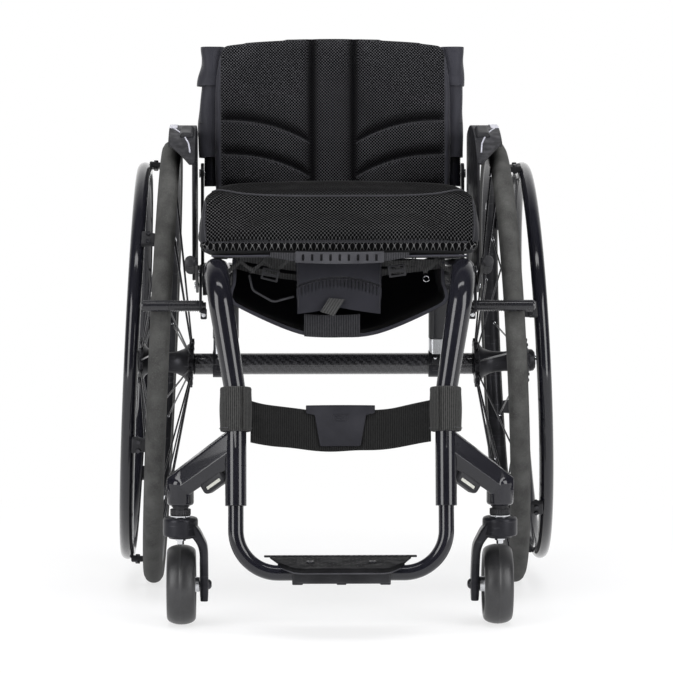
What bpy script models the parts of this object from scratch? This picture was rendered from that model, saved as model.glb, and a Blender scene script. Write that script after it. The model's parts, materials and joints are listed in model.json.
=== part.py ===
"""Rigid wheelchair with cambered quick-release wheels, bent side tubes and a folding backrest.

Metres, +Z up. The chair faces -Y and the user's left is +X. The origin is on the floor in the
middle of the chair's box. "Ahead" is a distance forward of the drive axle.
"""

from math import asin, cos, pi, radians, sin, sqrt, tan

import bmesh
import bpy
from mathutils import Matrix, Vector

# Clearances
GAP = 0.0003
SPIN_GAP = 0.0006
MERGE = 0.00001
SHARP_ANGLE = radians(38)

# Overall sizes
SEAT_WIDTH = 0.306
SEAT_TUBE_HEIGHT = 0.418
SEAT_SLOPE = radians(3.6)
KNEE_AHEAD = 0.424
FRONT_TILT = radians(9.7)
FOOT_WIDTH = 0.257
FOOTPLATE_REACH = 0.530

# Drive wheels
TYRE_DIAMETER = 0.592
TYRE_WIDTH = 0.026
TYRE_HEIGHT = 0.0245
RIM_WIDTH = 0.0205
RIM_DEPTH = 0.0110
WHEEL_CLEARANCE = 0.0754
CAMBER = radians(2.6)
WHEEL_SIDES = 48
SPOKE_COUNT = 24
SPOKE_DIAMETER = 0.0026
HAND_RIM_INSET = 0.015
HAND_RIM_TUBE = 0.0186
HAND_RIM_OFFSET = 0.0355
HAND_RIM_TABS = 6
TAB_ANGLE = radians(41)

# Hubs and quick-release axles
FLANGE_RADIUS = 0.033
FLANGE_THICKNESS = 0.0065
INNER_FLANGE = 0.0405
OUTER_FLANGE = 0.0310
HUB_RADIUS = 0.0145
HUB_OUTER_END = 0.040
HUB_RECESS = 0.0290
AXLE_RADIUS = 0.0064
AXLE_RING_RADIUS = 0.0105
AXLE_INSERTION = 0.036
BUTTON_RADIUS = 0.0046
BUTTON_TRAVEL = 0.003
BUTTON_LENGTH = 0.009

# Frame tubes
SEAT_TUBE_RADIUS = 0.0150
LEG_TUBE_RADIUS = 0.0131
SEAT_TUBE_TAIL = 0.115
KNEE_RADIUS = 0.055
LEAN_RADIUS = 0.120
LEG_LEAN_HEIGHT = 0.292
LEG_END_HEIGHT = 0.166
FOOT_TUBE_RADIUS = 0.0095
FOOT_TUBE_HEIGHT = 0.0785
FOOT_BEND_RADIUS = 0.052
FOOT_TUBE_INSERTION = 0.066
TUBE_SIDES = 12
CAMBER_TUBE_RADIUS = 0.0143
CAMBER_TUBE_BORE = 0.0122
PLUG_COLLAR = 0.0022
PLUG_LENGTH = 0.041

# Axle posts
POST_WIDTH = 0.035
POST_DEPTH = 0.025
POST_INSET = 0.0085
POST_SADDLE = 0.038
COLLAR_HEIGHT = 0.016
CLAMP_WALL = 0.0035

# Casters
CASTER_DIAMETER = 0.100
CASTER_WIDTH = 0.036
CASTER_SIDES = 28
CASTER_SPREAD = 0.394
STEM_AHEAD = 0.425
CASTER_TRAIL = 0.042
CASTER_HUB_RADIUS = 0.0342
CASTER_HUB_WIDTH = 0.029
STEM_RADIUS = 0.006
FORK_HEAD_RADIUS = 0.022
FORK_HEAD_HEIGHT = 0.0265
FORK_HEAD_RISE = 0.0135
FORK_ARM_THICKNESS = 0.0106
FORK_ARM_CLEARANCE = 0.005
CASTER_BOLT_RADIUS = 0.004
BEARING_RING_HEIGHT = 0.0024
NUT_HEIGHT = 0.0116
NUT_RADIUS = 0.0128
HOUSING_RADIUS = 0.0167
HOUSING_HEIGHT = 0.034
ARM_DEPTH = 0.034
ARM_HEIGHT = 0.040
ARM_ROOT_HEIGHT = 0.230

# Footplate
FOOTPLATE_DEPTH = 0.095
FOOTPLATE_REAR_WIDTH = 0.177
FOOTPLATE_MIDDLE_WIDTH = 0.144
FOOTPLATE_FRONT_WIDTH = 0.097
FOOTPLATE_THICKNESS = 0.003
FOOT_CLAMP_WIDTH = 0.120
FOOT_CLAMP_WALL = 0.0035

# Seat
SLING_FRONT = 0.385
SLING_REAR = -0.055
SLING_THICKNESS = 0.004
CUSHION_WIDTH = 0.356
CUSHION_DEPTH = 0.420
CUSHION_THICKNESS = 0.085
CUSHION_CROWN = 0.006
GRIP_LENGTH = 0.110
GRIP_HEIGHT = 0.016
GRIP_THICKNESS = 0.006
POUCH_FRONT = 0.330
POUCH_REAR = 0.110
POUCH_DROP = 0.085
POUCH_WALL = 0.003
FLAP_WIDTH = 0.108
FLAP_HEIGHT = 0.062
FLAP_THICKNESS = 0.003

# Calf strap
STRAP_HEIGHT = 0.047
STRAP_THICKNESS = 0.0025
STRAP_DROP = 0.013
STRAP_BOW = 0.027
STRAP_SAG = 0.0155
SLEEVE_RISE = 0.01406
SLEEVE_HEIGHT = 0.054
SLEEVE_RADIUS = 0.0200
SLEEVE_SLACK = 0.0024
BUCKLE_WIDTH = 0.085
BUCKLE_HEIGHT = 0.051
BUCKLE_BODY_WIDTH = 0.057
BUCKLE_SHOULDER = 0.012
BUCKLE_THICKNESS = 0.003
BUCKLE_RISE = 0.0078

# Backrest
BACK_PIVOT_AHEAD = -0.085
BACK_PIVOT_HEIGHT = 0.545
BACK_RECLINE = radians(5)
CANE_OUTSET = 0.010
CANE_RADIUS = 0.0111
CANE_TOP = 0.165
CANE_TAIL = 0.018
PIVOT_PIN_RADIUS = 0.0042
SLEEVE_WALL = 0.003
UPHOLSTERY_LOW = 0.024
UPHOLSTERY_HIGH = 0.171
UPHOLSTERY_THICKNESS = 0.0035
PAD_WIDTH = 0.322
PAD_LOW = -0.045
PAD_HIGH = 0.178
PAD_THICKNESS = 0.019
PAD_STEP = 0.017
PAD_TOP_BOW = 0.009
CHANNEL_X = 0.028
CHANNEL_FEET = (-0.006, 0.040)
CHANNEL_RISE = 0.032
CHANNEL_WIDTH = 0.011
CHANNEL_DEPTH = 0.0055
BACK_BAR_RADIUS = 0.008
BRACKET_THICKNESS = 0.0042
BRACKET_LENGTH = 0.050

# Side guards
GUARD_THICKNESS = 0.0035
GUARD_OUTSET = 0.0316
GUARD_FRONT = 0.160
GUARD_REAR = -0.095
FENDER_CLEARANCE = 0.0205
FENDER_THICKNESS = 0.003
FENDER_COVER = 0.0035
FENDER_START = radians(-18)
FENDER_END = radians(31)
GUARD_BOSS_RADIUS = 0.008

# Wheel locks
LOCK_BAR_RADIUS = 0.0072
LOCK_BAR_OVERHANG = 0.0125
LOCK_BAR_DROP = 0.0442
LOCK_ARM_LENGTH = 0.0424
LOCK_ARM_LEAN = 0.0142
LOCK_PLATE = 0.0045
LOCK_ARM_THICKNESS = 0.0035
LOCK_LEVER_THICKNESS = 0.0040
LOCK_LEVER_REACH = 0.104
LOCK_LEVER_RISE = 0.036
LOCK_PIN_RADIUS = 0.004
LOCK_GRIP_RADIUS = 0.0075
LOCK_GRIP_OUTSET = 0.0055

# Heights, spreads and places that follow from the sizes above
TYRE_RADIUS = TYRE_DIAMETER / 2
RIM_RADIUS = TYRE_RADIUS - TYRE_HEIGHT
HAND_RIM_RADIUS = RIM_RADIUS - HAND_RIM_INSET
AXLE_Y = (FOOTPLATE_REACH - TYRE_RADIUS) / 2
SEAT_TUBE_X = SEAT_WIDTH / 2
LEG_X = FOOT_WIDTH / 2
WHEEL_X = SEAT_TUBE_X + WHEEL_CLEARANCE
CASTER_X = CASTER_SPREAD / 2
CASTER_RADIUS = CASTER_DIAMETER / 2
CANE_X = SEAT_TUBE_X + CANE_OUTSET
GUARD_X = SEAT_TUBE_X + GUARD_OUTSET
POST_X = SEAT_TUBE_X - POST_INSET
FORK_HEAD_LOW = CASTER_DIAMETER + FORK_HEAD_RISE
FORK_HEAD_HIGH = FORK_HEAD_LOW + FORK_HEAD_HEIGHT
NUT_LOW = FORK_HEAD_HIGH + BEARING_RING_HEIGHT + GAP
HOUSING_LOW = NUT_LOW + NUT_HEIGHT + GAP
HOUSING_HIGH = HOUSING_LOW + HOUSING_HEIGHT
ARM_TIP_HEIGHT = HOUSING_HIGH - HOUSING_HEIGHT * 0.35
ARM_FALL = (ARM_ROOT_HEIGHT - ARM_TIP_HEIGHT) / (CASTER_X - LEG_X)
SLEEVE_LOW = ARM_ROOT_HEIGHT + ARM_HEIGHT / 2 - SLEEVE_RADIUS * ARM_FALL + SLEEVE_RISE
SLEEVE_LEVEL = SLEEVE_LOW + SLEEVE_HEIGHT / 2
STRAP_LEVEL = SLEEVE_LEVEL - STRAP_DROP

FRONT_VIEW = Matrix(((1, 0, 0, 0), (0, 0, -1, 0), (0, 1, 0, 0), (0, 0, 0, 1)))
SIDE_VIEW = Matrix(((0, 0, -1, 0), (-1, 0, 0, 0), (0, 1, 0, 0), (0, 0, 0, 1)))
Z_TO_X = Matrix.Rotation(pi / 2, 4, "Y")
MIRROR_X = Matrix.Scale(-1, 4, (1, 0, 0))


def hole_radius(radius, sides):
    """The corner radius of a polygon whose flats lie at this radius."""
    return radius / cos(pi / sides)


# Scene and materials


def new_collection(name):
    collection = bpy.data.collections.new(name)
    bpy.context.scene.collection.children.link(collection)
    return collection


def finish(name, colour, roughness, metallic=0.0):
    """A Principled material of one colour."""
    material = bpy.data.materials.new(name)
    material.use_nodes = True
    shader = material.node_tree.nodes["Principled BSDF"]
    shader.inputs["Base Color"].default_value = (*colour, 1)
    shader.inputs["Roughness"].default_value = roughness
    shader.inputs["Metallic"].default_value = metallic
    return material


for leftover in list(bpy.data.objects):
    bpy.data.objects.remove(leftover)

PARTS = new_collection("rigid_wheelchair")
CUTTERS = new_collection("cutters")

GLOSS_BLACK = finish("gloss black paint", (0.010, 0.010, 0.014), 0.18)
ANODISED = finish("black anodised metal", (0.018, 0.018, 0.021), 0.35, 0.6)
SILVER = finish("brushed silver", (0.62, 0.63, 0.65), 0.30, 1.0)
CARBON = finish("carbon fibre", (0.016, 0.016, 0.018), 0.25)
TYRE_RUBBER = finish("tyre rubber", (0.060, 0.060, 0.058), 0.75)
MOULDED = finish("moulded black plastic", (0.022, 0.022, 0.024), 0.45)
GREY_PLASTIC = finish("grey plastic", (0.110, 0.110, 0.120), 0.50)
MESH_FABRIC = finish("black mesh fabric", (0.014, 0.014, 0.016), 0.90)
NYLON = finish("slate nylon", (0.028, 0.028, 0.034), 0.70)
ELASTIC = finish("charcoal elastic", (0.032, 0.032, 0.033), 0.90)


# Shapes


def place(obj, parent):
    """Hangs the object, whose mesh is in the parent's own frame, on that parent."""
    obj.parent = parent
    return obj


def joint_frame(name, matrix, parent=None):
    """An empty whose axes are the frame that a group of pieces is modelled in."""
    empty = bpy.data.objects.new(name, None)
    empty.empty_display_size = 0.03
    PARTS.objects.link(empty)
    empty.parent = parent
    empty.matrix_local = matrix
    bpy.context.view_layer.update()
    return empty


def mesh_object(name, work, material, parent=None):
    """An object made of the bmesh, with doubles merged and its faces turned outward."""
    bmesh.ops.remove_doubles(work, verts=work.verts, dist=MERGE)
    bmesh.ops.recalc_face_normals(work, faces=work.faces)
    mesh = bpy.data.meshes.new(name)
    work.to_mesh(mesh)
    work.free()
    mesh.shade_smooth()
    mesh.set_sharp_from_angle(angle=SHARP_ANGLE)
    mesh.materials.append(material)
    obj = bpy.data.objects.new(name, mesh)
    PARTS.objects.link(obj)
    return place(obj, parent)


def evaluated_mesh(obj):
    bpy.context.view_layer.update()
    graph = bpy.context.evaluated_depsgraph_get()
    return bpy.data.meshes.new_from_object(obj.evaluated_get(graph))


def curve_mesh(name, curve, matrix, material, parent):
    """A mesh object from curve data, with its caps welded and the matrix in its mesh."""
    guide = bpy.data.objects.new(name + "_guide", curve)
    PARTS.objects.link(guide)
    work = bmesh.new()
    work.from_mesh(evaluated_mesh(guide))
    bpy.data.objects.remove(guide)
    bmesh.ops.transform(work, matrix=matrix, verts=work.verts)
    return mesh_object(name, work, material, parent)


def block(name, material, low, high, parent=None, bevel=0.0, segments=1):
    """A box between two corners, with rounded edges where a bevel is given."""
    low, high = Vector(low), Vector(high)
    work = bmesh.new()
    matrix = Matrix.LocRotScale((low + high) / 2, None, high - low)
    bmesh.ops.create_cube(work, size=1, matrix=matrix)
    obj = mesh_object(name, work, material, parent)
    if bevel:
        edges = obj.modifiers.new("rounded edges", "BEVEL")
        edges.width = bevel
        edges.segments = segments
        edges.limit_method = "NONE"
    return obj


def rod(name, material, start, end, radius, sides=16, parent=None):
    """A cylinder between two points, with a flat turned down."""
    start, end = Vector(start), Vector(end)
    turn = (end - start).to_track_quat("Z", "Y").to_matrix().to_4x4()
    matrix = Matrix.Translation((start + end) / 2) @ turn @ Matrix.Rotation(pi / sides, 4, "Z")
    work = bmesh.new()
    bmesh.ops.create_cone(
        work, cap_ends=True, segments=sides, radius1=radius, radius2=radius,
        depth=(end - start).length, matrix=matrix,
    )
    return mesh_object(name, work, material, parent)


def turned(name, material, outline, sides, parent=None, closed=True, matrix=None):
    """A turned piece from (radius, along) points; the radii are those of its flats.

    A closed outline goes round a bored wall. An open one starts and ends on the axis.
    """
    points = [(hole_radius(radius, sides), along) for radius, along in outline]
    area = sum(a[0] * b[1] - b[0] * a[1] for a, b in zip(points, points[1:] + points[:1]))
    if area > 0:
        points.reverse()
    work = bmesh.new()
    corners = [work.verts.new((radius, 0, along)) for radius, along in points]
    ends = corners[1:] + corners[:1] if closed else corners[1:]
    for first, second in zip(corners, ends):
        work.edges.new((first, second))
    mesh = bpy.data.meshes.new(name)
    work.to_mesh(mesh)
    work.free()
    mesh.materials.append(material)
    obj = bpy.data.objects.new(name, mesh)
    PARTS.objects.link(obj)
    place(obj, parent)
    screw = obj.modifiers.new("turning", "SCREW")
    screw.steps = sides
    screw.render_steps = sides
    screw.use_merge_vertices = True
    screw.merge_threshold = MERGE
    half_flat = Matrix.Rotation(pi / sides, 4, "Z")
    obj.matrix_local = (matrix or Matrix()) @ half_flat
    return obj


def tube(name, material, path, radius, sides=TUBE_SIDES, parent=None):
    """A tube along the path; radius is one number or a function of a point."""
    curve = bpy.data.curves.new(name, "CURVE")
    curve.dimensions = "3D"
    curve.bevel_depth = 1.0
    curve.bevel_resolution = sides // 2 - 2
    curve.use_fill_caps = True
    spline = curve.splines.new("POLY")
    spline.points.add(len(path) - 1)
    for point, place_on_path in zip(spline.points, path):
        point.co = (*place_on_path, 1)
        point.radius = radius(place_on_path) if callable(radius) else radius
    return curve_mesh(name, curve, Matrix(), material, parent)


def plate(name, material, outlines, thickness, matrix, parent=None):
    """A flat plate with holes: the first outline is its edge and the others are cut out."""
    curve = bpy.data.curves.new(name, "CURVE")
    curve.dimensions = "2D"
    curve.fill_mode = "BOTH"
    curve.extrude = thickness / 2
    for outline in outlines:
        spline = curve.splines.new("POLY")
        spline.points.add(len(outline) - 1)
        spline.use_cyclic_u = True
        for point, corner in zip(spline.points, outline):
            point.co = (corner[0], corner[1], 0, 1)
    return curve_mesh(name, curve, matrix, material, parent)


def loft(name, material, sections, parent=None):
    """A skin through closed sections of equally many points, with both ends closed."""
    work = bmesh.new()
    rings = [[work.verts.new(point) for point in section] for section in sections]
    for ring, following in zip(rings, rings[1:]):
        for i in range(len(ring)):
            j = (i + 1) % len(ring)
            work.faces.new((ring[i], ring[j], following[j], following[i]))
    work.faces.new(rings[0])
    work.faces.new(rings[-1])
    return mesh_object(name, work, material, parent)


def rounded(corners, radii, closed=False, step=radians(15)):
    """The corner points with an arc of its own radius at each one."""
    corners = [Vector(corner).to_3d() for corner in corners]
    points = []
    for i, corner in enumerate(corners):
        at_end = not closed and i in (0, len(corners) - 1)
        if at_end or not radii[i]:
            points.append(corner)
            continue
        before = (corners[i - 1] - corner).normalized()
        after = (corners[(i + 1) % len(corners)] - corner).normalized()
        opening = before.angle(after)
        start = corner + before * radii[i] / tan(opening / 2)
        centre = corner + (before + after).normalized() * radii[i] / sin(opening / 2)
        turn = pi - opening
        axis = after.cross(before)
        steps = max(2, round(turn / step))
        for k in range(steps + 1):
            swing = Matrix.Rotation(turn * k / steps, 3, axis)
            points.append(centre + swing @ (start - centre))
    return points


def arc(centre, radius, start, end, steps):
    """Points on a flat arc; angles run anticlockwise from the first axis."""
    angles = [start + (end - start) * i / steps for i in range(steps + 1)]
    return [(centre[0] + radius * cos(a), centre[1] + radius * sin(a)) for a in angles]


def circle(centre, radius, sides):
    return arc(centre, radius, 0, 2 * pi * (sides - 1) / sides, sides - 1)


# Joining, cutting and copying


def combine(obj, other, operation):
    """A Boolean on the object; the other shape becomes a hidden helper."""
    for collection in list(other.users_collection):
        collection.objects.unlink(other)
    CUTTERS.objects.link(other)
    other.hide_render = True
    other.display_type = "WIRE"
    boolean = obj.modifiers.new(other.name, "BOOLEAN")
    boolean.operation = operation
    boolean.object = other
    boolean.solver = "EXACT"
    return obj


def cut(obj, *cutters):
    for cutter in cutters:
        combine(obj, cutter, "DIFFERENCE")
    return obj


def join(obj, *others):
    for other in others:
        combine(obj, other, "UNION")
    return obj


def mirrored(obj, name, parent=None):
    """The piece's copy for the other side of the chair."""
    mesh = evaluated_mesh(obj)
    frame = parent.matrix_world.inverted() if parent else Matrix()
    work = bmesh.new()
    work.from_mesh(mesh)
    bmesh.ops.transform(work, matrix=frame @ MIRROR_X @ obj.matrix_world, verts=work.verts)
    return mesh_object(name, work, obj.data.materials[0], parent)


def pair(obj, parent=None):
    """Adds the right-hand copy of a left-hand piece that stands on the frame."""
    mirrored(obj, obj.name.replace("left", "right"), parent)
    return obj


# Reference frames


def on_floor(x, ahead, height):
    """A point by its side distance, its distance ahead of the axle and its height."""
    return Vector((x, AXLE_Y - ahead, height))


SEAT = Matrix.Translation(on_floor(0, 0, SEAT_TUBE_HEIGHT)) @ Matrix.Rotation(-SEAT_SLOPE, 4, "X")


def on_seat(x, ahead, above):
    """A point by its place along the seat tube and its height over the tube's middle."""
    return SEAT @ Vector((x, -ahead, above))


KNEE = on_seat(0, KNEE_AHEAD, 0)
LEG = Matrix.Translation(KNEE) @ Matrix.Rotation(-FRONT_TILT, 4, "X")


def down_leg(height):
    """The distance along the leg line, negative downward, at which it reaches this height."""
    return (height - KNEE.z) / cos(FRONT_TILT)


def on_leg(x, height, behind=0.0):
    return LEG @ Vector((x, behind, down_leg(height)))


def seat_tube_height(ahead):
    return SEAT_TUBE_HEIGHT + ahead * tan(SEAT_SLOPE)


def tyre_section():
    """The drive tyre's (radius, outward) outline: a round tread on a flat seat."""
    half = TYRE_WIDTH / 2
    middle = TYRE_RADIUS - half
    round_part = arc((0, middle), half, radians(-36), radians(216), 6)
    seat = RIM_RADIUS + GAP
    corners = [(-RIM_WIDTH / 2, seat), (RIM_WIDTH / 2, seat)]
    return [(radius, outward) for outward, radius in round_part + corners]


AXLE_HEIGHT = max(r * cos(CAMBER) - out * sin(CAMBER) for r, out in tyre_section())


def wheel_axis(side):
    """The hub's frame: +X points outward along the cambered axle."""
    turn = 0 if side > 0 else pi
    middle = Matrix.Translation(on_floor(side * WHEEL_X, 0, AXLE_HEIGHT))
    return middle @ Matrix.Rotation(turn, 4, "Z") @ Matrix.Rotation(-CAMBER, 4, "Y")


AXLE_RING_LOW = -INNER_FLANGE + 0.001
PLUG_END = WHEEL_X + AXLE_RING_LOW * cos(CAMBER) - AXLE_RING_RADIUS * 1.1 * sin(CAMBER) - GAP
CAMBER_TUBE_END = PLUG_END - PLUG_COLLAR - GAP
CAMBER_TUBE_HEIGHT = AXLE_HEIGHT - (WHEEL_X - CAMBER_TUBE_END + PLUG_LENGTH / 2) * tan(CAMBER)


# Drive wheels


def drive_wheel_left(axis):
    """Tyre, rim, spoked hub and hand rim, turned about the axle."""
    turned("drive_tyre_left", TYRE_RUBBER, tyre_section(), WHEEL_SIDES, axis, matrix=Z_TO_X)
    half = RIM_WIDTH / 2
    inner = RIM_RADIUS - RIM_DEPTH
    section = [
        (RIM_RADIUS, half), (inner + 0.004, half), (inner, 0), (inner + 0.004, -half),
        (RIM_RADIUS, -half),
    ]
    turned("wheel_rim_left", ANODISED, section, WHEEL_SIDES, axis, matrix=Z_TO_X)
    spoked_hub(axis, inner)
    hand_rim(axis, half)


def spoked_hub(axis, rim_inner):
    """The dished hub with a recess for the axle's ring, and its spokes out to the rim."""
    bore = AXLE_RADIUS + GAP
    outline = [
        (bore, -HUB_RECESS), (AXLE_RING_RADIUS + 0.0025, -HUB_RECESS),
        (AXLE_RING_RADIUS + 0.0035, -HUB_RECESS - 0.004), (0.024, -INNER_FLANGE),
        (FLANGE_RADIUS, -INNER_FLANGE), (FLANGE_RADIUS, -INNER_FLANGE + FLANGE_THICKNESS),
        (0.025, -INNER_FLANGE + 0.009), (HUB_RADIUS, -HUB_RECESS + 0.009),
        (HUB_RADIUS, OUTER_FLANGE - 0.012), (FLANGE_RADIUS, OUTER_FLANGE - 0.0045),
        (FLANGE_RADIUS, OUTER_FLANGE), (HUB_RADIUS, OUTER_FLANGE + 0.002),
        (HUB_RADIUS, HUB_OUTER_END), (bore, HUB_OUTER_END),
    ]
    hub = turned("wheel_hub_left", ANODISED, outline, 16, axis, matrix=Z_TO_X)
    work = bmesh.new()
    for i in range(SPOKE_COUNT):
        angle = 2 * pi * (i + 0.5) / SPOKE_COUNT
        outward = -INNER_FLANGE + FLANGE_THICKNESS / 2 if i % 2 else OUTER_FLANGE - 0.0022
        around = Matrix.Rotation(angle, 4, "X")
        start = around @ Vector((outward, 0, FLANGE_RADIUS - 0.005))
        end = around @ Vector((outward * 0.10, 0, rim_inner - GAP))
        turn = (end - start).to_track_quat("Z", "Y").to_matrix().to_4x4()
        bmesh.ops.create_cone(
            work, cap_ends=True, segments=4, radius1=SPOKE_DIAMETER / 2,
            radius2=SPOKE_DIAMETER / 2, depth=(end - start).length,
            matrix=Matrix.Translation((start + end) / 2) @ turn,
        )
    join(hub, mesh_object("spokes_left", work, ANODISED, axis))


def hand_rim(axis, rim_half):
    """The push ring and the tabs that reach in to the rim's side."""
    tube_radius = HAND_RIM_TUBE / 2
    ring = circle((HAND_RIM_RADIUS, HAND_RIM_OFFSET), tube_radius, 8)
    hoop = turned("hand_rim_left", GLOSS_BLACK, ring, WHEEL_SIDES, axis, matrix=Z_TO_X)
    work = bmesh.new()
    reach = HAND_RIM_OFFSET - rim_half - GAP
    for i in range(HAND_RIM_TABS):
        around = Matrix.Rotation(2 * pi * i / HAND_RIM_TABS + TAB_ANGLE + pi / 2, 4, "X")
        middle = Vector((rim_half + GAP + reach / 2, 0, HAND_RIM_RADIUS + 0.0085))
        size = Vector((reach, 0.016, 0.005))
        bmesh.ops.create_cube(work, size=1, matrix=around @ Matrix.LocRotScale(middle, None, size))
    join(hoop, mesh_object("hand_rim_tabs_left", work, GLOSS_BLACK, axis))


def wheel_axle_left(axis):
    """The quick-release shaft with its inner ring and the well that its button slides in."""
    tip = HUB_OUTER_END + 0.0035
    well = BUTTON_LENGTH - BUTTON_TRAVEL + 0.0045
    inner_tip = -INNER_FLANGE - AXLE_INSERTION
    outline = [
        (0, inner_tip), (AXLE_RADIUS, inner_tip), (AXLE_RADIUS, AXLE_RING_LOW),
        (AXLE_RING_RADIUS, AXLE_RING_LOW), (AXLE_RING_RADIUS, -HUB_RECESS - GAP),
        (AXLE_RADIUS, -HUB_RECESS - GAP), (AXLE_RADIUS, tip), (BUTTON_RADIUS + GAP, tip),
        (BUTTON_RADIUS + GAP, tip - well), (0, tip - well),
    ]
    turned("wheel_axle_left", SILVER, outline, 16, axis, closed=False, matrix=Z_TO_X)
    return tip


def axle_button_left(axis, tip):
    """The quick-release button, which travels into the shaft."""
    low = tip - BUTTON_LENGTH + BUTTON_TRAVEL + 0.001
    outline = [(0, low), (BUTTON_RADIUS, low), (BUTTON_RADIUS, low + BUTTON_LENGTH), (0, low + BUTTON_LENGTH)]
    turned("axle_button_left", SILVER, outline, 12, axis, closed=False, matrix=Z_TO_X)


def drive_wheels():
    left = joint_frame("drive_axis_left", wheel_axis(1))
    right = joint_frame("drive_axis_right", wheel_axis(-1))
    drive_wheel_left(left)
    tip = wheel_axle_left(left)
    axle_button_left(left, tip)
    for name in ("drive_tyre", "wheel_rim", "wheel_hub", "hand_rim", "wheel_axle", "axle_button"):
        copy_with_helpers(bpy.data.objects[name + "_left"], name + "_right", left, right)


def copy_with_helpers(obj, name, frame, other_frame):
    """The evaluated shape, as it stands in one frame, set up the same way in another."""
    work = bmesh.new()
    work.from_mesh(evaluated_mesh(obj))
    bmesh.ops.transform(work, matrix=frame.matrix_world.inverted() @ obj.matrix_world, verts=work.verts)
    mesh_object(name, work, obj.data.materials[0], other_frame)


# Frame


def side_tube_path():
    """The seat rail, the knee and the leg, down to where the footrest tube goes in."""
    lean_share = (KNEE.z - LEG_LEAN_HEIGHT) / 0.152
    knee_x = LEG_X + (SEAT_TUBE_X - LEG_X) * lean_share
    return rounded(
        [
            on_seat(SEAT_TUBE_X, -SEAT_TUBE_TAIL, 0), on_seat(knee_x, KNEE_AHEAD, 0),
            on_leg(LEG_X, LEG_LEAN_HEIGHT), on_leg(LEG_X, LEG_END_HEIGHT),
        ],
        [0, KNEE_RADIUS, LEAN_RADIUS, 0],
        step=radians(11),
    )


def side_tube_left():
    """One bent tube, wider along the seat, with a bore for the footrest tube."""
    narrow, wide = LEG_LEAN_HEIGHT + 0.01, KNEE.z - 0.04

    def radius(point):
        share = min(1, max(0, (point[2] - narrow) / (wide - narrow)))
        return LEG_TUBE_RADIUS + (SEAT_TUBE_RADIUS - LEG_TUBE_RADIUS) * share

    body = tube("side_tube_left", GLOSS_BLACK, side_tube_path(), radius)
    top = LEG_END_HEIGHT + FOOT_TUBE_INSERTION + 0.004
    bore = rod(
        "footrest_bore", ANODISED, on_leg(LEG_X, LEG_END_HEIGHT - 0.01), on_leg(LEG_X, top),
        hole_radius(FOOT_TUBE_RADIUS + GAP, 16),
    )
    return pair(cut(body, bore))


def seat_tube_cutter(name):
    """The space that the seat tube takes out of what clamps round it."""
    radius = hole_radius(SEAT_TUBE_RADIUS + GAP, 16)
    front = on_seat(SEAT_TUBE_X, KNEE_AHEAD - KNEE_RADIUS, 0)
    rear = on_seat(SEAT_TUBE_X, -SEAT_TUBE_TAIL - 0.02, 0)
    return rod(name, ANODISED, front, rear, radius)


def leg_cutter(name):
    ends = on_leg(LEG_X, LEG_END_HEIGHT - 0.02), on_leg(LEG_X, LEG_LEAN_HEIGHT - 0.012)
    return rod(name, ANODISED, *ends, hole_radius(LEG_TUBE_RADIUS + GAP, 16))


def footrest_tube():
    """The U that slides up into both legs."""
    top = LEG_END_HEIGHT + FOOT_TUBE_INSERTION
    corners = [
        on_leg(LEG_X, top), on_leg(LEG_X, FOOT_TUBE_HEIGHT),
        on_leg(-LEG_X, FOOT_TUBE_HEIGHT), on_leg(-LEG_X, top),
    ]
    path = rounded(corners, [0, FOOT_BEND_RADIUS, FOOT_BEND_RADIUS, 0], step=radians(13))
    tube("footrest_tube", GLOSS_BLACK, path, FOOT_TUBE_RADIUS)


def footplate():
    """A flat plate with a tapered front, on a saddle under the footrest tube."""
    low = FOOT_TUBE_HEIGHT + FOOT_TUBE_RADIUS + GAP
    middle = low + FOOTPLATE_THICKNESS / 2
    rear, front = FOOTPLATE_REAR_WIDTH / 2, FOOTPLATE_FRONT_WIDTH / 2
    rear_y = AXLE_Y - FOOTPLATE_REACH + FOOTPLATE_DEPTH
    front_y = AXLE_Y - FOOTPLATE_REACH
    side, side_y = FOOTPLATE_MIDDLE_WIDTH / 2, rear_y - FOOTPLATE_DEPTH / 2
    corners = [
        (rear, rear_y), (-rear, rear_y), (-side, side_y), (-front, front_y), (front, front_y), (side, side_y),
    ]
    outline = rounded(corners, [0.006, 0.006, 0.02, 0.015, 0.015, 0.02], closed=True, step=radians(20))
    plate("footplate", CARBON, [outline], FOOTPLATE_THICKNESS, Matrix.Translation((0, 0, middle)))
    tube_y = on_leg(0, FOOT_TUBE_HEIGHT).y
    reach = FOOT_TUBE_RADIUS + GAP + FOOT_CLAMP_WALL
    half = FOOT_CLAMP_WIDTH / 2
    saddle = block(
        "footplate_clamp", MOULDED, (-half, tube_y - reach, FOOT_TUBE_HEIGHT - reach),
        (half, tube_y + reach, low - GAP), bevel=0.0015,
    )
    groove = rod(
        "footrest_tube_space", MOULDED, (-half - 0.01, tube_y, FOOT_TUBE_HEIGHT),
        (half + 0.01, tube_y, FOOT_TUBE_HEIGHT), hole_radius(FOOT_TUBE_RADIUS + GAP, 16),
    )
    slot = block(
        "footrest_tube_slot", MOULDED, (-half - 0.01, tube_y - FOOT_TUBE_RADIUS * 0.8, FOOT_TUBE_HEIGHT),
        (half + 0.01, tube_y + FOOT_TUBE_RADIUS * 0.8, low + 0.01),
    )
    cut(saddle, groove, slot)


def camber_tube():
    """The straight tube across the chair, open at both ends for the plugs."""
    outline = [
        (CAMBER_TUBE_RADIUS, CAMBER_TUBE_END), (CAMBER_TUBE_RADIUS, -CAMBER_TUBE_END),
        (CAMBER_TUBE_BORE, -CAMBER_TUBE_END), (CAMBER_TUBE_BORE, CAMBER_TUBE_END),
    ]
    middle = Matrix.Translation(on_floor(0, 0, CAMBER_TUBE_HEIGHT)) @ Z_TO_X
    turned("camber_tube", CARBON, outline, 16, matrix=middle)


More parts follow.
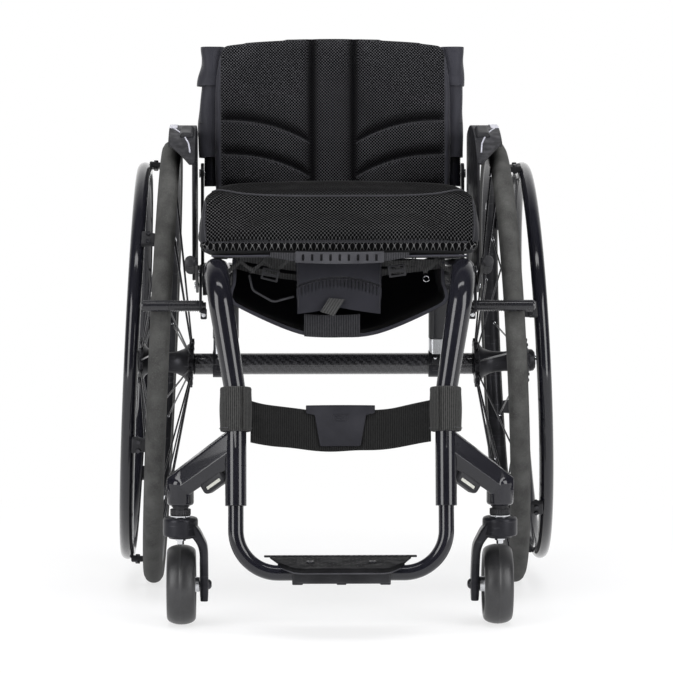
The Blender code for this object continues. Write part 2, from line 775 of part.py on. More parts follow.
def axle_plug_left():
    """The plug in the camber tube's end, bored along the cambered axle."""
    spigot = CAMBER_TUBE_BORE - GAP
    outline = [
        (0, CAMBER_TUBE_END - PLUG_LENGTH), (spigot, CAMBER_TUBE_END - PLUG_LENGTH),
        (spigot, CAMBER_TUBE_END + GAP), (CAMBER_TUBE_RADIUS, CAMBER_TUBE_END + GAP),
        (CAMBER_TUBE_RADIUS, PLUG_END), (0, PLUG_END),
    ]
    middle = Matrix.Translation(on_floor(0, 0, CAMBER_TUBE_HEIGHT)) @ Z_TO_X
    plug = turned("axle_plug_left", ANODISED, outline, 16, closed=False, matrix=middle)
    axis = wheel_axis(1)
    start = axis @ Vector((-HUB_RECESS, 0, 0))
    end = axis @ Vector((-INNER_FLANGE - AXLE_INSERTION - 0.001, 0, 0))
    bore = rod("axle_plug_bore", ANODISED, start, end, hole_radius(AXLE_RADIUS + GAP, 16))
    return pair(cut(plug, bore))


def post_section(height, width, depth):
    """A rounded rectangle round the post's middle at this height."""
    half_x, half_y = width / 2, depth / 2
    corners = [(half_x, -half_y), (half_x, half_y), (-half_x, half_y), (-half_x, -half_y)]
    points = rounded(corners, [depth * 0.3] * 4, closed=True, step=radians(45))
    return [Vector((POST_X + p.x, AXLE_Y + p.y, height)) for p in points]


def axle_posts():
    """On each side a post under the seat tube, and the height-set collar and clamp below it."""
    clamp_radius = CAMBER_TUBE_RADIUS + GAP + CLAMP_WALL
    collar_low = CAMBER_TUBE_HEIGHT + clamp_radius
    collar_high = collar_low + COLLAR_HEIGHT
    seat_z = seat_tube_height(0)
    sections = [
        post_section(collar_high + GAP, POST_WIDTH, POST_DEPTH),
        post_section(seat_z - SEAT_TUBE_RADIUS, POST_WIDTH, POST_DEPTH),
        post_section(seat_z - 0.001, POST_WIDTH, POST_SADDLE),
    ]
    post = loft("axle_post_left", GLOSS_BLACK, sections)
    outer = SEAT_TUBE_X + SEAT_TUBE_RADIUS + 0.0025
    saddle = block(
        "post_saddle", GLOSS_BLACK, (POST_X, AXLE_Y - POST_SADDLE / 2, seat_z - SEAT_TUBE_RADIUS - 0.004),
        (outer, AXLE_Y + POST_SADDLE / 2, seat_z - 0.001),
    )
    pair(cut(join(post, saddle), seat_tube_cutter("seat_tube_in_post")))
    half = POST_WIDTH / 2
    ring = rod(
        "axle_clamp_left", ANODISED, on_floor(POST_X - half, 0, CAMBER_TUBE_HEIGHT),
        on_floor(POST_X + half, 0, CAMBER_TUBE_HEIGHT), clamp_radius, 24,
    )
    stem = loft(
        "collar_stem", SILVER,
        [
            post_section(CAMBER_TUBE_HEIGHT + 0.006, POST_WIDTH, POST_DEPTH),
            post_section(collar_high, POST_WIDTH, POST_DEPTH),
        ],
    )
    bore = rod(
        "camber_tube_in_clamp", ANODISED, on_floor(POST_X - half - 0.01, 0, CAMBER_TUBE_HEIGHT),
        on_floor(POST_X + half + 0.01, 0, CAMBER_TUBE_HEIGHT),
        hole_radius(hole_radius(CAMBER_TUBE_RADIUS, 24) + GAP, 24), 24,
    )
    pair(cut(join(ring, stem), bore))


# Casters


def arm_section(middle, depth, height):
    """A six-sided section with its front crease below the middle."""
    front, back = -depth / 2, depth / 2
    corners = [
        (front + 0.004, 0.5), (back - 0.003, 0.5), (back, 0.0), (back - 0.003, -0.5),
        (front + 0.003, -0.5), (front, -0.08),
    ]
    return [middle + Vector((0, y, height * z)) for y, z in corners]


def caster_arm_left():
    """The arm from the leg down to the upright housing of the caster's stem."""
    root = on_leg(LEG_X, ARM_ROOT_HEIGHT)
    stem = on_floor(CASTER_X, STEM_AHEAD, ARM_TIP_HEIGHT)
    tip = stem + (stem - root) * 0.13
    sections = [
        arm_section(root, ARM_DEPTH, ARM_HEIGHT), arm_section(stem, ARM_DEPTH, HOUSING_HEIGHT * 0.9),
        arm_section(tip, ARM_DEPTH * 0.8, HOUSING_HEIGHT * 0.6),
    ]
    arm = loft("caster_arm_left", GLOSS_BLACK, sections)
    housing = rod(
        "stem_housing", GLOSS_BLACK, on_floor(CASTER_X, STEM_AHEAD, HOUSING_LOW),
        on_floor(CASTER_X, STEM_AHEAD, HOUSING_HIGH), HOUSING_RADIUS, 16,
    )
    middle = root.lerp(stem, 0.40) - Vector((0, 0, ARM_HEIGHT * 0.5 + 0.006))
    along = (stem - root).normalized()
    turn = along.to_track_quat("X", "Z").to_matrix().to_4x4()
    work = bmesh.new()
    size = Matrix.Diagonal((0.037, 0.020, 0.017, 1))
    bmesh.ops.create_cube(work, size=1, matrix=Matrix.Translation(middle) @ turn @ size)
    capsule = mesh_object("arm_capsule", work, MOULDED)
    ends = capsule.modifiers.new("rounded ends", "BEVEL")
    ends.width = 0.005
    ends.segments = 2
    ends.limit_method = "NONE"
    bore = rod(
        "stem_bore", ANODISED, on_floor(CASTER_X, STEM_AHEAD, HOUSING_LOW - 0.01),
        on_floor(CASTER_X, STEM_AHEAD, HOUSING_HIGH - 0.0035), hole_radius(STEM_RADIUS + GAP, 16),
    )
    inside = block(
        "inside_of_legs", GLOSS_BLACK, (0, root.y - 0.04, ARM_ROOT_HEIGHT - 0.05),
        (LEG_X, root.y + 0.04, ARM_ROOT_HEIGHT + 0.05),
    )
    return pair(cut(join(arm, housing, capsule), leg_cutter("leg_in_arm"), inside, bore))


def caster_nut_left():
    """The ribbed bearing nut between the housing and the fork."""
    outline = [
        (NUT_RADIUS - 0.0025, NUT_LOW + NUT_HEIGHT), (NUT_RADIUS - 0.0025, NUT_LOW + NUT_HEIGHT - 0.003),
        (NUT_RADIUS, NUT_LOW + NUT_HEIGHT - 0.0035), (NUT_RADIUS, NUT_LOW),
        (STEM_RADIUS + GAP, NUT_LOW), (STEM_RADIUS + GAP, NUT_LOW + NUT_HEIGHT),
    ]
    middle = Matrix.Translation(on_floor(CASTER_X, STEM_AHEAD, 0))
    return pair(turned("caster_nut_left", MOULDED, outline, 16, matrix=middle))


def fork_section(height, inner, outer, middle, half):
    """A rectangle of the fork's arm: inner and outer are distances from the stem."""
    return [
        Vector((-outer, middle - half, height)), Vector((-inner, middle - half, height)),
        Vector((-inner, middle + half, height)), Vector((-outer, middle + half, height)),
    ]


def caster_fork_left(swivel):
    """The one-sided fork: head and stem on the swivel axis, and an arm back to the axle."""
    stem_top = HOUSING_HIGH - 0.0055
    head_top = FORK_HEAD_HIGH
    ring_top = head_top + BEARING_RING_HEIGHT
    outline = [
        (0, stem_top), (STEM_RADIUS, stem_top), (STEM_RADIUS, ring_top), (NUT_RADIUS, ring_top),
        (NUT_RADIUS, head_top), (FORK_HEAD_RADIUS - 0.001, head_top),
        (FORK_HEAD_RADIUS, head_top - 0.002), (FORK_HEAD_RADIUS, FORK_HEAD_LOW), (0.009, FORK_HEAD_LOW),
        (0.009, FORK_HEAD_LOW - 0.008), (0, FORK_HEAD_LOW - 0.008),
    ]
    fork = turned("caster_fork_left", ANODISED, outline, 16, swivel, closed=False)
    inner = CASTER_WIDTH / 2 + FORK_ARM_CLEARANCE
    outer = inner + FORK_ARM_THICKNESS
    sections = [
        fork_section(head_top - 0.007, 0.008, 0.0222, 0.002, 0.0165),
        fork_section(FORK_HEAD_LOW + 0.012, 0.012, 0.0262, 0.004, 0.0165),
        fork_section(FORK_HEAD_LOW + 0.003, inner - 0.007, outer - 0.0035, 0.007, 0.0160),
        fork_section(FORK_HEAD_LOW - 0.008, inner - 0.002, outer - 0.0006, 0.011, 0.0150),
        fork_section(FORK_HEAD_LOW - 0.022, inner, outer, 0.019, 0.0140),
        fork_section(CASTER_RADIUS + 0.012, inner, outer, CASTER_TRAIL - 0.002, 0.0120),
        fork_section(CASTER_RADIUS - 0.008, inner, outer, CASTER_TRAIL, 0.0115),
        fork_section(CASTER_RADIUS - 0.0215, inner, outer, CASTER_TRAIL, 0.0065),
    ]
    arm = loft("fork_arm", ANODISED, sections, swivel)
    hole = rod(
        "fork_bolt_hole", ANODISED, (-outer - 0.01, CASTER_TRAIL, CASTER_RADIUS),
        (-inner + 0.01, CASTER_TRAIL, CASTER_RADIUS), hole_radius(CASTER_BOLT_RADIUS + GAP, 12), 12, swivel,
    )
    return cut(join(fork, arm), hole)


def caster_bolt_left(swivel):
    """The axle bolt through the fork and the wheel, with a head at each end."""
    outer = CASTER_WIDTH / 2 + FORK_ARM_CLEARANCE + FORK_ARM_THICKNESS
    hub_face = CASTER_HUB_WIDTH / 2
    outline = [
        (0, -outer - 0.0042), (0.0062, -outer - 0.0042), (0.0062, -outer - GAP),
        (CASTER_BOLT_RADIUS, -outer - GAP), (CASTER_BOLT_RADIUS, hub_face + GAP),
        (0.0070, hub_face + GAP), (0.0070, hub_face + 0.003), (0, hub_face + 0.003),
    ]
    axle = Matrix.Translation((0, CASTER_TRAIL, CASTER_RADIUS)) @ Z_TO_X
    turned("caster_bolt_left", SILVER, outline, 12, swivel, closed=False, matrix=axle)


def caster_wheel_left(axle):
    """The solid tyre and the hub with its boss towards the fork."""
    half = CASTER_WIDTH / 2
    seat = CASTER_HUB_RADIUS + GAP
    tread = [
        (seat, half * 0.85), (CASTER_RADIUS - 0.008, half),
        (CASTER_RADIUS - 0.0018, half * 0.78), (CASTER_RADIUS, half * 0.42),
    ]
    other_side = [(radius, -along) for radius, along in reversed(tread)]
    turned("caster_tyre_left", TYRE_RUBBER, tread + other_side, CASTER_SIDES, axle, matrix=Z_TO_X)
    bore = CASTER_BOLT_RADIUS + GAP
    face = CASTER_HUB_WIDTH / 2
    boss_end = -(half + FORK_ARM_CLEARANCE - GAP)
    outline = [
        (bore, boss_end), (0.0080, boss_end), (0.0110, -face), (0.0110, -0.005),
        (CASTER_HUB_RADIUS - 0.005, -0.005), (CASTER_HUB_RADIUS - 0.005, -face),
        (CASTER_HUB_RADIUS, -face), (CASTER_HUB_RADIUS, face), (CASTER_HUB_RADIUS - 0.005, face),
        (CASTER_HUB_RADIUS - 0.005, 0.005), (0.0110, 0.005), (0.0110, face), (bore, face),
    ]
    turned("caster_hub_left", SILVER, outline, CASTER_SIDES, axle, matrix=Z_TO_X)


def casters():
    left = joint_frame("caster_swivel_axis_left", Matrix.Translation(on_floor(CASTER_X, STEM_AHEAD, 0)))
    right = joint_frame("caster_swivel_axis_right", Matrix.Translation(on_floor(-CASTER_X, STEM_AHEAD, 0)))
    axle_place = Matrix.Translation((0, CASTER_TRAIL, CASTER_RADIUS))
    left_axle = joint_frame("caster_axle_axis_left", axle_place, left)
    right_axle = joint_frame("caster_axle_axis_right", axle_place, right)
    caster_fork_left(left)
    caster_bolt_left(left)
    caster_wheel_left(left_axle)
    for name in ("caster_fork", "caster_bolt"):
        mirrored(bpy.data.objects[name + "_left"], name + "_right", right)
    for name in ("caster_tyre", "caster_hub"):
        mirrored(bpy.data.objects[name + "_left"], name + "_right", right_axle)


# Seat


def seat_group():
    """Sling, cushion, grip, pouch and flap, all modelled on the sloping seat line."""
    seat = joint_frame("seat_line", SEAT)
    sling_low = SEAT_TUBE_RADIUS + GAP
    sling_high = sling_low + SLING_THICKNESS
    half = SEAT_TUBE_X + SEAT_TUBE_RADIUS * 0.4
    block(
        "seat_sling", NYLON, (-half, -SLING_FRONT, sling_low), (half, -SLING_REAR, sling_high),
        seat, bevel=0.0012,
    )
    seat_cushion(seat, sling_high + GAP)
    grip_y = -SLING_FRONT - GAP
    block(
        "cushion_grip", GREY_PLASTIC, (-GRIP_LENGTH / 2, grip_y - GRIP_THICKNESS, sling_low - 0.008),
        (GRIP_LENGTH / 2, grip_y, sling_low - 0.008 + GRIP_HEIGHT), seat, bevel=0.0015,
    )
    seat_pouch(seat, sling_low - GAP)
    pouch_flap(seat, sling_low - GAP)


def seat_cushion(seat, low):
    """A crowned block from a coarse cage, its sides drawn in between the corners."""
    half_x, half_z = CUSHION_WIDTH / 2, CUSHION_THICKNESS / 2
    front = -SLING_FRONT - 0.006
    work = bmesh.new()
    middle = Vector((0, front + CUSHION_DEPTH / 2, low + half_z))
    bmesh.ops.create_cube(work, size=2)
    cuts = {0: 5, 1: 4, 2: 2}
    for axis, count in cuts.items():
        edges = [e for e in work.edges if abs((e.verts[0].co - e.verts[1].co)[axis]) > 1.9]
        bmesh.ops.subdivide_edges(work, edges=edges, cuts=count, use_grid_fill=True)
    for vert in work.verts:
        u, v, w = vert.co
        side_pull = 1 - 0.020 * (1 - v * v) * abs(u) ** 3 - 0.035 * w * w * abs(u) ** 3
        end_pull = 1 - 0.012 * (1 - u * u) * abs(v) ** 3 - 0.030 * w * w * abs(v) ** 3
        crown = CUSHION_CROWN * (1 - u * u) * (0.4 + 0.6 * cos(pi * u)) * (1 - 0.5 * v * v)
        rise = crown if w > 0 else 0
        drop = 0.010 * max(0, abs(u) - 0.85) / 0.15 if w > 0.5 else 0
        vert.co = middle + Vector(
            (u * half_x * side_pull, v * CUSHION_DEPTH / 2 * end_pull, w * half_z + (rise - drop) * w)
        )
    cushion = mesh_object("seat_cushion", work, MESH_FABRIC, seat)
    soften = cushion.modifiers.new("soft form", "SUBSURF")
    soften.levels = 1
    soften.render_levels = 1


def pouch_outline(inset, top):
    """The hammock's cross-section, hung between the seat tubes."""
    half = SEAT_TUBE_X - SEAT_TUBE_RADIUS - 0.005
    shoulder = half + 0.0045
    corners = [
        (half - inset, top), (half - inset, -0.016), (shoulder - inset, -0.031),
        (shoulder - 0.008 - inset, -POUCH_DROP * 0.53 + inset * 0.5), (0.050, -POUCH_DROP * 0.935 + inset),
        (0.0, -POUCH_DROP + inset),
    ]
    return corners + [(-x, z) for x, z in reversed(corners[:-1])]


def seat_pouch(seat, top):
    """A hammock of cloth under the sling, open at the front."""
    length = POUCH_FRONT - POUCH_REAR
    middle = Matrix.Translation((0, -(POUCH_FRONT + POUCH_REAR) / 2, 0)) @ FRONT_VIEW
    body = plate("seat_pouch", NYLON, [pouch_outline(0, top)], length, middle, seat)
    hollow = plate(
        "pouch_hollow", NYLON, [pouch_outline(POUCH_WALL, top - POUCH_WALL)], length,
        Matrix.Translation((0, -POUCH_WALL, 0)) @ middle, seat,
    )
    cut(body, hollow)


def pouch_flap(seat, top):
    """The pocket flap that hangs in front of the pouch with a slight belly."""
    sections = []
    steps = 5
    for i in range(steps + 1):
        share = i / steps
        z = top - FLAP_HEIGHT * share
        belly = 0.004 * sin(pi * share)
        front = -POUCH_FRONT - 0.012 - belly
        narrow = FLAP_WIDTH / 2 * (1 - 0.03 * share)
        sections.append([
            (-narrow, front, z), (0, front - 0.002, z - 0.004 * share), (narrow, front, z),
            (narrow, front + FLAP_THICKNESS, z), (0, front - 0.002 + FLAP_THICKNESS, z - 0.004 * share),
            (-narrow, front + FLAP_THICKNESS, z),
        ])
    loft("pouch_flap", NYLON, sections, seat)


# Calf strap


def strap_middle(x, reach):
    """The strap's middle line, bowed back and sagging between the sleeves."""
    belly = 1 - (x / reach) ** 2
    y = on_leg(0, SLEEVE_LEVEL).y + STRAP_BOW * belly
    return Vector((x, y, STRAP_LEVEL - STRAP_SAG * belly))


def calf_strap():
    reach = LEG_X - SLEEVE_RADIUS - GAP
    steps = 14
    sections = []
    for i in range(steps + 1):
        x = reach * (2 * i / steps - 1)
        middle = strap_middle(x, reach)
        half, thick = STRAP_HEIGHT / 2, STRAP_THICKNESS / 2
        sections.append([middle + Vector((0, y, z)) for y, z in (
            (-thick, -half), (thick, -half), (thick, half), (-thick, half))])
    loft("calf_strap", ELASTIC, sections)
    buckle(reach)


def buckle(reach):
    """The T-shaped plate on the strap's front, bent to the strap's bow."""
    outer, body = BUCKLE_WIDTH / 2, BUCKLE_BODY_WIDTH / 2
    stations = [-outer, -body - 0.004, -body, -body / 2, 0, body / 2, body, body + 0.004, outer]
    top = STRAP_LEVEL - STRAP_SAG + STRAP_HEIGHT / 2 + BUCKLE_RISE
    sections = []
    for x in stations:
        low = top - (BUCKLE_HEIGHT if abs(x) <= body else BUCKLE_SHOULDER)
        front = strap_middle(x, reach).y - STRAP_THICKNESS / 2 - GAP - BUCKLE_THICKNESS
        back = front + BUCKLE_THICKNESS
        sections.append([(x, front, low), (x, back, low), (x, back, top), (x, front, top)])
    loft("calf_buckle", MOULDED, sections)


def strap_sleeve_left():
    """The sewn sleeve that holds the strap on the leg."""
    low, high = SLEEVE_LEVEL - SLEEVE_HEIGHT / 2, SLEEVE_LEVEL + SLEEVE_HEIGHT / 2
    sleeve = rod("strap_sleeve_left", ELASTIC, on_leg(LEG_X, low), on_leg(LEG_X, high), SLEEVE_RADIUS, 16)
    bore = tube("leg_in_sleeve", ELASTIC, side_tube_path(), LEG_TUBE_RADIUS + SLEEVE_SLACK, 16)
    return pair(cut(sleeve, bore))


# Backrest


def back_bracket_left():
    """The clamp on the seat tube's tail and the upright plate that carries the hinge pin."""
    inner = CANE_X + CANE_RADIUS + 0.0004
    outer = inner + BRACKET_THICKNESS
    pivot_y = AXLE_Y - BACK_PIVOT_AHEAD
    base_z = seat_tube_height(BACK_PIVOT_AHEAD)
    low = base_z - SEAT_TUBE_RADIUS - 0.004
    inner_side = SEAT_TUBE_X - SEAT_TUBE_RADIUS - 0.003
    clamp = block(
        "back_bracket_left", ANODISED, (inner_side, pivot_y - BRACKET_LENGTH / 2, low),
        (outer, pivot_y + BRACKET_LENGTH / 2, base_z + SEAT_TUBE_RADIUS - 0.005), bevel=0.002,
    )
    round_top = arc((BACK_PIVOT_AHEAD, BACK_PIVOT_HEIGHT), 0.014, 0, pi, 6)
    outline = [(BACK_PIVOT_AHEAD - 0.021, low + 0.002), (BACK_PIVOT_AHEAD + 0.021, low + 0.002)] + round_top
    frame = Matrix.Translation(((inner + outer) / 2, AXLE_Y, 0)) @ SIDE_VIEW
    upright = plate("bracket_plate", ANODISED, [outline], BRACKET_THICKNESS, frame)
    pin = rod(
        "bracket_pin", ANODISED, (CANE_X - CANE_RADIUS, pivot_y, BACK_PIVOT_HEIGHT),
        (outer - 0.001, pivot_y, BACK_PIVOT_HEIGHT), PIVOT_PIN_RADIUS, 12,
    )
    return pair(cut(join(clamp, upright, pin), seat_tube_cutter("seat_tube_in_bracket")))


def backrest():
    """Canes, bar, upholstery and pad, modelled on the hinge with z up the canes."""
    pivot = Matrix.Translation(on_floor(0, BACK_PIVOT_AHEAD, BACK_PIVOT_HEIGHT))
    hinge = joint_frame("backrest_hinge", pivot @ Matrix.Rotation(-BACK_RECLINE, 4, "X"))
    foot, top = (CANE_X, 0, -CANE_TAIL), (CANE_X, 0, CANE_TOP)
    cane = rod("back_cane_left", GLOSS_BLACK, foot, top, CANE_RADIUS, 16, hinge)
    bore = rod(
        "cane_pin_bore", GLOSS_BLACK, (CANE_X - 0.03, 0, 0), (CANE_X + 0.03, 0, 0),
        hole_radius(PIVOT_PIN_RADIUS + GAP, 12), 12, hinge,
    )
    pair(cut(cane, bore), hinge)
    reach = CANE_X - CANE_RADIUS - GAP
    rod("back_bar", ANODISED, (-reach, 0, 0.011), (reach, 0, 0.011), BACK_BAR_RADIUS, 12, hinge)
    back_upholstery(hinge)
    back_pad(hinge)


def back_upholstery(hinge):
    """A cloth panel with a sleeve round each cane, as one extruded section."""
    outer = CANE_RADIUS + SLEEVE_WALL
    panel_back = -outer + UPHOLSTERY_THICKNESS
    meet = asin((outer - UPHOLSTERY_THICKNESS) / outer)
    right_arc = arc((CANE_X, 0), outer, -pi / 2, 2 * pi - pi + meet, 12)
    left_arc = [(-x, y) for x, y in reversed(right_arc)]
    outline = right_arc + left_arc
    holes = [
        circle((side * CANE_X, 0), hole_radius(CANE_RADIUS + GAP, 12), 12) for side in (1, -1)
    ]
    height = UPHOLSTERY_HIGH - UPHOLSTERY_LOW
    middle = Matrix.Translation((0, 0, (UPHOLSTERY_HIGH + UPHOLSTERY_LOW) / 2))
    plate("back_upholstery", NYLON, [outline] + holes, height, middle, hinge)


def filled(stops, widest):
    """The stops with even steps put into every gap that is wider than this."""
    points = [stops[0]]
    for low, high in zip(stops, stops[1:]):
        steps = max(1, round((high - low) / widest))
        points += [low + (high - low) * (i + 1) / steps for i in range(steps)]
    return points


def pad_lines():
    """The pad's columns and rows, with three close ones across every sewn channel."""
    half, narrow = PAD_WIDTH / 2, CHANNEL_WIDTH / 2
    right = filled([0, CHANNEL_X - narrow, CHANNEL_X, CHANNEL_X + narrow, half], PAD_STEP)
    columns = [-x for x in reversed(right[1:])] + right
    stops = [PAD_LOW]
    for foot in CHANNEL_FEET:
        stops += [foot - narrow, foot, foot + narrow]
    return columns, filled(stops + [PAD_HIGH], PAD_STEP)


def pad_point(x, row):
    """A point of the pad's front: crowned, drawn in at the corners, and sewn in along its channels."""
    half = PAD_WIDTH / 2
    u = x / half
    v = (row - (PAD_HIGH + PAD_LOW) / 2) / ((PAD_HIGH - PAD_LOW) / 2)
    share = min(1, max(0, abs(x) - CHANNEL_X) / (half - CHANNEL_X))
    follow = min(1, (row - PAD_LOW) / 0.03, (PAD_HIGH - row) / 0.09)
    rise = CHANNEL_RISE * (1 - (1 - share) ** 2) * follow
    top_bow = PAD_TOP_BOW * u * u * max(0, v) ** 4
    front = PAD_THICKNESS * (1 - 0.35 * abs(u) ** 6) * (1 - 0.35 * abs(v) ** 8)
    in_upright = abs(abs(x) - CHANNEL_X) < MERGE
    in_curve = abs(x) > CHANNEL_X + MERGE and any(abs(row - foot) < MERGE for foot in CHANNEL_FEET)
    if in_upright or in_curve:
        front -= CHANNEL_DEPTH
    draw_in = 1 - 0.09 * (u * v) ** 6
    return Vector((x * draw_in, -front, row + rise - top_bow))


def back_pad(hinge):
    """The quilted pad on the upholstery's front."""
    back = -(CANE_RADIUS + SLEEVE_WALL + GAP)
    columns, rows = pad_lines()
    across, up = len(columns) - 1, len(rows) - 1
    work = bmesh.new()
    bmesh.ops.create_grid(work, x_segments=across, y_segments=up, size=1)
    border = [edge for edge in work.edges if edge.is_boundary]
    for vert in work.verts:
        column = columns[round((vert.co.x + 1) / 2 * across)]
        row = rows[round((vert.co.y + 1) / 2 * up)]
        vert.co = pad_point(column, row) + Vector((0, back, 0))
    skirt = bmesh.ops.extrude_edge_only(work, edges=border)
    rim = [item for item in skirt["geom"] if isinstance(item, bmesh.types.BMVert)]
    for vert in rim:
        vert.co.y = back
    bmesh.ops.holes_fill(work, edges=[edge for edge in work.edges if edge.is_boundary])
    mesh_object("back_pad", work, MESH_FABRIC, hinge)


# Side guards


def side_guard_left():
    """An upright plate with a fender that curls out over the tyre, and two fixing bosses."""
    fender_radius = TYRE_RADIUS + FENDER_CLEARANCE
    axle = (0, AXLE_HEIGHT)
    rim = arc(axle, fender_radius, pi / 2 - FENDER_END, pi / 2 - FENDER_START, 8)
    low = SEAT_TUBE_HEIGHT - 0.013
    outline = [(GUARD_REAR, low), (GUARD_FRONT, low + 0.010)] + rim
    frame = Matrix.Translation((GUARD_X, AXLE_Y, 0)) @ SIDE_VIEW
    guard = plate("side_guard_left", GLOSS_BLACK, [outline], GUARD_THICKNESS, frame)
    top_lean = (AXLE_HEIGHT + TYRE_RADIUS - AXLE_HEIGHT) * sin(CAMBER)
    reach = WHEEL_X - top_lean + FENDER_COVER - GUARD_X
    band = arc(axle, fender_radius - FENDER_THICKNESS, pi / 2 - FENDER_START, pi / 2 - FENDER_END, 8)
    fender_frame = Matrix.Translation((GUARD_X + reach / 2, AXLE_Y, 0)) @ SIDE_VIEW
    fender = plate("fender", GLOSS_BLACK, [rim + band], reach, fender_frame)
    corner = block(
        "fender_corner", GLOSS_BLACK, (-0.04, -0.04, -0.04), (0.04, 0.04, 0.04),
    )
    tip = on_floor(
        WHEEL_X - top_lean + FENDER_COVER, fender_radius * sin(FENDER_END),
        AXLE_HEIGHT + fender_radius * cos(FENDER_END),
    )
    beyond = Matrix.Translation(tip + Vector((0.022, -0.022, 0)))
    corner.matrix_local = beyond @ Matrix.Rotation(pi / 4, 4, "Z")
    join(guard, fender)
    cut(guard, corner)
    tube_side = SEAT_TUBE_X + SEAT_TUBE_RADIUS + GAP
    for number, ahead in enumerate((0.050, 0.130)):
        height = seat_tube_height(ahead)
        boss = rod(
            f"guard_boss_{number}", GLOSS_BLACK, on_floor(tube_side, ahead, height),
            on_floor(GUARD_X, ahead, height), GUARD_BOSS_RADIUS, 12,
        )
        join(guard, boss)
    return pair(guard)


# Wheel locks


def lock_places():
    """(bar, arm pivot, lever pivot) as (ahead, height), set by the tyre and the seat tube."""
    clear = hole_radius(TYRE_RADIUS, WHEEL_SIDES) + SPIN_GAP + LOCK_BAR_RADIUS
    height = seat_tube_height(TYRE_RADIUS * 0.93) - LOCK_BAR_DROP
    ahead = sqrt(clear ** 2 - (height - AXLE_HEIGHT) ** 2)
    arm = (ahead - LOCK_ARM_LEAN, height + sqrt(LOCK_ARM_LENGTH ** 2 - LOCK_ARM_LEAN ** 2))
    lever = (arm[0] - 0.019, arm[1] - 0.016)
    return (ahead, height), arm, lever


def link_outline(first, first_radius, second, second_radius):
    """A bar with round ends between two points."""
    angle = Vector((second[0] - first[0], second[1] - first[1])).angle_signed(Vector((1, 0)))
    ends = arc(first, first_radius, angle + pi / 2, angle + 3 * pi / 2, 5)
    return ends + arc(second, second_radius, angle - pi / 2, angle + pi / 2, 5)


def lock_layers():
    """The x at which the mount's plate, the arm and the lever start."""
    mount = SEAT_TUBE_X + SEAT_TUBE_RADIUS + 0.001
    arm = mount + LOCK_PLATE + GAP
    lever = arm + LOCK_ARM_THICKNESS + GAP
    return mount, arm, lever


def lock_mount_left():
    """The clamp under the seat tube with the plate and pins of the lock."""
    bar, arm, lever = lock_places()
    mount_x, arm_x, lever_x = lock_layers()
    rear, front = lever[0] - 0.012, arm[0] + 0.013
    tube_z = seat_tube_height((rear + front) / 2)
    low = min(lever[1], arm[1]) - 0.012
    clamp = block(
        "lock_mount_left", ANODISED, on_floor(SEAT_TUBE_X - 0.006, front, tube_z - SEAT_TUBE_RADIUS - 0.005),
        on_floor(mount_x + LOCK_PLATE, rear, tube_z + 0.008),
    )
    side = block(
        "lock_mount_plate", ANODISED, on_floor(mount_x, front, low),
        on_floor(mount_x + LOCK_PLATE, rear, tube_z + 0.008),
    )
    pins = []
    for number, (ahead, height, end) in enumerate((
        (arm[0], arm[1], arm_x + LOCK_ARM_THICKNESS),
        (lever[0], lever[1], lever_x + LOCK_LEVER_THICKNESS + 0.0005),
    )):
        pins.append(rod(
            f"lock_pin_{number}", ANODISED, on_floor(mount_x + 0.001, ahead, height),
            on_floor(end, ahead, height), LOCK_PIN_RADIUS, 12,
        ))
    return pair(cut(join(clamp, side, *pins), seat_tube_cutter("seat_tube_in_lock")))


def lock_arm_left(pivot):
    """The arm with the ribbed bar that presses on the tyre."""
    bar, arm, lever = lock_places()
    mount_x, arm_x, lever_x = lock_layers()
    to_pivot = pivot.matrix_world.inverted()
    frame = to_pivot @ Matrix.Translation((arm_x + LOCK_ARM_THICKNESS / 2, AXLE_Y, 0)) @ SIDE_VIEW
    outline = link_outline(arm, 0.010, bar, 0.0085)
    hole = circle(arm, hole_radius(LOCK_PIN_RADIUS + GAP, 12), 12)
    body = plate("lock_arm_left", MOULDED, [outline, hole], LOCK_ARM_THICKNESS, frame, pivot)
    tyre_x = WHEEL_X - (bar[1] - AXLE_HEIGHT) * tan(CAMBER)
    inner = to_pivot @ on_floor(arm_x - 0.010, *bar)
    outer = to_pivot @ on_floor(tyre_x + TYRE_WIDTH / 2 + LOCK_BAR_OVERHANG, *bar)
    roller = rod("lock_bar", MOULDED, inner, outer, LOCK_BAR_RADIUS, 12, pivot)
    nut_low = to_pivot @ on_floor(arm_x - 0.010, bar[0] + 0.006, bar[1] - 0.0165)
    nut_high = to_pivot @ on_floor(arm_x + LOCK_ARM_THICKNESS, bar[0] - 0.006, bar[1] - 0.004)
    nut = block("lock_bar_nut", MOULDED, nut_low, nut_high, pivot)
    return join(body, roller, nut)


def lock_lever_left(pivot):
    """The hand lever, lying forward along the seat tube when the lock is on."""
    bar, arm, lever = lock_places()
    mount_x, arm_x, lever_x = lock_layers()
    to_pivot = pivot.matrix_world.inverted()
    frame = to_pivot @ Matrix.Translation((lever_x + LOCK_LEVER_THICKNESS / 2, AXLE_Y, 0)) @ SIDE_VIEW
    tip = (lever[0] + LOCK_LEVER_REACH, lever[1] + LOCK_LEVER_RISE)
    outline = link_outline(lever, 0.0095, tip, 0.0055)
    hole = circle(lever, hole_radius(LOCK_PIN_RADIUS + GAP, 12), 12)
    body = plate("lock_lever_left", ANODISED, [outline, hole], LOCK_LEVER_THICKNESS, frame, pivot)
    along = Vector((tip[0] - lever[0], tip[1] - lever[1])).normalized()
    x = lever_x + LOCK_LEVER_THICKNESS / 2 + LOCK_GRIP_OUTSET
    start = to_pivot @ on_floor(x, tip[0] - along[0] * 0.034, tip[1] - along[1] * 0.034)
    end = to_pivot @ on_floor(x, tip[0] + along[0] * 0.006, tip[1] + along[1] * 0.006)
    grip = rod("lock_grip", MOULDED, start, end, LOCK_GRIP_RADIUS, 12, pivot)
    return join(body, grip)


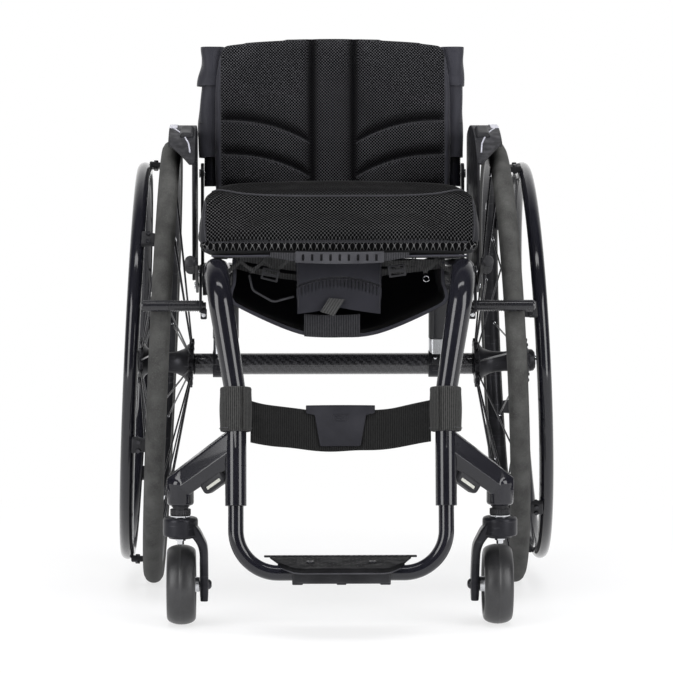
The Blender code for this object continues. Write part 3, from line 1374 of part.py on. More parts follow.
def wheel_locks():
    bar, arm, lever = lock_places()
    lock_mount_left()
    pivots = {}
    for name, (ahead, height) in {"lock_arm": arm, "lock_lever": lever}.items():
        for side, word in ((1, "left"), (-1, "right")):
            place_of_pin = Matrix.Translation(on_floor(side * SEAT_TUBE_X, ahead, height))
            pivots[name, word] = joint_frame(f"{name}_axis_{word}", place_of_pin)
    mirrored(lock_arm_left(pivots["lock_arm", "left"]), "lock_arm_right", pivots["lock_arm", "right"])
    mirrored(lock_lever_left(pivots["lock_lever", "left"]), "lock_lever_right", pivots["lock_lever", "right"])


side_tube_left()
footrest_tube()
footplate()
camber_tube()
axle_plug_left()
axle_posts()
caster_arm_left()
caster_nut_left()
casters()
drive_wheels()
seat_group()
calf_strap()
strap_sleeve_left()
back_bracket_left()
backrest()
side_guard_left()
wheel_locks()
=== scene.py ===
"""The look of a rigid wheelchair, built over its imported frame.

Metres, +Z up. The chair faces -Y and the user's left is +X. "Ahead" is a distance forward of the
drive axle.
"""

import json
from math import acos, asin, atan2, copysign, cos, pi, radians, sin, sqrt, tan

import bmesh
import bpy
from mathutils import Matrix, Vector

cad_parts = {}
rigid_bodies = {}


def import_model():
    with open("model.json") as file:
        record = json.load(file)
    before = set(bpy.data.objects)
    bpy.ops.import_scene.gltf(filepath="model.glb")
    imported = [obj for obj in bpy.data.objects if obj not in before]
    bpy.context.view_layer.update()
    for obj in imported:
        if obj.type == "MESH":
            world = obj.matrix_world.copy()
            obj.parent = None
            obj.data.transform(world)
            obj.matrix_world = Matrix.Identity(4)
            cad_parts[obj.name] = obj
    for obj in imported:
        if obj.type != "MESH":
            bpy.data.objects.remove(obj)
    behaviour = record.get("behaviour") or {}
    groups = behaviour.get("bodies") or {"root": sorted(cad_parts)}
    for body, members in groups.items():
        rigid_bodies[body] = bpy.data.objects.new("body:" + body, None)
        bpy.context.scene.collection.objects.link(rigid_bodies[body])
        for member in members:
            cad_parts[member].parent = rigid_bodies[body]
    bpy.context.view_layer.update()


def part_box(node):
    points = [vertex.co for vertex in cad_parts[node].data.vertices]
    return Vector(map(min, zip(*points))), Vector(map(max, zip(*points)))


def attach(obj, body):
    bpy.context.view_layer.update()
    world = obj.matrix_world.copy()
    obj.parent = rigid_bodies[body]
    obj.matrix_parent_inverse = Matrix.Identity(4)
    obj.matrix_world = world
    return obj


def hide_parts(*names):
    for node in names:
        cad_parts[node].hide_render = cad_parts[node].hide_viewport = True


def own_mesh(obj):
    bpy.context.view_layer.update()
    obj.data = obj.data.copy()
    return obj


for leftover in list(bpy.data.objects):
    bpy.data.objects.remove(leftover)

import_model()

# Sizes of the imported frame
AXLE_Y = 0.117
AXLE_HEIGHT = 0.295695
CAMBER = radians(2.6)
WHEEL_X = 0.2284
TYRE_RADIUS = 0.296
TYRE_WIDTH = 0.026
RIM_RADIUS = 0.2715
RIM_WIDTH = 0.0205
RIM_DEPTH = 0.011
HAND_RIM_RADIUS = 0.2565
HAND_RIM_TUBE = 0.0186
HAND_RIM_OFFSET = 0.0355
TAB_ANGLE = radians(41)
INNER_FLANGE = 0.0405
OUTER_FLANGE = 0.031
FLANGE_RADIUS = 0.033
HUB_RECESS = 0.029
HUB_OUTER_END = 0.04
HUB_RADIUS = 0.0145

SEAT_TUBE_X = 0.153
SEAT_TUBE_HEIGHT = 0.418
SEAT_SLOPE = radians(3.6)
SEAT_TUBE_RADIUS = 0.015
KNEE_AHEAD = 0.424
KNEE_RADIUS = 0.055
LEAN_RADIUS = 0.12
LEG_X = 0.1285
LEG_TUBE_RADIUS = 0.0131
LEG_LEAN_HEIGHT = 0.292
LEG_END_HEIGHT = 0.159
FRONT_TILT = radians(9.7)
FOOT_TUBE_RADIUS = 0.0095
FOOT_TUBE_HEIGHT = 0.0785
FOOT_BEND_RADIUS = 0.052
CAMBER_TUBE_RADIUS = 0.0143
CAMBER_TUBE_HEIGHT = 0.292822
CAMBER_TUBE_END = 0.185617
PLUG_END = 0.188117
POST_X = SEAT_TUBE_X - 0.0085
POST_WIDTH = 0.035
POST_DEPTH = 0.025
GUARD_X = 0.1846

CASTER_X = 0.197
STEM_AHEAD = 0.425
CASTER_TRAIL = 0.042
CASTER_RADIUS = 0.05
CASTER_WIDTH = 0.036
FORK_HEAD_LOW = 0.1135
FORK_HEAD_HIGH = 0.14
NUT_LOW = 0.1427
HOUSING_LOW = 0.1546
HOUSING_HIGH = 0.1886
ARM_ROOT_HEIGHT = 0.23

FOOTPLATE_REACH = 0.53
FOOTPLATE_DEPTH = 0.095
FOOTPLATE_LOW = 0.0883
SLEEVE_LEVEL = 0.2755
SLEEVE_HEIGHT = 0.054
SLEEVE_RADIUS = 0.02
STRAP_LEVEL = 0.261
STRAP_HEIGHT = 0.051
STRAP_BOW = 0.027
STRAP_SAG = 0.0155
FLAP_TOP = 0.015

BACK_PIVOT_AHEAD = -0.085
BACK_PIVOT_HEIGHT = 0.545
BACK_RECLINE = radians(5)
CANE_X = 0.163
CANE_RADIUS = 0.0111
CANE_TOP = 0.165

FRONT_VIEW = Matrix(((1, 0, 0, 0), (0, 0, -1, 0), (0, 1, 0, 0), (0, 0, 0, 1)))
SIDE_VIEW = Matrix(((0, 0, -1, 0), (-1, 0, 0, 0), (0, 1, 0, 0), (0, 0, 0, 1)))
Z_TO_X = Matrix.Rotation(pi / 2, 4, "Y")
MIRROR_X = Matrix.Scale(-1, 4, (1, 0, 0))


def on_floor(x, ahead, height):
    """A point by its side distance, its distance ahead of the axle and its height."""
    return Vector((x, AXLE_Y - ahead, height))


SEAT = Matrix.Translation(on_floor(0, 0, SEAT_TUBE_HEIGHT)) @ Matrix.Rotation(-SEAT_SLOPE, 4, "X")
HINGE = (
    Matrix.Translation(on_floor(0, BACK_PIVOT_AHEAD, BACK_PIVOT_HEIGHT))
    @ Matrix.Rotation(-BACK_RECLINE, 4, "X")
)


def on_seat(x, ahead, above):
    return SEAT @ Vector((x, -ahead, above))


KNEE = on_seat(0, KNEE_AHEAD, 0)
LEG = Matrix.Translation(KNEE) @ Matrix.Rotation(-FRONT_TILT, 4, "X")


def on_leg(x, height):
    return LEG @ Vector((x, 0, (height - KNEE.z) / cos(FRONT_TILT)))


def seat_tube_height(ahead):
    return SEAT_TUBE_HEIGHT + ahead * tan(SEAT_SLOPE)


def wheel_axis(side):
    """The hub's frame: +X points outward along the cambered axle."""
    turn = 0 if side > 0 else pi
    middle = Matrix.Translation(on_floor(side * WHEEL_X, 0, AXLE_HEIGHT))
    return middle @ Matrix.Rotation(turn, 4, "Z") @ Matrix.Rotation(-CAMBER, 4, "Y")


LEFT_WHEEL = wheel_axis(1)
TURN_TO_RIGHT = wheel_axis(-1) @ LEFT_WHEEL.inverted()


# Camera

PHOTO_SIZE = 673
AXLE_IN_PHOTO = (333.7, 361.5)
FOCAL_PIXELS = 3815
SENSOR = 36
CAMERA_DISTANCE = 5.1
CAMERA_HEIGHT = 0.73
CAMERA_PITCH = radians(4.5)
CAMERA_TURN = radians(-1.1)


def photo_camera():
    """The photograph's view: a long lens in front of the chair, a little above it."""
    ahead = CAMERA_DISTANCE * cos(CAMERA_TURN)
    camera = bpy.data.objects.new("camera", bpy.data.cameras.new("camera"))
    bpy.context.scene.collection.objects.link(camera)
    camera.location = on_floor(CAMERA_DISTANCE * sin(CAMERA_TURN), ahead, CAMERA_HEIGHT)
    camera.rotation_euler = (pi / 2 - CAMERA_PITCH, 0, CAMERA_TURN)
    camera.data.sensor_width = SENSOR
    camera.data.lens = FOCAL_PIXELS / PHOTO_SIZE * SENSOR
    camera.data.clip_end = 100
    bpy.context.scene.camera = camera
    bpy.context.view_layer.update()
    seen = camera.matrix_world.inverted() @ on_floor(0, 0, AXLE_HEIGHT)
    x, y = -seen.x / seen.z * FOCAL_PIXELS, -seen.y / seen.z * FOCAL_PIXELS
    camera.data.shift_x = (x - (AXLE_IN_PHOTO[0] - PHOTO_SIZE / 2)) / PHOTO_SIZE
    camera.data.shift_y = (y - (PHOTO_SIZE / 2 - AXLE_IN_PHOTO[1])) / PHOTO_SIZE


photo_camera()


# Modelling by hand


def clear():
    """Nothing selected."""
    if bpy.context.object and bpy.context.object.mode != "OBJECT":
        bpy.ops.object.mode_set(mode="OBJECT")
    bpy.ops.object.select_all(action="DESELECT")


def work_on(obj):
    clear()
    obj.select_set(True)
    bpy.context.view_layer.objects.active = obj


def edit(obj):
    work_on(obj)
    bpy.ops.object.mode_set(mode="EDIT")


def close():
    bpy.ops.object.mode_set(mode="OBJECT")


def added(name):
    """The primitive that was just added, under its own name."""
    obj = bpy.context.object
    obj.name = name
    obj.data.name = name
    return obj


def select(kind, test):
    """Selects the points or faces that pass the test on their middle and their normal."""
    bpy.ops.mesh.select_mode(type=kind)
    bpy.ops.mesh.select_all(action="DESELECT")
    shape = bmesh.from_edit_mesh(bpy.context.edit_object.data)
    if kind == "VERT":
        found = [v for v in shape.verts if test(v.co, v.normal)]
    else:
        found = [f for f in shape.faces if test(f.calc_center_median(), f.normal)]
    for part in found:
        part.select_set(True)
    shape.select_flush_mode()
    bmesh.update_edit_mesh(bpy.context.edit_object.data)


def face_outward():
    bpy.ops.mesh.select_all(action="SELECT")
    bpy.ops.mesh.normals_make_consistent(inside=False)


def tidy_mesh():
    """Merges doubles in the open mesh and turns its faces outward."""
    bpy.ops.mesh.select_mode(type="VERT")
    bpy.ops.mesh.select_all(action="SELECT")
    bpy.ops.mesh.remove_doubles(threshold=0.00001)
    face_outward()


def put(obj, matrix):
    """Moves the shape itself, so that its object stays at the origin."""
    if matrix is not None:
        obj.data.transform(matrix)
        if matrix.determinant() < 0:
            obj.data.flip_normals()
    return obj


def turn_to(direction):
    """The turn that stands a shape's z along the direction."""
    return Vector(direction).to_track_quat("Z", "Y").to_matrix().to_4x4()


def applied(obj):
    work_on(obj)
    for modifier in list(obj.modifiers):
        bpy.ops.object.modifier_apply(modifier=modifier.name)
    return obj


def bevel(obj, width, segments=2, angle=radians(32)):
    """Rounds the edges that are sharper than the angle."""
    edges = obj.modifiers.new("rounded edges", "BEVEL")
    edges.width = width
    edges.segments = segments
    edges.limit_method = "ANGLE"
    edges.angle_limit = angle
    return applied(obj)


def smooth(obj, levels):
    form = obj.modifiers.new("smooth form", "SUBSURF")
    form.levels = levels
    form.render_levels = levels
    return applied(obj)


def drawn(name, points, closed=False):
    """A line drawn from point to point, starting from one corner of a plane."""
    clear()
    bpy.ops.mesh.primitive_plane_add(size=0.001)
    obj = added(name)
    edit(obj)
    bpy.ops.mesh.select_mode(type="VERT")
    bpy.ops.mesh.select_all(action="SELECT")
    bpy.ops.mesh.merge(type="CENTER")
    points = [Vector(point).to_3d() for point in points]
    bpy.ops.transform.translate(value=points[0])
    for here, there in zip(points, points[1:] + points[:1] * closed):
        bpy.ops.mesh.extrude_region_move(TRANSFORM_OT_translate={"value": there - here})
    return obj


def turned(name, outline, sides=64, matrix=None, closed=True):
    """A turned piece: (radius, along) points, drawn and spun about the axis."""
    obj = drawn(name, [(radius, 0, along) for radius, along in outline], closed)
    bpy.ops.mesh.select_all(action="SELECT")
    bpy.ops.mesh.spin(steps=sides, angle=2 * pi, center=(0, 0, 0), axis=(0, 0, 1))
    tidy_mesh()
    close()
    return put(obj, matrix)


def rod(name, start, end, radius, sides=24, edge=0.0):
    """A round bar between two points."""
    start, end = Vector(start), Vector(end)
    clear()
    bpy.ops.mesh.primitive_cylinder_add(vertices=sides, radius=radius, depth=(end - start).length)
    obj = added(name)
    if edge:
        bevel(obj, edge, 2, radians(50))
    return put(obj, Matrix.Translation((start + end) / 2) @ turn_to(end - start))


def block(name, low, high, edge=0.0, segments=2, matrix=None):
    """A box between two corners with its edges rounded."""
    low, high = Vector(low), Vector(high)
    clear()
    bpy.ops.mesh.primitive_cube_add(size=1, location=(0, 0, 0))
    obj = added(name)
    edit(obj)
    bpy.ops.transform.resize(value=high - low, center_override=(0, 0, 0))
    bpy.ops.transform.translate(value=(low + high) / 2)
    if edge:
        bpy.ops.mesh.bevel(offset=edge, segments=segments, affect="EDGES")
    close()
    return put(obj, matrix)


def plate(name, outline, thickness, matrix=None, edge=0.0, segments=2):
    """A flat plate: its edge is drawn, filled, extruded to its thickness and rounded."""
    obj = drawn(name, [(x, y, -thickness / 2) for x, y in outline], True)
    tidy_mesh()
    bpy.ops.mesh.edge_face_add()
    bpy.ops.mesh.extrude_region_move(TRANSFORM_OT_translate={"value": (0, 0, thickness)})
    face_outward()
    close()
    if edge:
        bevel(obj, edge, segments, radians(50))
    return put(obj, matrix)


def arc(centre, radius, start, end, steps):
    angles = [start + (end - start) * i / steps for i in range(steps + 1)]
    return [(centre[0] + radius * cos(a), centre[1] + radius * sin(a)) for a in angles]


def corner_arc(corners, radii, i):
    """(start, centre, axis, turn) of the bend at one corner."""
    corner = corners[i]
    before = (corners[i - 1] - corner).normalized()
    after = (corners[(i + 1) % len(corners)] - corner).normalized()
    opening = before.angle(after)
    start = corner + before * radii[i] / tan(opening / 2)
    centre = corner + (before + after).normalized() * radii[i] / sin(opening / 2)
    return start, centre, after.cross(before).normalized(), pi - opening


def rounded(corners, radii, closed=False, step=radians(10)):
    """The corner points with an arc at each one."""
    corners = [Vector(corner).to_3d() for corner in corners]
    points = []
    for i, corner in enumerate(corners):
        if not radii[i] or (not closed and i in (0, len(corners) - 1)):
            points.append(corner)
            continue
        start, centre, axis, turn = corner_arc(corners, radii, i)
        steps = max(2, round(turn / step))
        for k in range(steps + 1):
            points.append(centre + Matrix.Rotation(turn * k / steps, 3, axis) @ (start - centre))
    return points


def bent_tube(name, corners, bends, radius, sides=32, end_radius=None, taper=0, step=radians(4), bore=0.0):
    """A tube bent by hand: a ring is extruded along each straight and spun round each bend.

    The straight with the taper's number is drawn in to the end radius.
    """
    corners = [Vector(corner) for corner in corners]
    clear()
    turn = turn_to(corners[1] - corners[0]).to_euler()
    bpy.ops.mesh.primitive_circle_add(vertices=sides, radius=radius, location=corners[0], rotation=turn)
    obj = added(name)
    put(obj, obj.matrix_world.copy())
    obj.matrix_world = Matrix()
    edit(obj)
    here = corners[0]
    for i in range(1, len(corners)):
        last = i == len(corners) - 1
        if last:
            stop = corners[i]
        else:
            stop, centre, axis, angle = corner_arc(corners, bends, i)
        steps = 8 if i == taper else 1
        for k in range(steps):
            bpy.ops.mesh.extrude_region_move(TRANSFORM_OT_translate={"value": (stop - here) / steps})
            if i == taper:
                at = here + (stop - here) * (k + 1) / steps
                share = (end_radius / radius) ** (1 / steps)
                bpy.ops.transform.resize(value=(share,) * 3, center_override=at)
        here = stop
        if not last:
            count = max(3, round(angle / step))
            bpy.ops.mesh.spin(steps=count, angle=angle, center=centre, axis=-axis)
            here = centre + Matrix.Rotation(angle, 3, axis) @ (stop - centre)
    close_end(bore, corners[-2] - corners[-1])
    select("VERT", lambda co, normal: (co - corners[0]).length < radius * 1.05)
    close_end(bore, corners[1] - corners[0])
    face_outward()
    close()
    return bevel(obj, 0.0006, 2, radians(60))


def close_end(wall, inward):
    """Fills the selected ring, and sinks a bore in it where a wall is given."""
    bpy.ops.mesh.edge_face_add()
    if wall:
        bpy.ops.mesh.inset(thickness=wall)
        bpy.ops.mesh.extrude_region_move(TRANSFORM_OT_translate={"value": inward.normalized() * 0.012})


def cut(obj, *cutters):
    """Cuts the other shapes out of the piece and takes them away."""
    return combined(obj, cutters, "DIFFERENCE")


def join(obj, *others):
    return combined(obj, others, "UNION")


def combined(obj, others, operation):
    for other in others:
        boolean = obj.modifiers.new(other.name, "BOOLEAN")
        boolean.operation = operation
        boolean.object = other
        boolean.solver = "EXACT"
        applied(obj)
        bpy.data.objects.remove(other)
    return obj


def together(name, *objs):
    """Several loose shapes made one piece."""
    work_on(objs[0])
    for obj in objs:
        obj.select_set(True)
    if len(objs) > 1:
        bpy.ops.object.join()
    return added(name)


def copied(obj, name, matrix=None):
    """A copy with its own mesh."""
    other = obj.copy()
    other.data = obj.data.copy()
    other.name = other.data.name = name
    bpy.context.scene.collection.objects.link(other)
    return put(other, matrix)


def ring_of(name, obj, count, axis_turn):
    """The shape and its copies, each turned on from the last, made one piece."""
    copies = [copied(obj, f"{name}_{i}", axis_turn(i)) for i in range(1, count)]
    return together(name, obj, *copies)


def cloth_panel(name, flat, steps, place, thickness, offset=0.0):
    """A cloth in squares, laid out point by point and given its thickness. Its map is the flat cut."""
    clear()
    bpy.ops.mesh.primitive_grid_add(x_subdivisions=steps[0], y_subdivisions=steps[1], size=2)
    obj = added(name)
    for corner in obj.data.uv_layers[0].data:
        corner.uv = (corner.uv.x * flat[0], corner.uv.y * flat[1])
    for vertex in obj.data.vertices:
        vertex.co = place(vertex.co.x, vertex.co.y)
    wall = obj.modifiers.new("thickness", "SOLIDIFY")
    wall.thickness = thickness
    wall.offset = offset
    applied(obj)
    edit(obj)
    face_outward()
    close()
    return obj


def cording(name, points, radius, sides=6):
    """A thin round cord through the points, made a mesh."""
    clear()
    curve = bpy.data.curves.new(name, "CURVE")
    curve.dimensions = "3D"
    curve.bevel_depth = radius
    curve.bevel_resolution = max(1, sides // 2 - 1)
    curve.use_fill_caps = True
    line = curve.splines.new("POLY")
    line.points.add(len(points) - 1)
    for spot, point in zip(line.points, points):
        spot.co = (*point, 1)
    obj = bpy.data.objects.new(name, curve)
    bpy.context.scene.collection.objects.link(obj)
    work_on(obj)
    bpy.ops.object.convert(target="MESH")
    return added(name)


def keep(obj, material, body, nodes=(), angle=35):
    """Gives the piece its finish and its shading, seats it on its body and hides the imported parts that it
    stands for.
    """
    obj.data.materials.clear()
    obj.data.materials.append(material)
    work_on(obj)
    bpy.ops.object.shade_smooth_by_angle(angle=radians(angle))
    if angle < 50:
        even = obj.modifiers.new("even shading", "WEIGHTED_NORMAL")
        even.keep_sharp = True
        applied(obj)
    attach(obj, body)
    if nodes:
        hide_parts(*nodes)
    return obj


def keep_both(obj, material, body, nodes=(), angle=35, matrix=MIRROR_X):
    """Keeps a left-hand piece and its copy on the right."""
    other = copied(obj, obj.name.replace("left", "right"), matrix)
    right_body = body.replace("left", "right")
    right_nodes = [node.replace("left", "right") for node in nodes]
    keep(other, material, right_body, right_nodes, angle)
    return keep(obj, material, body, nodes, angle)


# Finishes

CROSS_THREAD = 0.0009


def shader_node(tree, kind, inputs, **settings):
    """A node with its settings and its inputs, each a number or another node's output."""
    made = tree.nodes.new("ShaderNode" + kind)
    for setting, value in settings.items():
        setattr(made, setting, value)
    for socket, value in inputs.items():
        if isinstance(value, bpy.types.NodeSocket):
            tree.links.new(value, made.inputs[socket])
        else:
            made.inputs[socket].default_value = value
    return made


class Finish:
    """A material with a Principled shader and the nodes that feed it."""

    def __init__(self, name, colour, roughness, metallic=0.0, **sockets):
        self.material = bpy.data.materials.new(name)
        self.material.use_nodes = True
        self.tree = self.material.node_tree
        self.shader = self.tree.nodes["Principled BSDF"]
        self.shader.inputs["Base Color"].default_value = (*colour, 1)
        self.shader.inputs["Roughness"].default_value = roughness
        self.shader.inputs["Metallic"].default_value = metallic
        for socket, value in sockets.items():
            self.shader.inputs[socket.replace("_", " ")].default_value = value

    def node(self, kind, inputs, **settings):
        return shader_node(self.tree, kind, inputs, **settings)

    def place(self, scale=(1, 1, 1)):
        """The point on the piece, scaled."""
        coords = self.node("TexCoord", {}).outputs["Object"]
        return self.node("Mapping", {"Vector": coords, "Scale": scale}).outputs[0]

    def own_map(self):
        """The two directions of the piece's own map, in metres."""
        coords = self.node("TexCoord", {}).outputs["UV"]
        parts = self.node("SeparateXYZ", {0: coords}).outputs
        return parts[0], parts[1]

    def math(self, operation, a, b=0.0):
        return self.node("Math", {0: a, 1: b}, operation=operation).outputs[0]

    def times(self, a, b):
        return self.math("MULTIPLY", a, b)

    def size(self, value):
        return self.math("ABSOLUTE", value)

    def noise(self, where, scale, detail=3.0, roughness=0.5):
        inputs = {"Vector": where, "Scale": scale, "Detail": detail, "Roughness": roughness}
        return self.node("TexNoise", inputs).outputs["Fac"]

    def spread(self, value, low, high, to_low=0.0, to_high=1.0):
        inputs = {"Value": value, 1: low, 2: high, 3: to_low, 4: to_high}
        return self.node("MapRange", inputs, clamp=True).outputs[0]

    def mix(self, share, *colours):
        """The first colour into the second by the share."""
        first, second = [(*c, 1) if isinstance(c, tuple) else c for c in colours]
        return self.node("Mix", {0: share, 6: first, 7: second}, data_type="RGBA").outputs[2]

    def cloud(self, scale, low=0.35, high=0.7, *shares):
        """Soft patches over the piece, from 0 to 1 or between the shares."""
        return self.spread(self.noise(self.place(), scale, 4), low, high, *shares)

    def colour(self, value):
        self.tree.links.new(value, self.shader.inputs["Base Color"])

    def rough(self, value):
        self.tree.links.new(value, self.shader.inputs["Roughness"])

    def bump(self, height, strength, distance):
        """Raises the surface by the height, in metres, over what was raised before."""
        inputs = {"Height": height, "Strength": strength, "Distance": distance}
        before = self.shader.inputs["Normal"].links
        if before:
            inputs["Normal"] = before[0].from_socket
        made = self.node("Bump", inputs)
        self.tree.links.new(made.outputs[0], self.shader.inputs["Normal"])

    def wave(self, along, pitch):
        """A cosine from -1 to 1 with this pitch in metres."""
        return self.math("COSINE", self.times(along, 2 * pi / pitch))

    def edge_wear(self, share=0.5):
        """Where the piece is worn on its raised edges, from 0 to 1."""
        point = self.node("NewGeometry", {}).outputs["Pointiness"]
        edge = self.spread(point, 0.57, 0.66)
        return self.times(self.times(edge, self.cloud(90, 0.45, 0.65)), share)


def paint(name, colour, pale, roughness=0.4):
    """Gloss paint: a faint orange peel, dust in its roughness and rubbed edges."""
    coat = {"Coat_Weight": 1.0, "Coat_Roughness": 0.1}
    finish = Finish(name, colour, roughness, 0.0, Specular_IOR_Level=0.06, **coat)
    where = finish.place()
    base = finish.mix(finish.cloud(14), colour, pale)
    finish.colour(finish.mix(finish.edge_wear(0.2), base, (0.05, 0.05, 0.055)))
    dust = finish.noise(where, 260, 5, 0.6)
    finish.rough(finish.spread(dust, 0.35, 0.75, roughness * 0.75, roughness * 1.5))
    finish.bump(finish.noise(where, 500, 2), 0.04, 0.00004)
    return finish.material


def anodised(name, colour, pale, roughness, metallic=0.65):
    """Blasted and anodised metal: a fine even grain with scuffs and pale worn edges."""
    finish = Finish(name, colour, roughness, metallic, Specular_IOR_Level=0.28)
    scuff = finish.spread(finish.noise(finish.place((60, 60, 400)), 1.0, 3), 0.62, 0.75, 0, 0.4)
    base = finish.mix(scuff, finish.mix(finish.cloud(30), colour, pale), (0.09, 0.09, 0.1))
    finish.colour(finish.mix(finish.edge_wear(0.6), base, (0.2, 0.2, 0.21)))
    grain = finish.noise(finish.place(), 2600, 2)
    finish.rough(finish.spread(grain, 0.3, 0.7, roughness * 0.8, roughness * 1.25))
    finish.bump(grain, 0.18, 0.00004)
    return finish.material


def steel(name, colour, roughness):
    """Bright metal, brushed one way, with a few darker stains."""
    finish = Finish(name, colour, roughness, 1.0)
    lines = finish.noise(finish.place((90, 90, 1080)), 6, 4, 0.65)
    stain = finish.cloud(120, 0.55, 0.8, 0, 0.4)
    finish.colour(finish.mix(stain, colour, tuple(c * 0.55 for c in colour)))
    finish.rough(finish.spread(lines, 0.3, 0.7, roughness * 0.7, roughness * 1.4))
    finish.bump(lines, 0.12, 0.00003)
    return finish.material


def moulded(name, colour, pale, roughness, grain=1500):
    """Moulded plastic: a leathery spark grain, handling shine and pale rubbed edges."""
    finish = Finish(name, colour, roughness, 0.0, Specular_IOR_Level=0.22)
    where = finish.place()
    pits = finish.node("TexVoronoi", {"Vector": where, "Scale": grain}).outputs["Distance"]
    base = finish.mix(finish.cloud(40), colour, pale)
    rubbed = tuple(min(1, c * 2.2 + 0.02) for c in pale)
    finish.colour(finish.mix(finish.edge_wear(0.5), base, rubbed))
    shine = finish.noise(where, 55, 3)
    finish.rough(finish.spread(shine, 0.3, 0.7, roughness * 0.8, min(1, roughness * 1.2)))
    finish.bump(pits, 0.25, 0.00008)
    return finish.material


def rubber(name, colour, worn, rough=0.74, gloss=0.15):
    """Tyre rubber: dusty and paler where it rolls, with fine turned lines and a matt grain."""
    finish = Finish(name, colour, rough, 0.0, Specular_IOR_Level=gloss)
    where = finish.place()
    dust = finish.spread(finish.noise(where, 35, 5, 0.6), 0.35, 0.75)
    specks = finish.spread(finish.noise(where, 900, 3), 0.5, 0.8, 0, 0.5)
    base = finish.mix(dust, colour, worn)
    finish.colour(finish.mix(specks, base, tuple(c * 1.5 for c in worn)))
    finish.rough(finish.spread(dust, 0, 1, rough * 0.84, rough * 1.15))
    finish.bump(finish.noise(where, 1400, 3), 0.35, 0.00012)
    finish.bump(finish.noise(where, 60, 2), 0.25, 0.0006)
    return finish.material


def carbon(name):
    """Carbon twill under clear lacquer: tows two over, two under, with the light that each catches painted
    into its colour.
    """
    finish = Finish(name, (0.016, 0.016, 0.018), 0.32, 0.25, Coat_Weight=0.9, Coat_Roughness=0.05)
    u, v = finish.own_map()
    tow = 0.0026
    across = finish.math("FLOOR", finish.math("DIVIDE", u, tow))
    along = finish.math("FLOOR", finish.math("DIVIDE", v, tow))
    step = finish.math("FLOORED_MODULO", finish.math("ADD", across, along), 4)
    over = finish.math("LESS_THAN", step, 1.5)
    fibres_u, fibres_v = [finish.size(finish.math("SINE", finish.times(d, pi / tow))) for d in (u, v)]
    crown = finish.node("Mix", {0: over, 2: fibres_v, 3: fibres_u}, data_type="FLOAT").outputs[0]
    # Painted sheen: the over tows are paler than the under tows, and the fibre crowns paler still, standing
    # for the light each tow catches.
    painted_tow_sheen = finish.mix(over, (0.01, 0.01, 0.012), (0.034, 0.034, 0.038))
    finish.colour(finish.mix(finish.times(crown, 0.5), painted_tow_sheen, (0.045, 0.045, 0.05)))
    finish.rough(finish.spread(over, 0, 1, 0.26, 0.42))
    finish.bump(crown, 0.25, 0.00012)
    return finish.material


def fabric(name, colour, roughness, sheen, sheen_roughness, gloss):
    fuzz = {"Sheen_Weight": sheen, "Sheen_Roughness": sheen_roughness}
    return Finish(name, colour, roughness, 0.0, Specular_IOR_Level=gloss, **fuzz)


def weave(name, colour, thread, pitch, roughness=0.85, crease=0.0):
    """Plain-woven cloth on the piece's own map, in metres, with soft creases."""
    finish = fabric(name, colour, roughness, 0.08, 0.5, 0.12)
    warp, weft = [finish.wave(direction, pitch * 2) for direction in finish.own_map()]
    threads = finish.math("ADD", finish.size(warp), finish.size(weft))
    cloud = finish.cloud(18, 0.3, 0.75)
    both = finish.math("ADD", finish.times(warp, weft), finish.times(threads, 0.25))
    raised = finish.spread(both, -0.8, 1.2)
    base = finish.mix(raised, colour, thread)
    finish.colour(finish.mix(finish.times(cloud, 0.35), base, tuple(c * 1.7 for c in thread)))
    finish.rough(finish.spread(cloud, 0, 1, roughness * 0.85, roughness))
    finish.bump(raised, 0.5, pitch * 0.25)
    if crease:
        finish.bump(finish.noise(finish.place((1, 1, 0.6)), 26, 4, 0.6), 0.5, crease)
    return finish.material


def spacer_mesh(name, colour, thread, pitch, crease=False):
    """Open spacer mesh: a zigzag knit with a diamond hole in each cell, over dark foam."""
    finish = fabric(name, colour, 0.8, 0.03, 0.45, 0.04)
    u, v = finish.own_map()
    rising = finish.size(finish.wave(finish.math("ADD", u, v), pitch * 2))
    falling = finish.size(finish.wave(finish.math("SUBTRACT", u, v), pitch * 2))
    net = finish.spread(finish.times(rising, falling), 0.02, 0.24, 1.0, 0.0)
    strands = finish.times(finish.wave(u, pitch / 4), finish.wave(v, pitch / 3))
    knit = finish.spread(strands, -1, 1, 0.65, 1.0)
    share = finish.times(finish.times(net, knit), finish.cloud(11, 0.3, 0.75, 0.75, 1.15))
    # Painted shade: the piece's crease attribute darkens the threads where shade falls, in the pad's sewn
    # channels and on the cushion's top.
    if crease:
        painted_shade = finish.node("Attribute", {}, attribute_name="crease").outputs["Fac"]
        share = finish.times(share, finish.spread(painted_shade, 0.1, 0.9, 1.0, 0.12))
    finish.colour(finish.mix(share, colour, thread))
    finish.rough(finish.spread(net, 0, 1, 0.95, 0.8))
    finish.bump(net, 0.7, pitch * 0.3)
    return finish.material


def ribbed(name, colour, thread, pitch):
    """Ribbed elastic or webbing: raised ribs with fine cross threads, on the piece's own map."""
    finish = fabric(name, colour, 0.9, 0.06, 0.5, 0.1)
    u, v = finish.own_map()
    ribs = finish.spread(finish.wave(u, pitch), -0.9, 0.9)
    slant = finish.math("ADD", v, finish.times(u, 0.3))
    threads = finish.spread(finish.wave(slant, CROSS_THREAD), -1, 1)
    fuzz = finish.spread(finish.noise(finish.place(), 420, 4, 0.7), 0.3, 0.75)
    raised = finish.times(ribs, finish.spread(threads, 0, 1, 0.6, 1))
    base = finish.mix(raised, colour, thread)
    finish.colour(finish.mix(finish.times(fuzz, 0.3), base, tuple(c * 1.8 for c in thread)))
    finish.bump(raised, 0.6, 0.0004)
    return finish.material


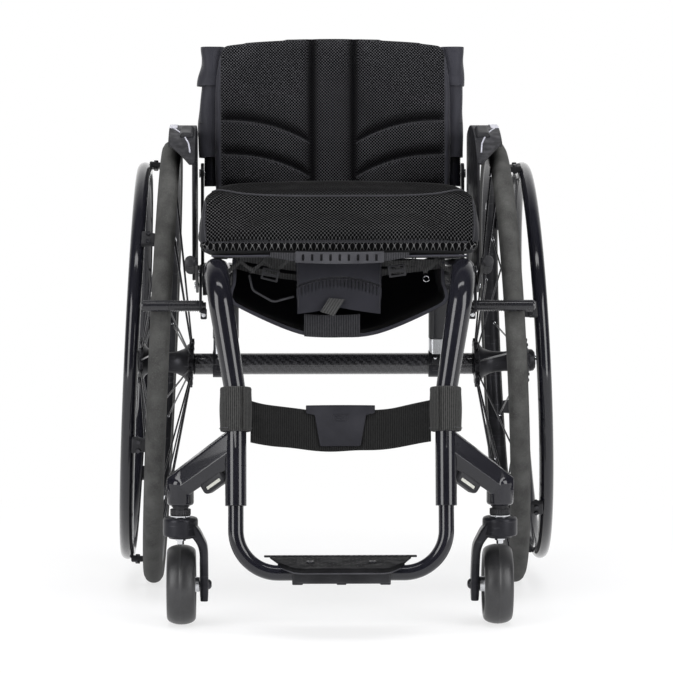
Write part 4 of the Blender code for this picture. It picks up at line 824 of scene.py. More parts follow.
GLOSS_BLACK = paint("gloss black paint", (0.005, 0.005, 0.008), (0.0085, 0.0085, 0.0125))
GUARD_BLACK = paint("satin black guard", (0.01, 0.01, 0.012), (0.016, 0.016, 0.019), 0.3)
GUARD_SATIN = moulded("satin guard plastic", (0.01, 0.01, 0.012), (0.018, 0.018, 0.021), 0.55, 1100)
ANODISED = anodised("black anodised metal", (0.014, 0.014, 0.016), (0.026, 0.026, 0.03), 0.36)
FORK_BLACK = anodised("satin black fork", (0.011, 0.011, 0.014), (0.022, 0.022, 0.027), 0.34, 0.45)
SILVER = steel("brushed silver", (0.62, 0.63, 0.65), 0.3)
BRIGHT = steel("polished steel", (0.72, 0.73, 0.76), 0.16)
SPOKE_STEEL = steel("dark spoke steel", (0.045, 0.045, 0.05), 0.26)
DARK_STEEL = anodised("dark fork bolt", (0.03, 0.03, 0.034), (0.06, 0.06, 0.066), 0.3, 0.8)
CARBON = carbon("carbon twill")
TYRE_RUBBER = rubber("drive tyre rubber", (0.032, 0.032, 0.031), (0.08, 0.08, 0.077))
CASTER_RUBBER = rubber("caster tyre rubber", (0.018, 0.018, 0.019), (0.036, 0.036, 0.038), 0.4, 0.5)
MOULDED = moulded("moulded black plastic", (0.016, 0.016, 0.018), (0.028, 0.028, 0.031), 0.45)
BUCKLE_PLASTIC = moulded("slate moulded plastic", (0.012, 0.012, 0.016), (0.02, 0.02, 0.025), 0.5)
GREY_PLASTIC = moulded("grey moulded plastic", (0.032, 0.032, 0.037), (0.05, 0.05, 0.056), 0.5)
TREAD_RUBBER = rubber("tread rubber", (0.01, 0.01, 0.011), (0.024, 0.024, 0.026), 0.5, 0.3)
FOOT_BOARD = moulded("matt carbon board", (0.001, 0.001, 0.002), (0.003, 0.003, 0.004), 0.7, 700)
PALE_PLASTIC = moulded("pale window plastic", (0.42, 0.42, 0.38), (0.52, 0.52, 0.47), 0.4)
# A painted highlight: pale colour for the fender's top and slanted edge, where they catch the light.
PAINTED_FENDER_HIGHLIGHT = moulded("painted fender highlight", (0.34, 0.34, 0.39), (0.43, 0.43, 0.48), 0.35)
# The two top meshes take painted shade from their pieces' crease attribute.
CUSHION_MESH = spacer_mesh(
    "cushion spacer mesh", (0.0012, 0.0012, 0.0014), (0.105, 0.105, 0.108), 0.0046, crease=True,
)
PAD_MESH = spacer_mesh(
    "backrest spacer mesh", (0.002, 0.002, 0.0026), (0.138, 0.138, 0.149), 0.0041, crease=True,
)
BORDER_MESH = spacer_mesh("coarse border mesh", (0.002, 0.002, 0.0023), (0.17, 0.17, 0.17), 0.008)
CUSHION_CLOTH = weave(
    "cushion side cloth", (0.008, 0.008, 0.009), (0.018, 0.018, 0.021), 0.0007, crease=0.0012,
)
SLATE_NYLON = weave("slate nylon", (0.018, 0.018, 0.022), (0.04, 0.04, 0.05), 0.0007, crease=0.001)
BLACK_NYLON = weave(
    "black nylon", (0.007, 0.007, 0.009), (0.02, 0.02, 0.025), 0.0006, roughness=0.6, crease=0.0016,
)
BACK_NYLON = weave(
    "backrest nylon", (0.012, 0.012, 0.015), (0.03, 0.03, 0.038), 0.0006, roughness=0.5, crease=0.003,
)
PIPING = weave("piping tape", (0.006, 0.006, 0.007), (0.038, 0.038, 0.043), 0.0006)
FLAP_NYLON = weave("flap nylon", (0.01, 0.01, 0.013), (0.024, 0.024, 0.03), 0.0006, crease=0.0006)
TAB_WEBBING = ribbed("pull tab webbing", (0.022, 0.022, 0.022), (0.06, 0.06, 0.06), 0.0034)
ELASTIC = ribbed("charcoal elastic", (0.001, 0.001, 0.001), (0.016, 0.016, 0.016), 0.0028)
WEBBING = ribbed("black webbing", (0.008, 0.008, 0.009), (0.04, 0.04, 0.044), 0.003)
SLEEVE_CLOTH = ribbed("sleeve elastic", (0.002, 0.002, 0.002), (0.05, 0.05, 0.049), 0.0026)
THREAD = weave("sewing thread", (0.03, 0.03, 0.033), (0.1, 0.1, 0.11), 0.0003)


def mapped(obj, how=None):
    """Lays a map in metres over the piece: by the side that each face looks to, or as told."""
    mesh = obj.data
    layer = mesh.uv_layers.get("UVMap") or mesh.uv_layers.new(name="UVMap")
    for face in mesh.polygons:
        normal = face.normal
        for loop in face.loop_indices:
            co = mesh.vertices[mesh.loops[loop].vertex_index].co
            if how:
                layer.data[loop].uv = how(co, normal)
            elif abs(normal.x) > abs(normal.y) and abs(normal.x) > abs(normal.z):
                layer.data[loop].uv = (co.y, co.z)
            elif abs(normal.y) > abs(normal.z):
                layer.data[loop].uv = (co.x, co.z)
            else:
                layer.data[loop].uv = (co.x, co.y)
    return obj


# Drive wheels, modelled about the hub: +X points outward along the axle

INNER_DISC = -INNER_FLANGE + 0.0033
OUTER_DISC = OUTER_FLANGE - 0.0022
SPOKE_CIRCLE = FLANGE_RADIUS - 0.0052


def tyre():
    """A round slick tread with a bead line and a fine ridge on each sidewall."""
    half = TYRE_WIDTH / 2
    middle = TYRE_RADIUS - half
    seat = RIM_RADIUS + 0.0003
    crown = [(middle + half * sin(a), half * cos(a)) for a in (radians(-32 + 8 * i) for i in range(31))]
    outline = []
    for number, (radius, out) in enumerate(crown):
        ridge = 0.00035 if number in (7, 8, 22, 23) else 0
        outline.append((radius, out - ridge * (1 if out > 0 else -1)))
    outline = [(seat, RIM_WIDTH / 2 - 0.001)] + outline + [(seat, -RIM_WIDTH / 2 + 0.001)]
    return turned("drive_tyre_left", outline, 144, Z_TO_X)


def wheel_rim():
    """A double-walled rim: hooked walls, a machined line and a pointed inner bed."""
    half = RIM_WIDTH / 2
    inner = RIM_RADIUS - RIM_DEPTH
    side = [
        (RIM_RADIUS, half - 0.0022), (RIM_RADIUS + 0.0022, half - 0.002),
        (RIM_RADIUS + 0.0026, half - 0.0008),
        (RIM_RADIUS + 0.0018, half), (RIM_RADIUS - 0.003, half), (RIM_RADIUS - 0.0034, half - 0.0004),
        (RIM_RADIUS - 0.0038, half), (inner + 0.0052, half - 0.0002), (inner + 0.0022, half - 0.0034),
        (inner + 0.0006, 0.0042), (inner, 0.0022),
    ]
    other = [(radius, -out) for radius, out in reversed(side)]
    return turned("wheel_rim_left", side + other, 144, Z_TO_X)


def flange(outward, thickness):
    """One spoke flange: twelve lobes with a spoke hole in each, round a dished middle."""
    outline = []
    for i in range(96):
        a = 2 * pi * i / 96
        radius = FLANGE_RADIUS - 0.0022 + 0.0022 * cos(12 * a)
        outline.append((radius * cos(a), radius * sin(a)))
    disc = plate("flange", outline, thickness, None, 0.0006)
    hole = rod("spoke_hole", (SPOKE_CIRCLE, 0, -0.01), (SPOKE_CIRCLE, 0, 0.01), 0.0018, 10)
    holes = ring_of("spoke_holes", hole, 12, lambda i: Matrix.Rotation(2 * pi * i / 12, 4, "Z"))
    bore = rod("flange_bore", (0, 0, -0.01), (0, 0, 0.01), HUB_RADIUS - 0.003, 48)
    cut(disc, holes, bore)
    return put(disc, Matrix.Translation((outward, 0, 0)) @ Z_TO_X)


def hub_shell():
    """The hub's barrel, waisted between its flanges and dished round the axle's ring."""
    outline = [
        (0.0067, -HUB_RECESS), (0.0128, -HUB_RECESS), (0.014, -HUB_RECESS - 0.0038),
        (0.0175, -INNER_FLANGE + 0.0032),
        (0.0232, -INNER_FLANGE + 0.0004), (0.0246, -INNER_FLANGE), (0.0262, -INNER_FLANGE + 0.0006),
        (0.0264, -INNER_FLANGE + 0.005), (0.0245, -INNER_FLANGE + 0.0088), (0.019, -INNER_FLANGE + 0.013),
        (0.0156, -HUB_RECESS + 0.009), (0.014, -HUB_RECESS + 0.015), (0.0132, 0.0), (0.014, 0.01),
        (0.0152, OUTER_FLANGE - 0.014), (0.019, OUTER_FLANGE - 0.008), (0.025, OUTER_FLANGE - 0.0046),
        (0.0262, OUTER_FLANGE - 0.003), (0.0258, OUTER_FLANGE), (0.019, OUTER_FLANGE + 0.001),
        (0.015, OUTER_FLANGE + 0.0026), (0.0145, HUB_OUTER_END - 0.0022), (0.0136, HUB_OUTER_END - 0.0004),
        (0.0125, HUB_OUTER_END), (0.0067, HUB_OUTER_END),
    ]
    shell = turned("wheel_hub_left", outline, 64, Z_TO_X)
    cap = turned("hub_cap_left", [
        (0.0067, HUB_OUTER_END), (0.0118, HUB_OUTER_END), (0.0118, HUB_OUTER_END + 0.0008),
        (0.0108, HUB_OUTER_END + 0.0016), (0.0067, HUB_OUTER_END + 0.0018),
    ], 48, Z_TO_X)
    discs = flange(INNER_DISC, 0.0064), flange(OUTER_DISC, 0.0044)
    return together("wheel_hub_left", shell, *discs, cap)


def spokes():
    """Twenty-four straight spokes, laced by turns to the two flanges, each with its nipple at the rim."""
    inner = RIM_RADIUS - RIM_DEPTH
    wires, nipples = [], []
    for side, out in enumerate((INNER_DISC, OUTER_DISC)):
        start = Vector((out, 0, SPOKE_CIRCLE))
        end = Vector((out * 0.1, 0, inner + 0.0005))
        along = (end - start).normalized()
        away = Vector((copysign(1, out), 0, 0))
        wire = rod("spoke", start, end, 0.00115, 10)
        head = rod("spoke_head", start + away * 0.0036, start - away * 0.003, 0.0021, 10, 0.0004)
        nipple = rod("nipple", end - along * 0.012, end, 0.0019, 8, 0.0004)
        offset = Matrix.Rotation(2 * pi * (0.5 + (1 - side)) / 24, 4, "X")
        for name, shape, made in (
            ("spokes", together("spoke", wire, head), wires), ("nipples", nipple, nipples),
        ):
            put(shape, offset)
            made.append(ring_of(name, shape, 12, lambda i: Matrix.Rotation(2 * pi * 2 * i / 24, 4, "X")))
    return together("spokes_left", *wires), together("spoke_nipples_left", *nipples)


def hand_rim():
    sides = 24
    ring = arc(
        (HAND_RIM_RADIUS, HAND_RIM_OFFSET), HAND_RIM_TUBE / 2, 0, 2 * pi * (sides - 1) / sides, sides - 1,
    )
    return turned("hand_rim_left", ring, 160, Z_TO_X)


def tabs():
    """Six short tabs between the rim and the push ring, each with two screws."""
    half = RIM_WIDTH / 2
    low, high = half - 0.001, HAND_RIM_OFFSET - 0.005
    tab = block(
        "tab", (low, -0.0085, HAND_RIM_RADIUS + 0.005), (high, 0.0085, HAND_RIM_RADIUS + 0.0118), 0.0016,
        3,
    )
    edit(tab)
    select("VERT", lambda co, normal: co.x > (low + high) / 2)
    bpy.ops.transform.resize(value=(1, 1.25, 1.25), center_override=(high, 0, HAND_RIM_RADIUS + 0.007))
    close()
    screws = []
    for across in (-0.0062, 0.0062):
        middle = Vector(((low + high) / 2 + 0.002, across, HAND_RIM_RADIUS + 0.005))
        for foot, top in ((-0.0022, 0.001), (0.0062, 0.0098)):
            ends = [middle + Vector((0, 0, z)) for z in (foot, top)]
            screws.append(rod("tab_screw", *ends, 0.003, 16, 0.0006))

    def all_round(name, shape):
        put(shape, Matrix.Rotation(TAB_ANGLE + pi / 2, 4, "X"))
        return ring_of(name, shape, 6, lambda i: Matrix.Rotation(pi / 3 * i, 4, "X"))

    return all_round("hand_rim_tabs_left", tab), all_round(
        "tab_screws_left", together("tab_screws_left", *screws),
    )


def axle():
    """The quick-release shaft, its bright inner ring and the button in its outer end."""
    tip = HUB_OUTER_END + 0.0035
    shaft = turned("wheel_axle_left", [
        (0, -INNER_FLANGE - 0.036), (0.0052, -INNER_FLANGE - 0.036), (0.0064, -INNER_FLANGE - 0.0348),
        (0.0064, tip - 0.0006), (0.0058, tip), (0.005, tip), (0.005, tip - 0.01), (0, tip - 0.01),
    ], 32, Z_TO_X, False)
    ring = turned("axle_ring_left", [
        (0.0062, -INNER_FLANGE + 0.001), (0.0092, -INNER_FLANGE + 0.001), (0.0105, -INNER_FLANGE + 0.0022),
        (0.0105, -HUB_RECESS - 0.0018), (0.0098, -HUB_RECESS - 0.0004), (0.0062, -HUB_RECESS - 0.0004),
    ], 48, Z_TO_X)
    low = tip - 0.0045
    button = turned("axle_button_left", [
        (0, low), (0.0046, low), (0.0046, low + 0.008), (0.004, low + 0.0088), (0.0016, low + 0.009),
        (0, low + 0.0086),
    ], 32, Z_TO_X, False)
    return together("wheel_axle_left", shaft, ring), button


def keep_wheel(obj, material, nodes=(), angle=35, body="drive_wheel_left"):
    """Seats a wheel piece on the left axle and its copy, turned half round, on the right."""
    put(obj, LEFT_WHEEL)
    keep_both(obj, material, body, nodes, angle, TURN_TO_RIGHT)


def drive_wheels():
    keep_wheel(tyre(), TYRE_RUBBER, ["drive_tyre_left"], 60)
    keep_wheel(wheel_rim(), ANODISED, ["wheel_rim_left"])
    keep_wheel(hub_shell(), ANODISED, ["wheel_hub_left"])
    wires, nipples = spokes()
    keep_wheel(wires, SPOKE_STEEL)
    keep_wheel(nipples, BRIGHT)
    keep_wheel(hand_rim(), GLOSS_BLACK, ["hand_rim_left"], 60)
    blocks, screws = tabs()
    keep_wheel(blocks, MOULDED)
    keep_wheel(screws, DARK_STEEL)
    shaft, button = axle()
    keep_wheel(shaft, BRIGHT, ["wheel_axle_left"], 35, "frame")
    keep_wheel(button, BRIGHT, ["axle_button_left"], 35, "axle_button_left")


drive_wheels()


# Frame

CLAMP_WALL = 0.0038
COLLAR_TOP = CAMBER_TUBE_HEIGHT + CAMBER_TUBE_RADIUS + CLAMP_WALL + 0.016


def side_tube():
    """Seat rail, knee and leg in one bent tube, drawn down along the leg, with a bore for the footrest."""
    lean_share = (KNEE.z - LEG_LEAN_HEIGHT) / 0.152
    knee_x = LEG_X + (SEAT_TUBE_X - LEG_X) * lean_share
    corners = [
        on_seat(SEAT_TUBE_X, -0.115, 0), on_seat(knee_x, KNEE_AHEAD, 0),
        on_leg(LEG_X, LEG_LEAN_HEIGHT), on_leg(LEG_X, LEG_END_HEIGHT),
    ]
    return bent_tube(
        "side_tube_left", corners, [0, KNEE_RADIUS, LEAN_RADIUS, 0], SEAT_TUBE_RADIUS, 40,
        LEG_TUBE_RADIUS, taper=2, bore=0.0026,
    )


def footrest_tube():
    top = LEG_END_HEIGHT + 0.06
    corners = [
        on_leg(LEG_X, top), on_leg(LEG_X, FOOT_TUBE_HEIGHT),
        on_leg(-LEG_X, FOOT_TUBE_HEIGHT), on_leg(-LEG_X, top),
    ]
    bends = [0, FOOT_BEND_RADIUS, FOOT_BEND_RADIUS, 0]
    return bent_tube("footrest_tube", corners, bends, FOOT_TUBE_RADIUS, 32, step=radians(3.5))


def camber_tube():
    """The carbon cross tube, hollow, with its map rolled round it."""
    outline = [
        (CAMBER_TUBE_RADIUS, -CAMBER_TUBE_END), (0.0124, -CAMBER_TUBE_END), (0.0124, CAMBER_TUBE_END),
        (CAMBER_TUBE_RADIUS, CAMBER_TUBE_END),
    ]
    middle = on_floor(0, 0, CAMBER_TUBE_HEIGHT)
    tube = turned("camber_tube", outline, 64, Matrix.Translation(middle) @ Z_TO_X)
    tube = bevel(tube, 0.0005, 2, radians(60))

    def roll(co, normal):
        return (co.x, (pi + atan2(normal.y, normal.z)) * CAMBER_TUBE_RADIUS)

    return mapped(tube, roll)


def axle_plug():
    """The plug's collar and spigot, with a bore along the axle."""
    outline = [
        (0.0068, CAMBER_TUBE_END - 0.041), (0.0119, CAMBER_TUBE_END - 0.041),
        (0.0119, CAMBER_TUBE_END + 0.0003),
        (0.0138, CAMBER_TUBE_END + 0.0003), (0.0143, CAMBER_TUBE_END + 0.0008), (0.0143, PLUG_END - 0.0006),
        (0.0137, PLUG_END), (0.009, PLUG_END), (0.008, PLUG_END - 0.0012), (0.0068, PLUG_END - 0.0012),
    ]
    middle = on_floor(0, 0, CAMBER_TUBE_HEIGHT)
    return turned("axle_plug_left", outline, 64, Matrix.Translation(middle) @ Z_TO_X)


def rounded_post(name, sections):
    """A post with rounded corners, its section extruded from height to height."""
    (low, width, depth), rest = sections[0], sections[1:]
    half_x, half_y = width / 2, depth / 2
    corners = [(half_x, -half_y), (half_x, half_y), (-half_x, half_y), (-half_x, -half_y)]
    outline = rounded(corners, [depth * 0.3] * 4, True, radians(15))
    post = drawn(name, [(POST_X + p.x, AXLE_Y + p.y, low) for p in outline], True)
    tidy_mesh()
    bpy.ops.mesh.edge_face_add()
    here = (low, width, depth)
    for there in rest:
        bpy.ops.mesh.extrude_region_move(TRANSFORM_OT_translate={"value": (0, 0, there[0] - here[0])})
        middle = (POST_X, AXLE_Y, there[0])
        growth = (there[1] / here[1], there[2] / here[2], 1)
        bpy.ops.transform.resize(value=growth, center_override=middle)
        here = there
    face_outward()
    close()
    return post


def seat_tube_space():
    front, rear = on_seat(SEAT_TUBE_X, KNEE_AHEAD - 0.055, 0), on_seat(SEAT_TUBE_X, -0.135, 0)
    return rod("seat_tube_space", front, rear, SEAT_TUBE_RADIUS + 0.0003, 64)


def axle_post():
    """The post from the seat tube down to its silver height collar, with a saddle strap."""
    seat_z = seat_tube_height(0)
    low = COLLAR_TOP + 0.0003
    post = rounded_post("axle_post_left", [
        (low, POST_WIDTH - 0.001, POST_DEPTH - 0.001), (low + 0.0008, POST_WIDTH, POST_DEPTH),
        (seat_z - 0.03, POST_WIDTH, POST_DEPTH), (seat_z - 0.017, POST_WIDTH, POST_DEPTH + 0.008),
        (seat_z - 0.006, POST_WIDTH, 0.038), (seat_z - 0.001, POST_WIDTH, 0.038),
    ])
    strap = block(
        "post_saddle", (POST_X, AXLE_Y - 0.019, seat_z - 0.019),
        (SEAT_TUBE_X + 0.0175, AXLE_Y + 0.019, seat_z - 0.001), 0.002,
    )
    join(post, strap)
    cut(post, seat_tube_space())
    return bevel(post, 0.0005, 1, radians(60))


def axle_clamp():
    """The clamp round the camber tube, split at the front and drawn together by a bolt."""
    half = POST_WIDTH / 2
    outer = CAMBER_TUBE_RADIUS + CLAMP_WALL
    low, high = on_floor(POST_X - half, 0, CAMBER_TUBE_HEIGHT), on_floor(POST_X + half, 0, CAMBER_TUBE_HEIGHT)
    ring = rod("axle_clamp_left", low, high, outer, 64, 0.0008)
    ear = block(
        "clamp_ear", low + Vector((0.004, -outer - 0.001, -0.0085)),
        high + Vector((-0.004, -outer * 0.5, 0.0085)), 0.0015,
    )
    join(ring, ear)
    slot = block("clamp_slot", low + Vector((-0.01, -0.04, -0.0008)), high + Vector((0.01, 0, 0.0008)))
    bore = rod(
        "clamp_bore", low - Vector((0.01, 0, 0)), high + Vector((0.01, 0, 0)),
        CAMBER_TUBE_RADIUS + 0.0004, 64,
    )
    cut(ring, slot, bore)
    screws = []
    for x in (POST_X - 0.009, POST_X + 0.009):
        seat = on_floor(x, 0, CAMBER_TUBE_HEIGHT + 0.0072) + Vector((0, -outer + 0.0018, 0))
        screws.append(cap_screw("clamp_screw", seat, Vector((0, -0.35, 1)), 0.0026, 0.003))
    return ring, together("clamp_screws_left", *screws)


def cap_screw(name, seat, direction, radius, height, sides=20):
    """A socket-head screw: a bevelled head with a hexagon sunk in it."""
    clear()
    bpy.ops.mesh.primitive_cylinder_add(
        vertices=sides, radius=radius, depth=height, location=(0, 0, height / 2),
    )
    head = added(name)
    put(head, head.matrix_world.copy())
    head.matrix_world = Matrix()
    edit(head)
    select("FACE", lambda co, normal: normal.z > 0.9)
    bpy.ops.mesh.bevel(offset=radius * 0.12, segments=2, affect="EDGES")
    select("FACE", lambda co, normal: normal.z > 0.9 and co.z > height * 0.98)
    bpy.ops.mesh.inset(thickness=radius * 0.36)
    bpy.ops.mesh.extrude_region_move(TRANSFORM_OT_translate={"value": (0, 0, -height * 0.55)})
    close()
    return put(head, Matrix.Translation(seat) @ turn_to(direction))


def height_collar():
    """The silver spacer between the clamp and the post."""
    low = CAMBER_TUBE_HEIGHT + 0.01
    width, depth = POST_WIDTH - 0.0012, POST_DEPTH - 0.0012
    collar = rounded_post("height_collar_left", [
        (low, width, depth), (COLLAR_TOP - 0.0008, width, depth),
        (COLLAR_TOP, POST_WIDTH - 0.0024, POST_DEPTH - 0.0024),
    ])
    ends = [on_floor(x, 0, CAMBER_TUBE_HEIGHT) for x in (POST_X - 0.03, POST_X + 0.03)]
    bore = rod("collar_bore", *ends, CAMBER_TUBE_RADIUS + 0.0034, 48)
    return cut(collar, bore)


def frame_pieces():
    keep_both(side_tube(), GLOSS_BLACK, "frame", ["side_tube_left"], 40)
    keep(footrest_tube(), GLOSS_BLACK, "frame", ["footrest_tube"], 40)
    keep(camber_tube(), CARBON, "frame", ["camber_tube"])
    keep_both(axle_plug(), ANODISED, "frame", ["axle_plug_left"])
    keep_both(axle_post(), GLOSS_BLACK, "frame", ["axle_post_left"])
    ring, screws = axle_clamp()
    keep_both(ring, ANODISED, "frame", ["axle_clamp_left"])
    keep_both(screws, BRIGHT, "frame")
    keep_both(height_collar(), SILVER, "frame")


frame_pieces()


# Casters and their arms

SWIVEL = Matrix.Translation(on_floor(CASTER_X, STEM_AHEAD, 0))
FORK_INNER = CASTER_WIDTH / 2 + 0.005
FORK_OUTER = FORK_INNER + 0.0106


def lofted(name, rings):
    """Rings of equal count, drawn one by one, bridged into a skin and closed at both ends."""
    loops = []
    for number, ring in enumerate(rings):
        loops.append(drawn(f"{name}_{number}", ring, True))
        tidy_mesh()
        close()
    skin = together(name, *loops)
    edit(skin)
    bpy.ops.mesh.select_mode(type="EDGE")
    bpy.ops.mesh.select_all(action="SELECT")
    bpy.ops.mesh.bridge_edge_loops()
    bpy.ops.mesh.select_all(action="SELECT")
    bpy.ops.mesh.fill_holes(sides=0)
    face_outward()
    close()
    return skin


def eased(stations, steps):
    """The stations with a smooth run of steps between each two."""
    points = [Vector(station) for station in stations]
    run = []
    for i in range(len(points) - 1):
        before, after = points[max(0, i - 1)], points[min(len(points) - 1, i + 2)]
        here, there = points[i], points[i + 1]
        for k in range(steps):
            t = k / steps
            run.append(0.5 * (
                2 * here + (there - before) * t + (2 * before - 5 * here + 4 * there - after) * t ** 2
                + (3 * here - before - 3 * there + after) * t ** 3
            ))
    return run + [points[-1]]


def cast(obj, grain, rounds):
    """Melts joined shapes into one casting with soft inside corners."""
    skin = obj.modifiers.new("casting", "REMESH")
    skin.mode = "VOXEL"
    skin.voxel_size = grain
    soft = obj.modifiers.new("fettled", "SMOOTH")
    soft.factor = 0.5
    soft.iterations = rounds
    return applied(obj)


def caster_arm():
    """The arm from the leg down to the stem's housing, one casting, bored for the leg and the stem."""
    root = on_leg(LEG_X - 0.004, ARM_ROOT_HEIGHT + 0.0065)
    stem = on_floor(CASTER_X, STEM_AHEAD, HOUSING_HIGH - 0.0073)
    tip = Vector((CASTER_X + 0.0218, stem.y + (stem.y - root.y) * 0.3, HOUSING_LOW + 0.0154))
    rings = []
    for place, depth, height in ((root, 0.034, 0.047), (stem, 0.034, 0.0397), (tip, 0.034, 0.0278)):
        section = [
            (-depth / 2 + 0.0035, 0.5), (depth / 2 - 0.003, 0.5), (depth / 2, 0), (depth / 2 - 0.003, -0.5),
            (-depth / 2 + 0.0085, -0.5), (-depth / 2, -0.06),
        ]
        rings.append([place + Vector((0, y, height * z)) for y, z in section])
    arm = lofted("caster_arm_left", rings)
    housing = turned("stem_housing", [
        (0, HOUSING_LOW), (0.0138, HOUSING_LOW), (0.0156, HOUSING_LOW + 0.0009),
        (0.0167, HOUSING_LOW + 0.003),
        (0.0167, HOUSING_HIGH - 0.006), (0.0158, HOUSING_HIGH - 0.003), (0.014, HOUSING_HIGH - 0.0005),
        (0, HOUSING_HIGH),
    ], 48, SWIVEL, False)
    beyond = block("beyond", (0.2136, root.y - 0.08, 0.14), (0.26, root.y + 0.08, 0.29))
    casting = cast(cut(join(arm, housing), beyond), 0.0009, 4)
    leg = rod("leg_space", on_leg(LEG_X, 0.12), on_leg(LEG_X, 0.3), LEG_TUBE_RADIUS + 0.0003, 48)
    inside = block("inside", (0, root.y - 0.05, 0.15), (LEG_X - 0.0005, root.y + 0.05, 0.29))
    bore = rod(
        "stem_bore", on_floor(CASTER_X, STEM_AHEAD, 0.14), on_floor(CASTER_X, STEM_AHEAD, 0.174), 0.0064,
        24,
    )
    return cut(casting, leg, inside, bore), root, stem


def arm_capsule(root, stem):
    """The moulded insert under the arm, with its pale slotted window."""
    middle = root.lerp(stem, 0.4) - Vector((0, 0, 0.0282))
    turn = (stem - root).to_track_quat("X", "Z").to_matrix().to_4x4()
    seat = Matrix.Translation(middle) @ turn
    shell = block("arm_capsule_left", (-0.0185, -0.01, -0.0085), (0.0185, 0.01, 0.0085), 0.0056, 5)
    window = block("window_space", (-0.0115, -0.02, -0.0052), (0.0115, -0.0088, 0.0002), 0.0014, 2)
    cut(shell, window)
    lens = block("capsule_lens_left", (-0.0112, -0.0092, -0.0049), (0.0112, -0.007, -0.0001), 0.0008, 2)
    return put(shell, seat), put(lens, seat)


def caster_nut():
    """The necked nut with a ribbed ring to grip."""
    ring = []
    for i in range(96):
        radius = 0.0127 - 0.0008 * (i % 4 in (0, 1))
        ring.append((radius * cos(2 * pi * i / 96), radius * sin(2 * pi * i / 96)))
    grip = plate("caster_nut_left", ring, 0.007, Matrix.Translation((0, 0, NUT_LOW + 0.0036)), 0.0003, 1)
    neck = turned("nut_neck", [
        (0.0064, NUT_LOW + 0.005), (0.0098, NUT_LOW + 0.005), (0.0098, NUT_LOW + 0.0096),
        (0.0112, NUT_LOW + 0.0102),
        (0.0112, NUT_LOW + 0.0115), (0.0064, NUT_LOW + 0.0115),
    ], 40)
    hole = rod("nut_hole", (0, 0, NUT_LOW - 0.01), (0, 0, NUT_LOW + 0.02), 0.0064, 32)
    return put(together("caster_nut_left", cut(grip, hole), neck), SWIVEL)


def fork_ring(station):
    """One rounded section of the fork's arm."""
    height, inner, outer, middle, half = station
    corner = min(0.0042, half * 0.45, (outer - inner) * 0.4)
    front, rear = middle - half, middle + half
    corners = [
        (-outer, front, height), (-inner, front, height), (-inner, rear, height), (-outer, rear, height),
    ]
    return rounded(corners, [corner] * 4, True, radians(30))


def caster_fork():
    """The one-sided fork: a round head under the bearing and an arm that sweeps back to the axle."""
    inner, outer = FORK_INNER, FORK_OUTER
    stations = [
        (FORK_HEAD_HIGH - 0.0095, 0.002, 0.019, 0.001, 0.016),
        (FORK_HEAD_HIGH - 0.0165, 0.008, 0.024, 0.003, 0.0162),
        (FORK_HEAD_LOW + 0.001, inner - 0.0085, outer - 0.0052, 0.006, 0.016),
        (FORK_HEAD_LOW - 0.0085, inner - 0.0026, outer - 0.0012, 0.01, 0.015),
        (FORK_HEAD_LOW - 0.02, inner, outer, 0.018, 0.014),
        (CASTER_RADIUS + 0.028, inner, outer, 0.031, 0.0128),
        (CASTER_RADIUS + 0.01, inner, outer, CASTER_TRAIL - 0.001, 0.012),
        (CASTER_RADIUS - 0.008, inner, outer, CASTER_TRAIL, 0.0114),
        (CASTER_RADIUS - 0.021, inner + 0.0006, outer - 0.0006, CASTER_TRAIL, 0.0068),
    ]
    arm = lofted("fork_arm", [fork_ring(station) for station in eased(stations, 3)])
    head = turned("caster_fork_left", [
        (0, FORK_HEAD_HIGH), (0.0175, FORK_HEAD_HIGH), (0.0204, FORK_HEAD_HIGH - 0.001),
        (0.0216, FORK_HEAD_HIGH - 0.0034),
        (0.0216, FORK_HEAD_LOW + 0.0044), (0.0205, FORK_HEAD_LOW + 0.003), (0.015, FORK_HEAD_LOW + 0.0022),
        (0.0145, FORK_HEAD_LOW), (0, FORK_HEAD_LOW - 0.0006),
    ], 48, None, False)
    fork = cast(join(head, arm), 0.0008, 3)
    bolt = Vector((0, CASTER_TRAIL, CASTER_RADIUS))
    hole = rod(
        "bolt_hole", bolt - Vector((outer + 0.01, 0, 0)), bolt - Vector((inner - 0.01, 0, 0)), 0.0043, 32,
    )
    seat = rod(
        "bolt_seat", bolt - Vector((outer + 0.01, 0, 0)), bolt - Vector((outer - 0.0008, 0, 0)), 0.0072,
        32,
    )
    return cut(fork, hole, seat)


def caster_stem():
    """The bright stem, the bearing's ring and the small stud under the head."""
    stem = turned("caster_stem_left", [
        (0, FORK_HEAD_HIGH - 0.001), (0.006, FORK_HEAD_HIGH - 0.001), (0.006, 0.1728),
        (0.0052, 0.1736), (0, 0.1736),
    ], 32, None, False)
    ring = turned("bearing_ring_left", [
        (0.006, FORK_HEAD_HIGH), (0.0124, FORK_HEAD_HIGH), (0.0128, FORK_HEAD_HIGH + 0.0005),
        (0.0128, FORK_HEAD_HIGH + 0.0019), (0.0118, FORK_HEAD_HIGH + 0.0024),
        (0.006, FORK_HEAD_HIGH + 0.0024),
    ], 48)
    stud = turned("stem_stud_left", [
        (0, FORK_HEAD_LOW - 0.0002), (0.0062, FORK_HEAD_LOW - 0.0002), (0.0062, FORK_HEAD_LOW - 0.003),
        (0.0042, FORK_HEAD_LOW - 0.0036), (0.0042, FORK_HEAD_LOW - 0.0072),
        (0.0034, FORK_HEAD_LOW - 0.0078), (0, FORK_HEAD_LOW - 0.0078),
    ], 6, None, False)
    return together("caster_stem_left", stem, ring, stud)


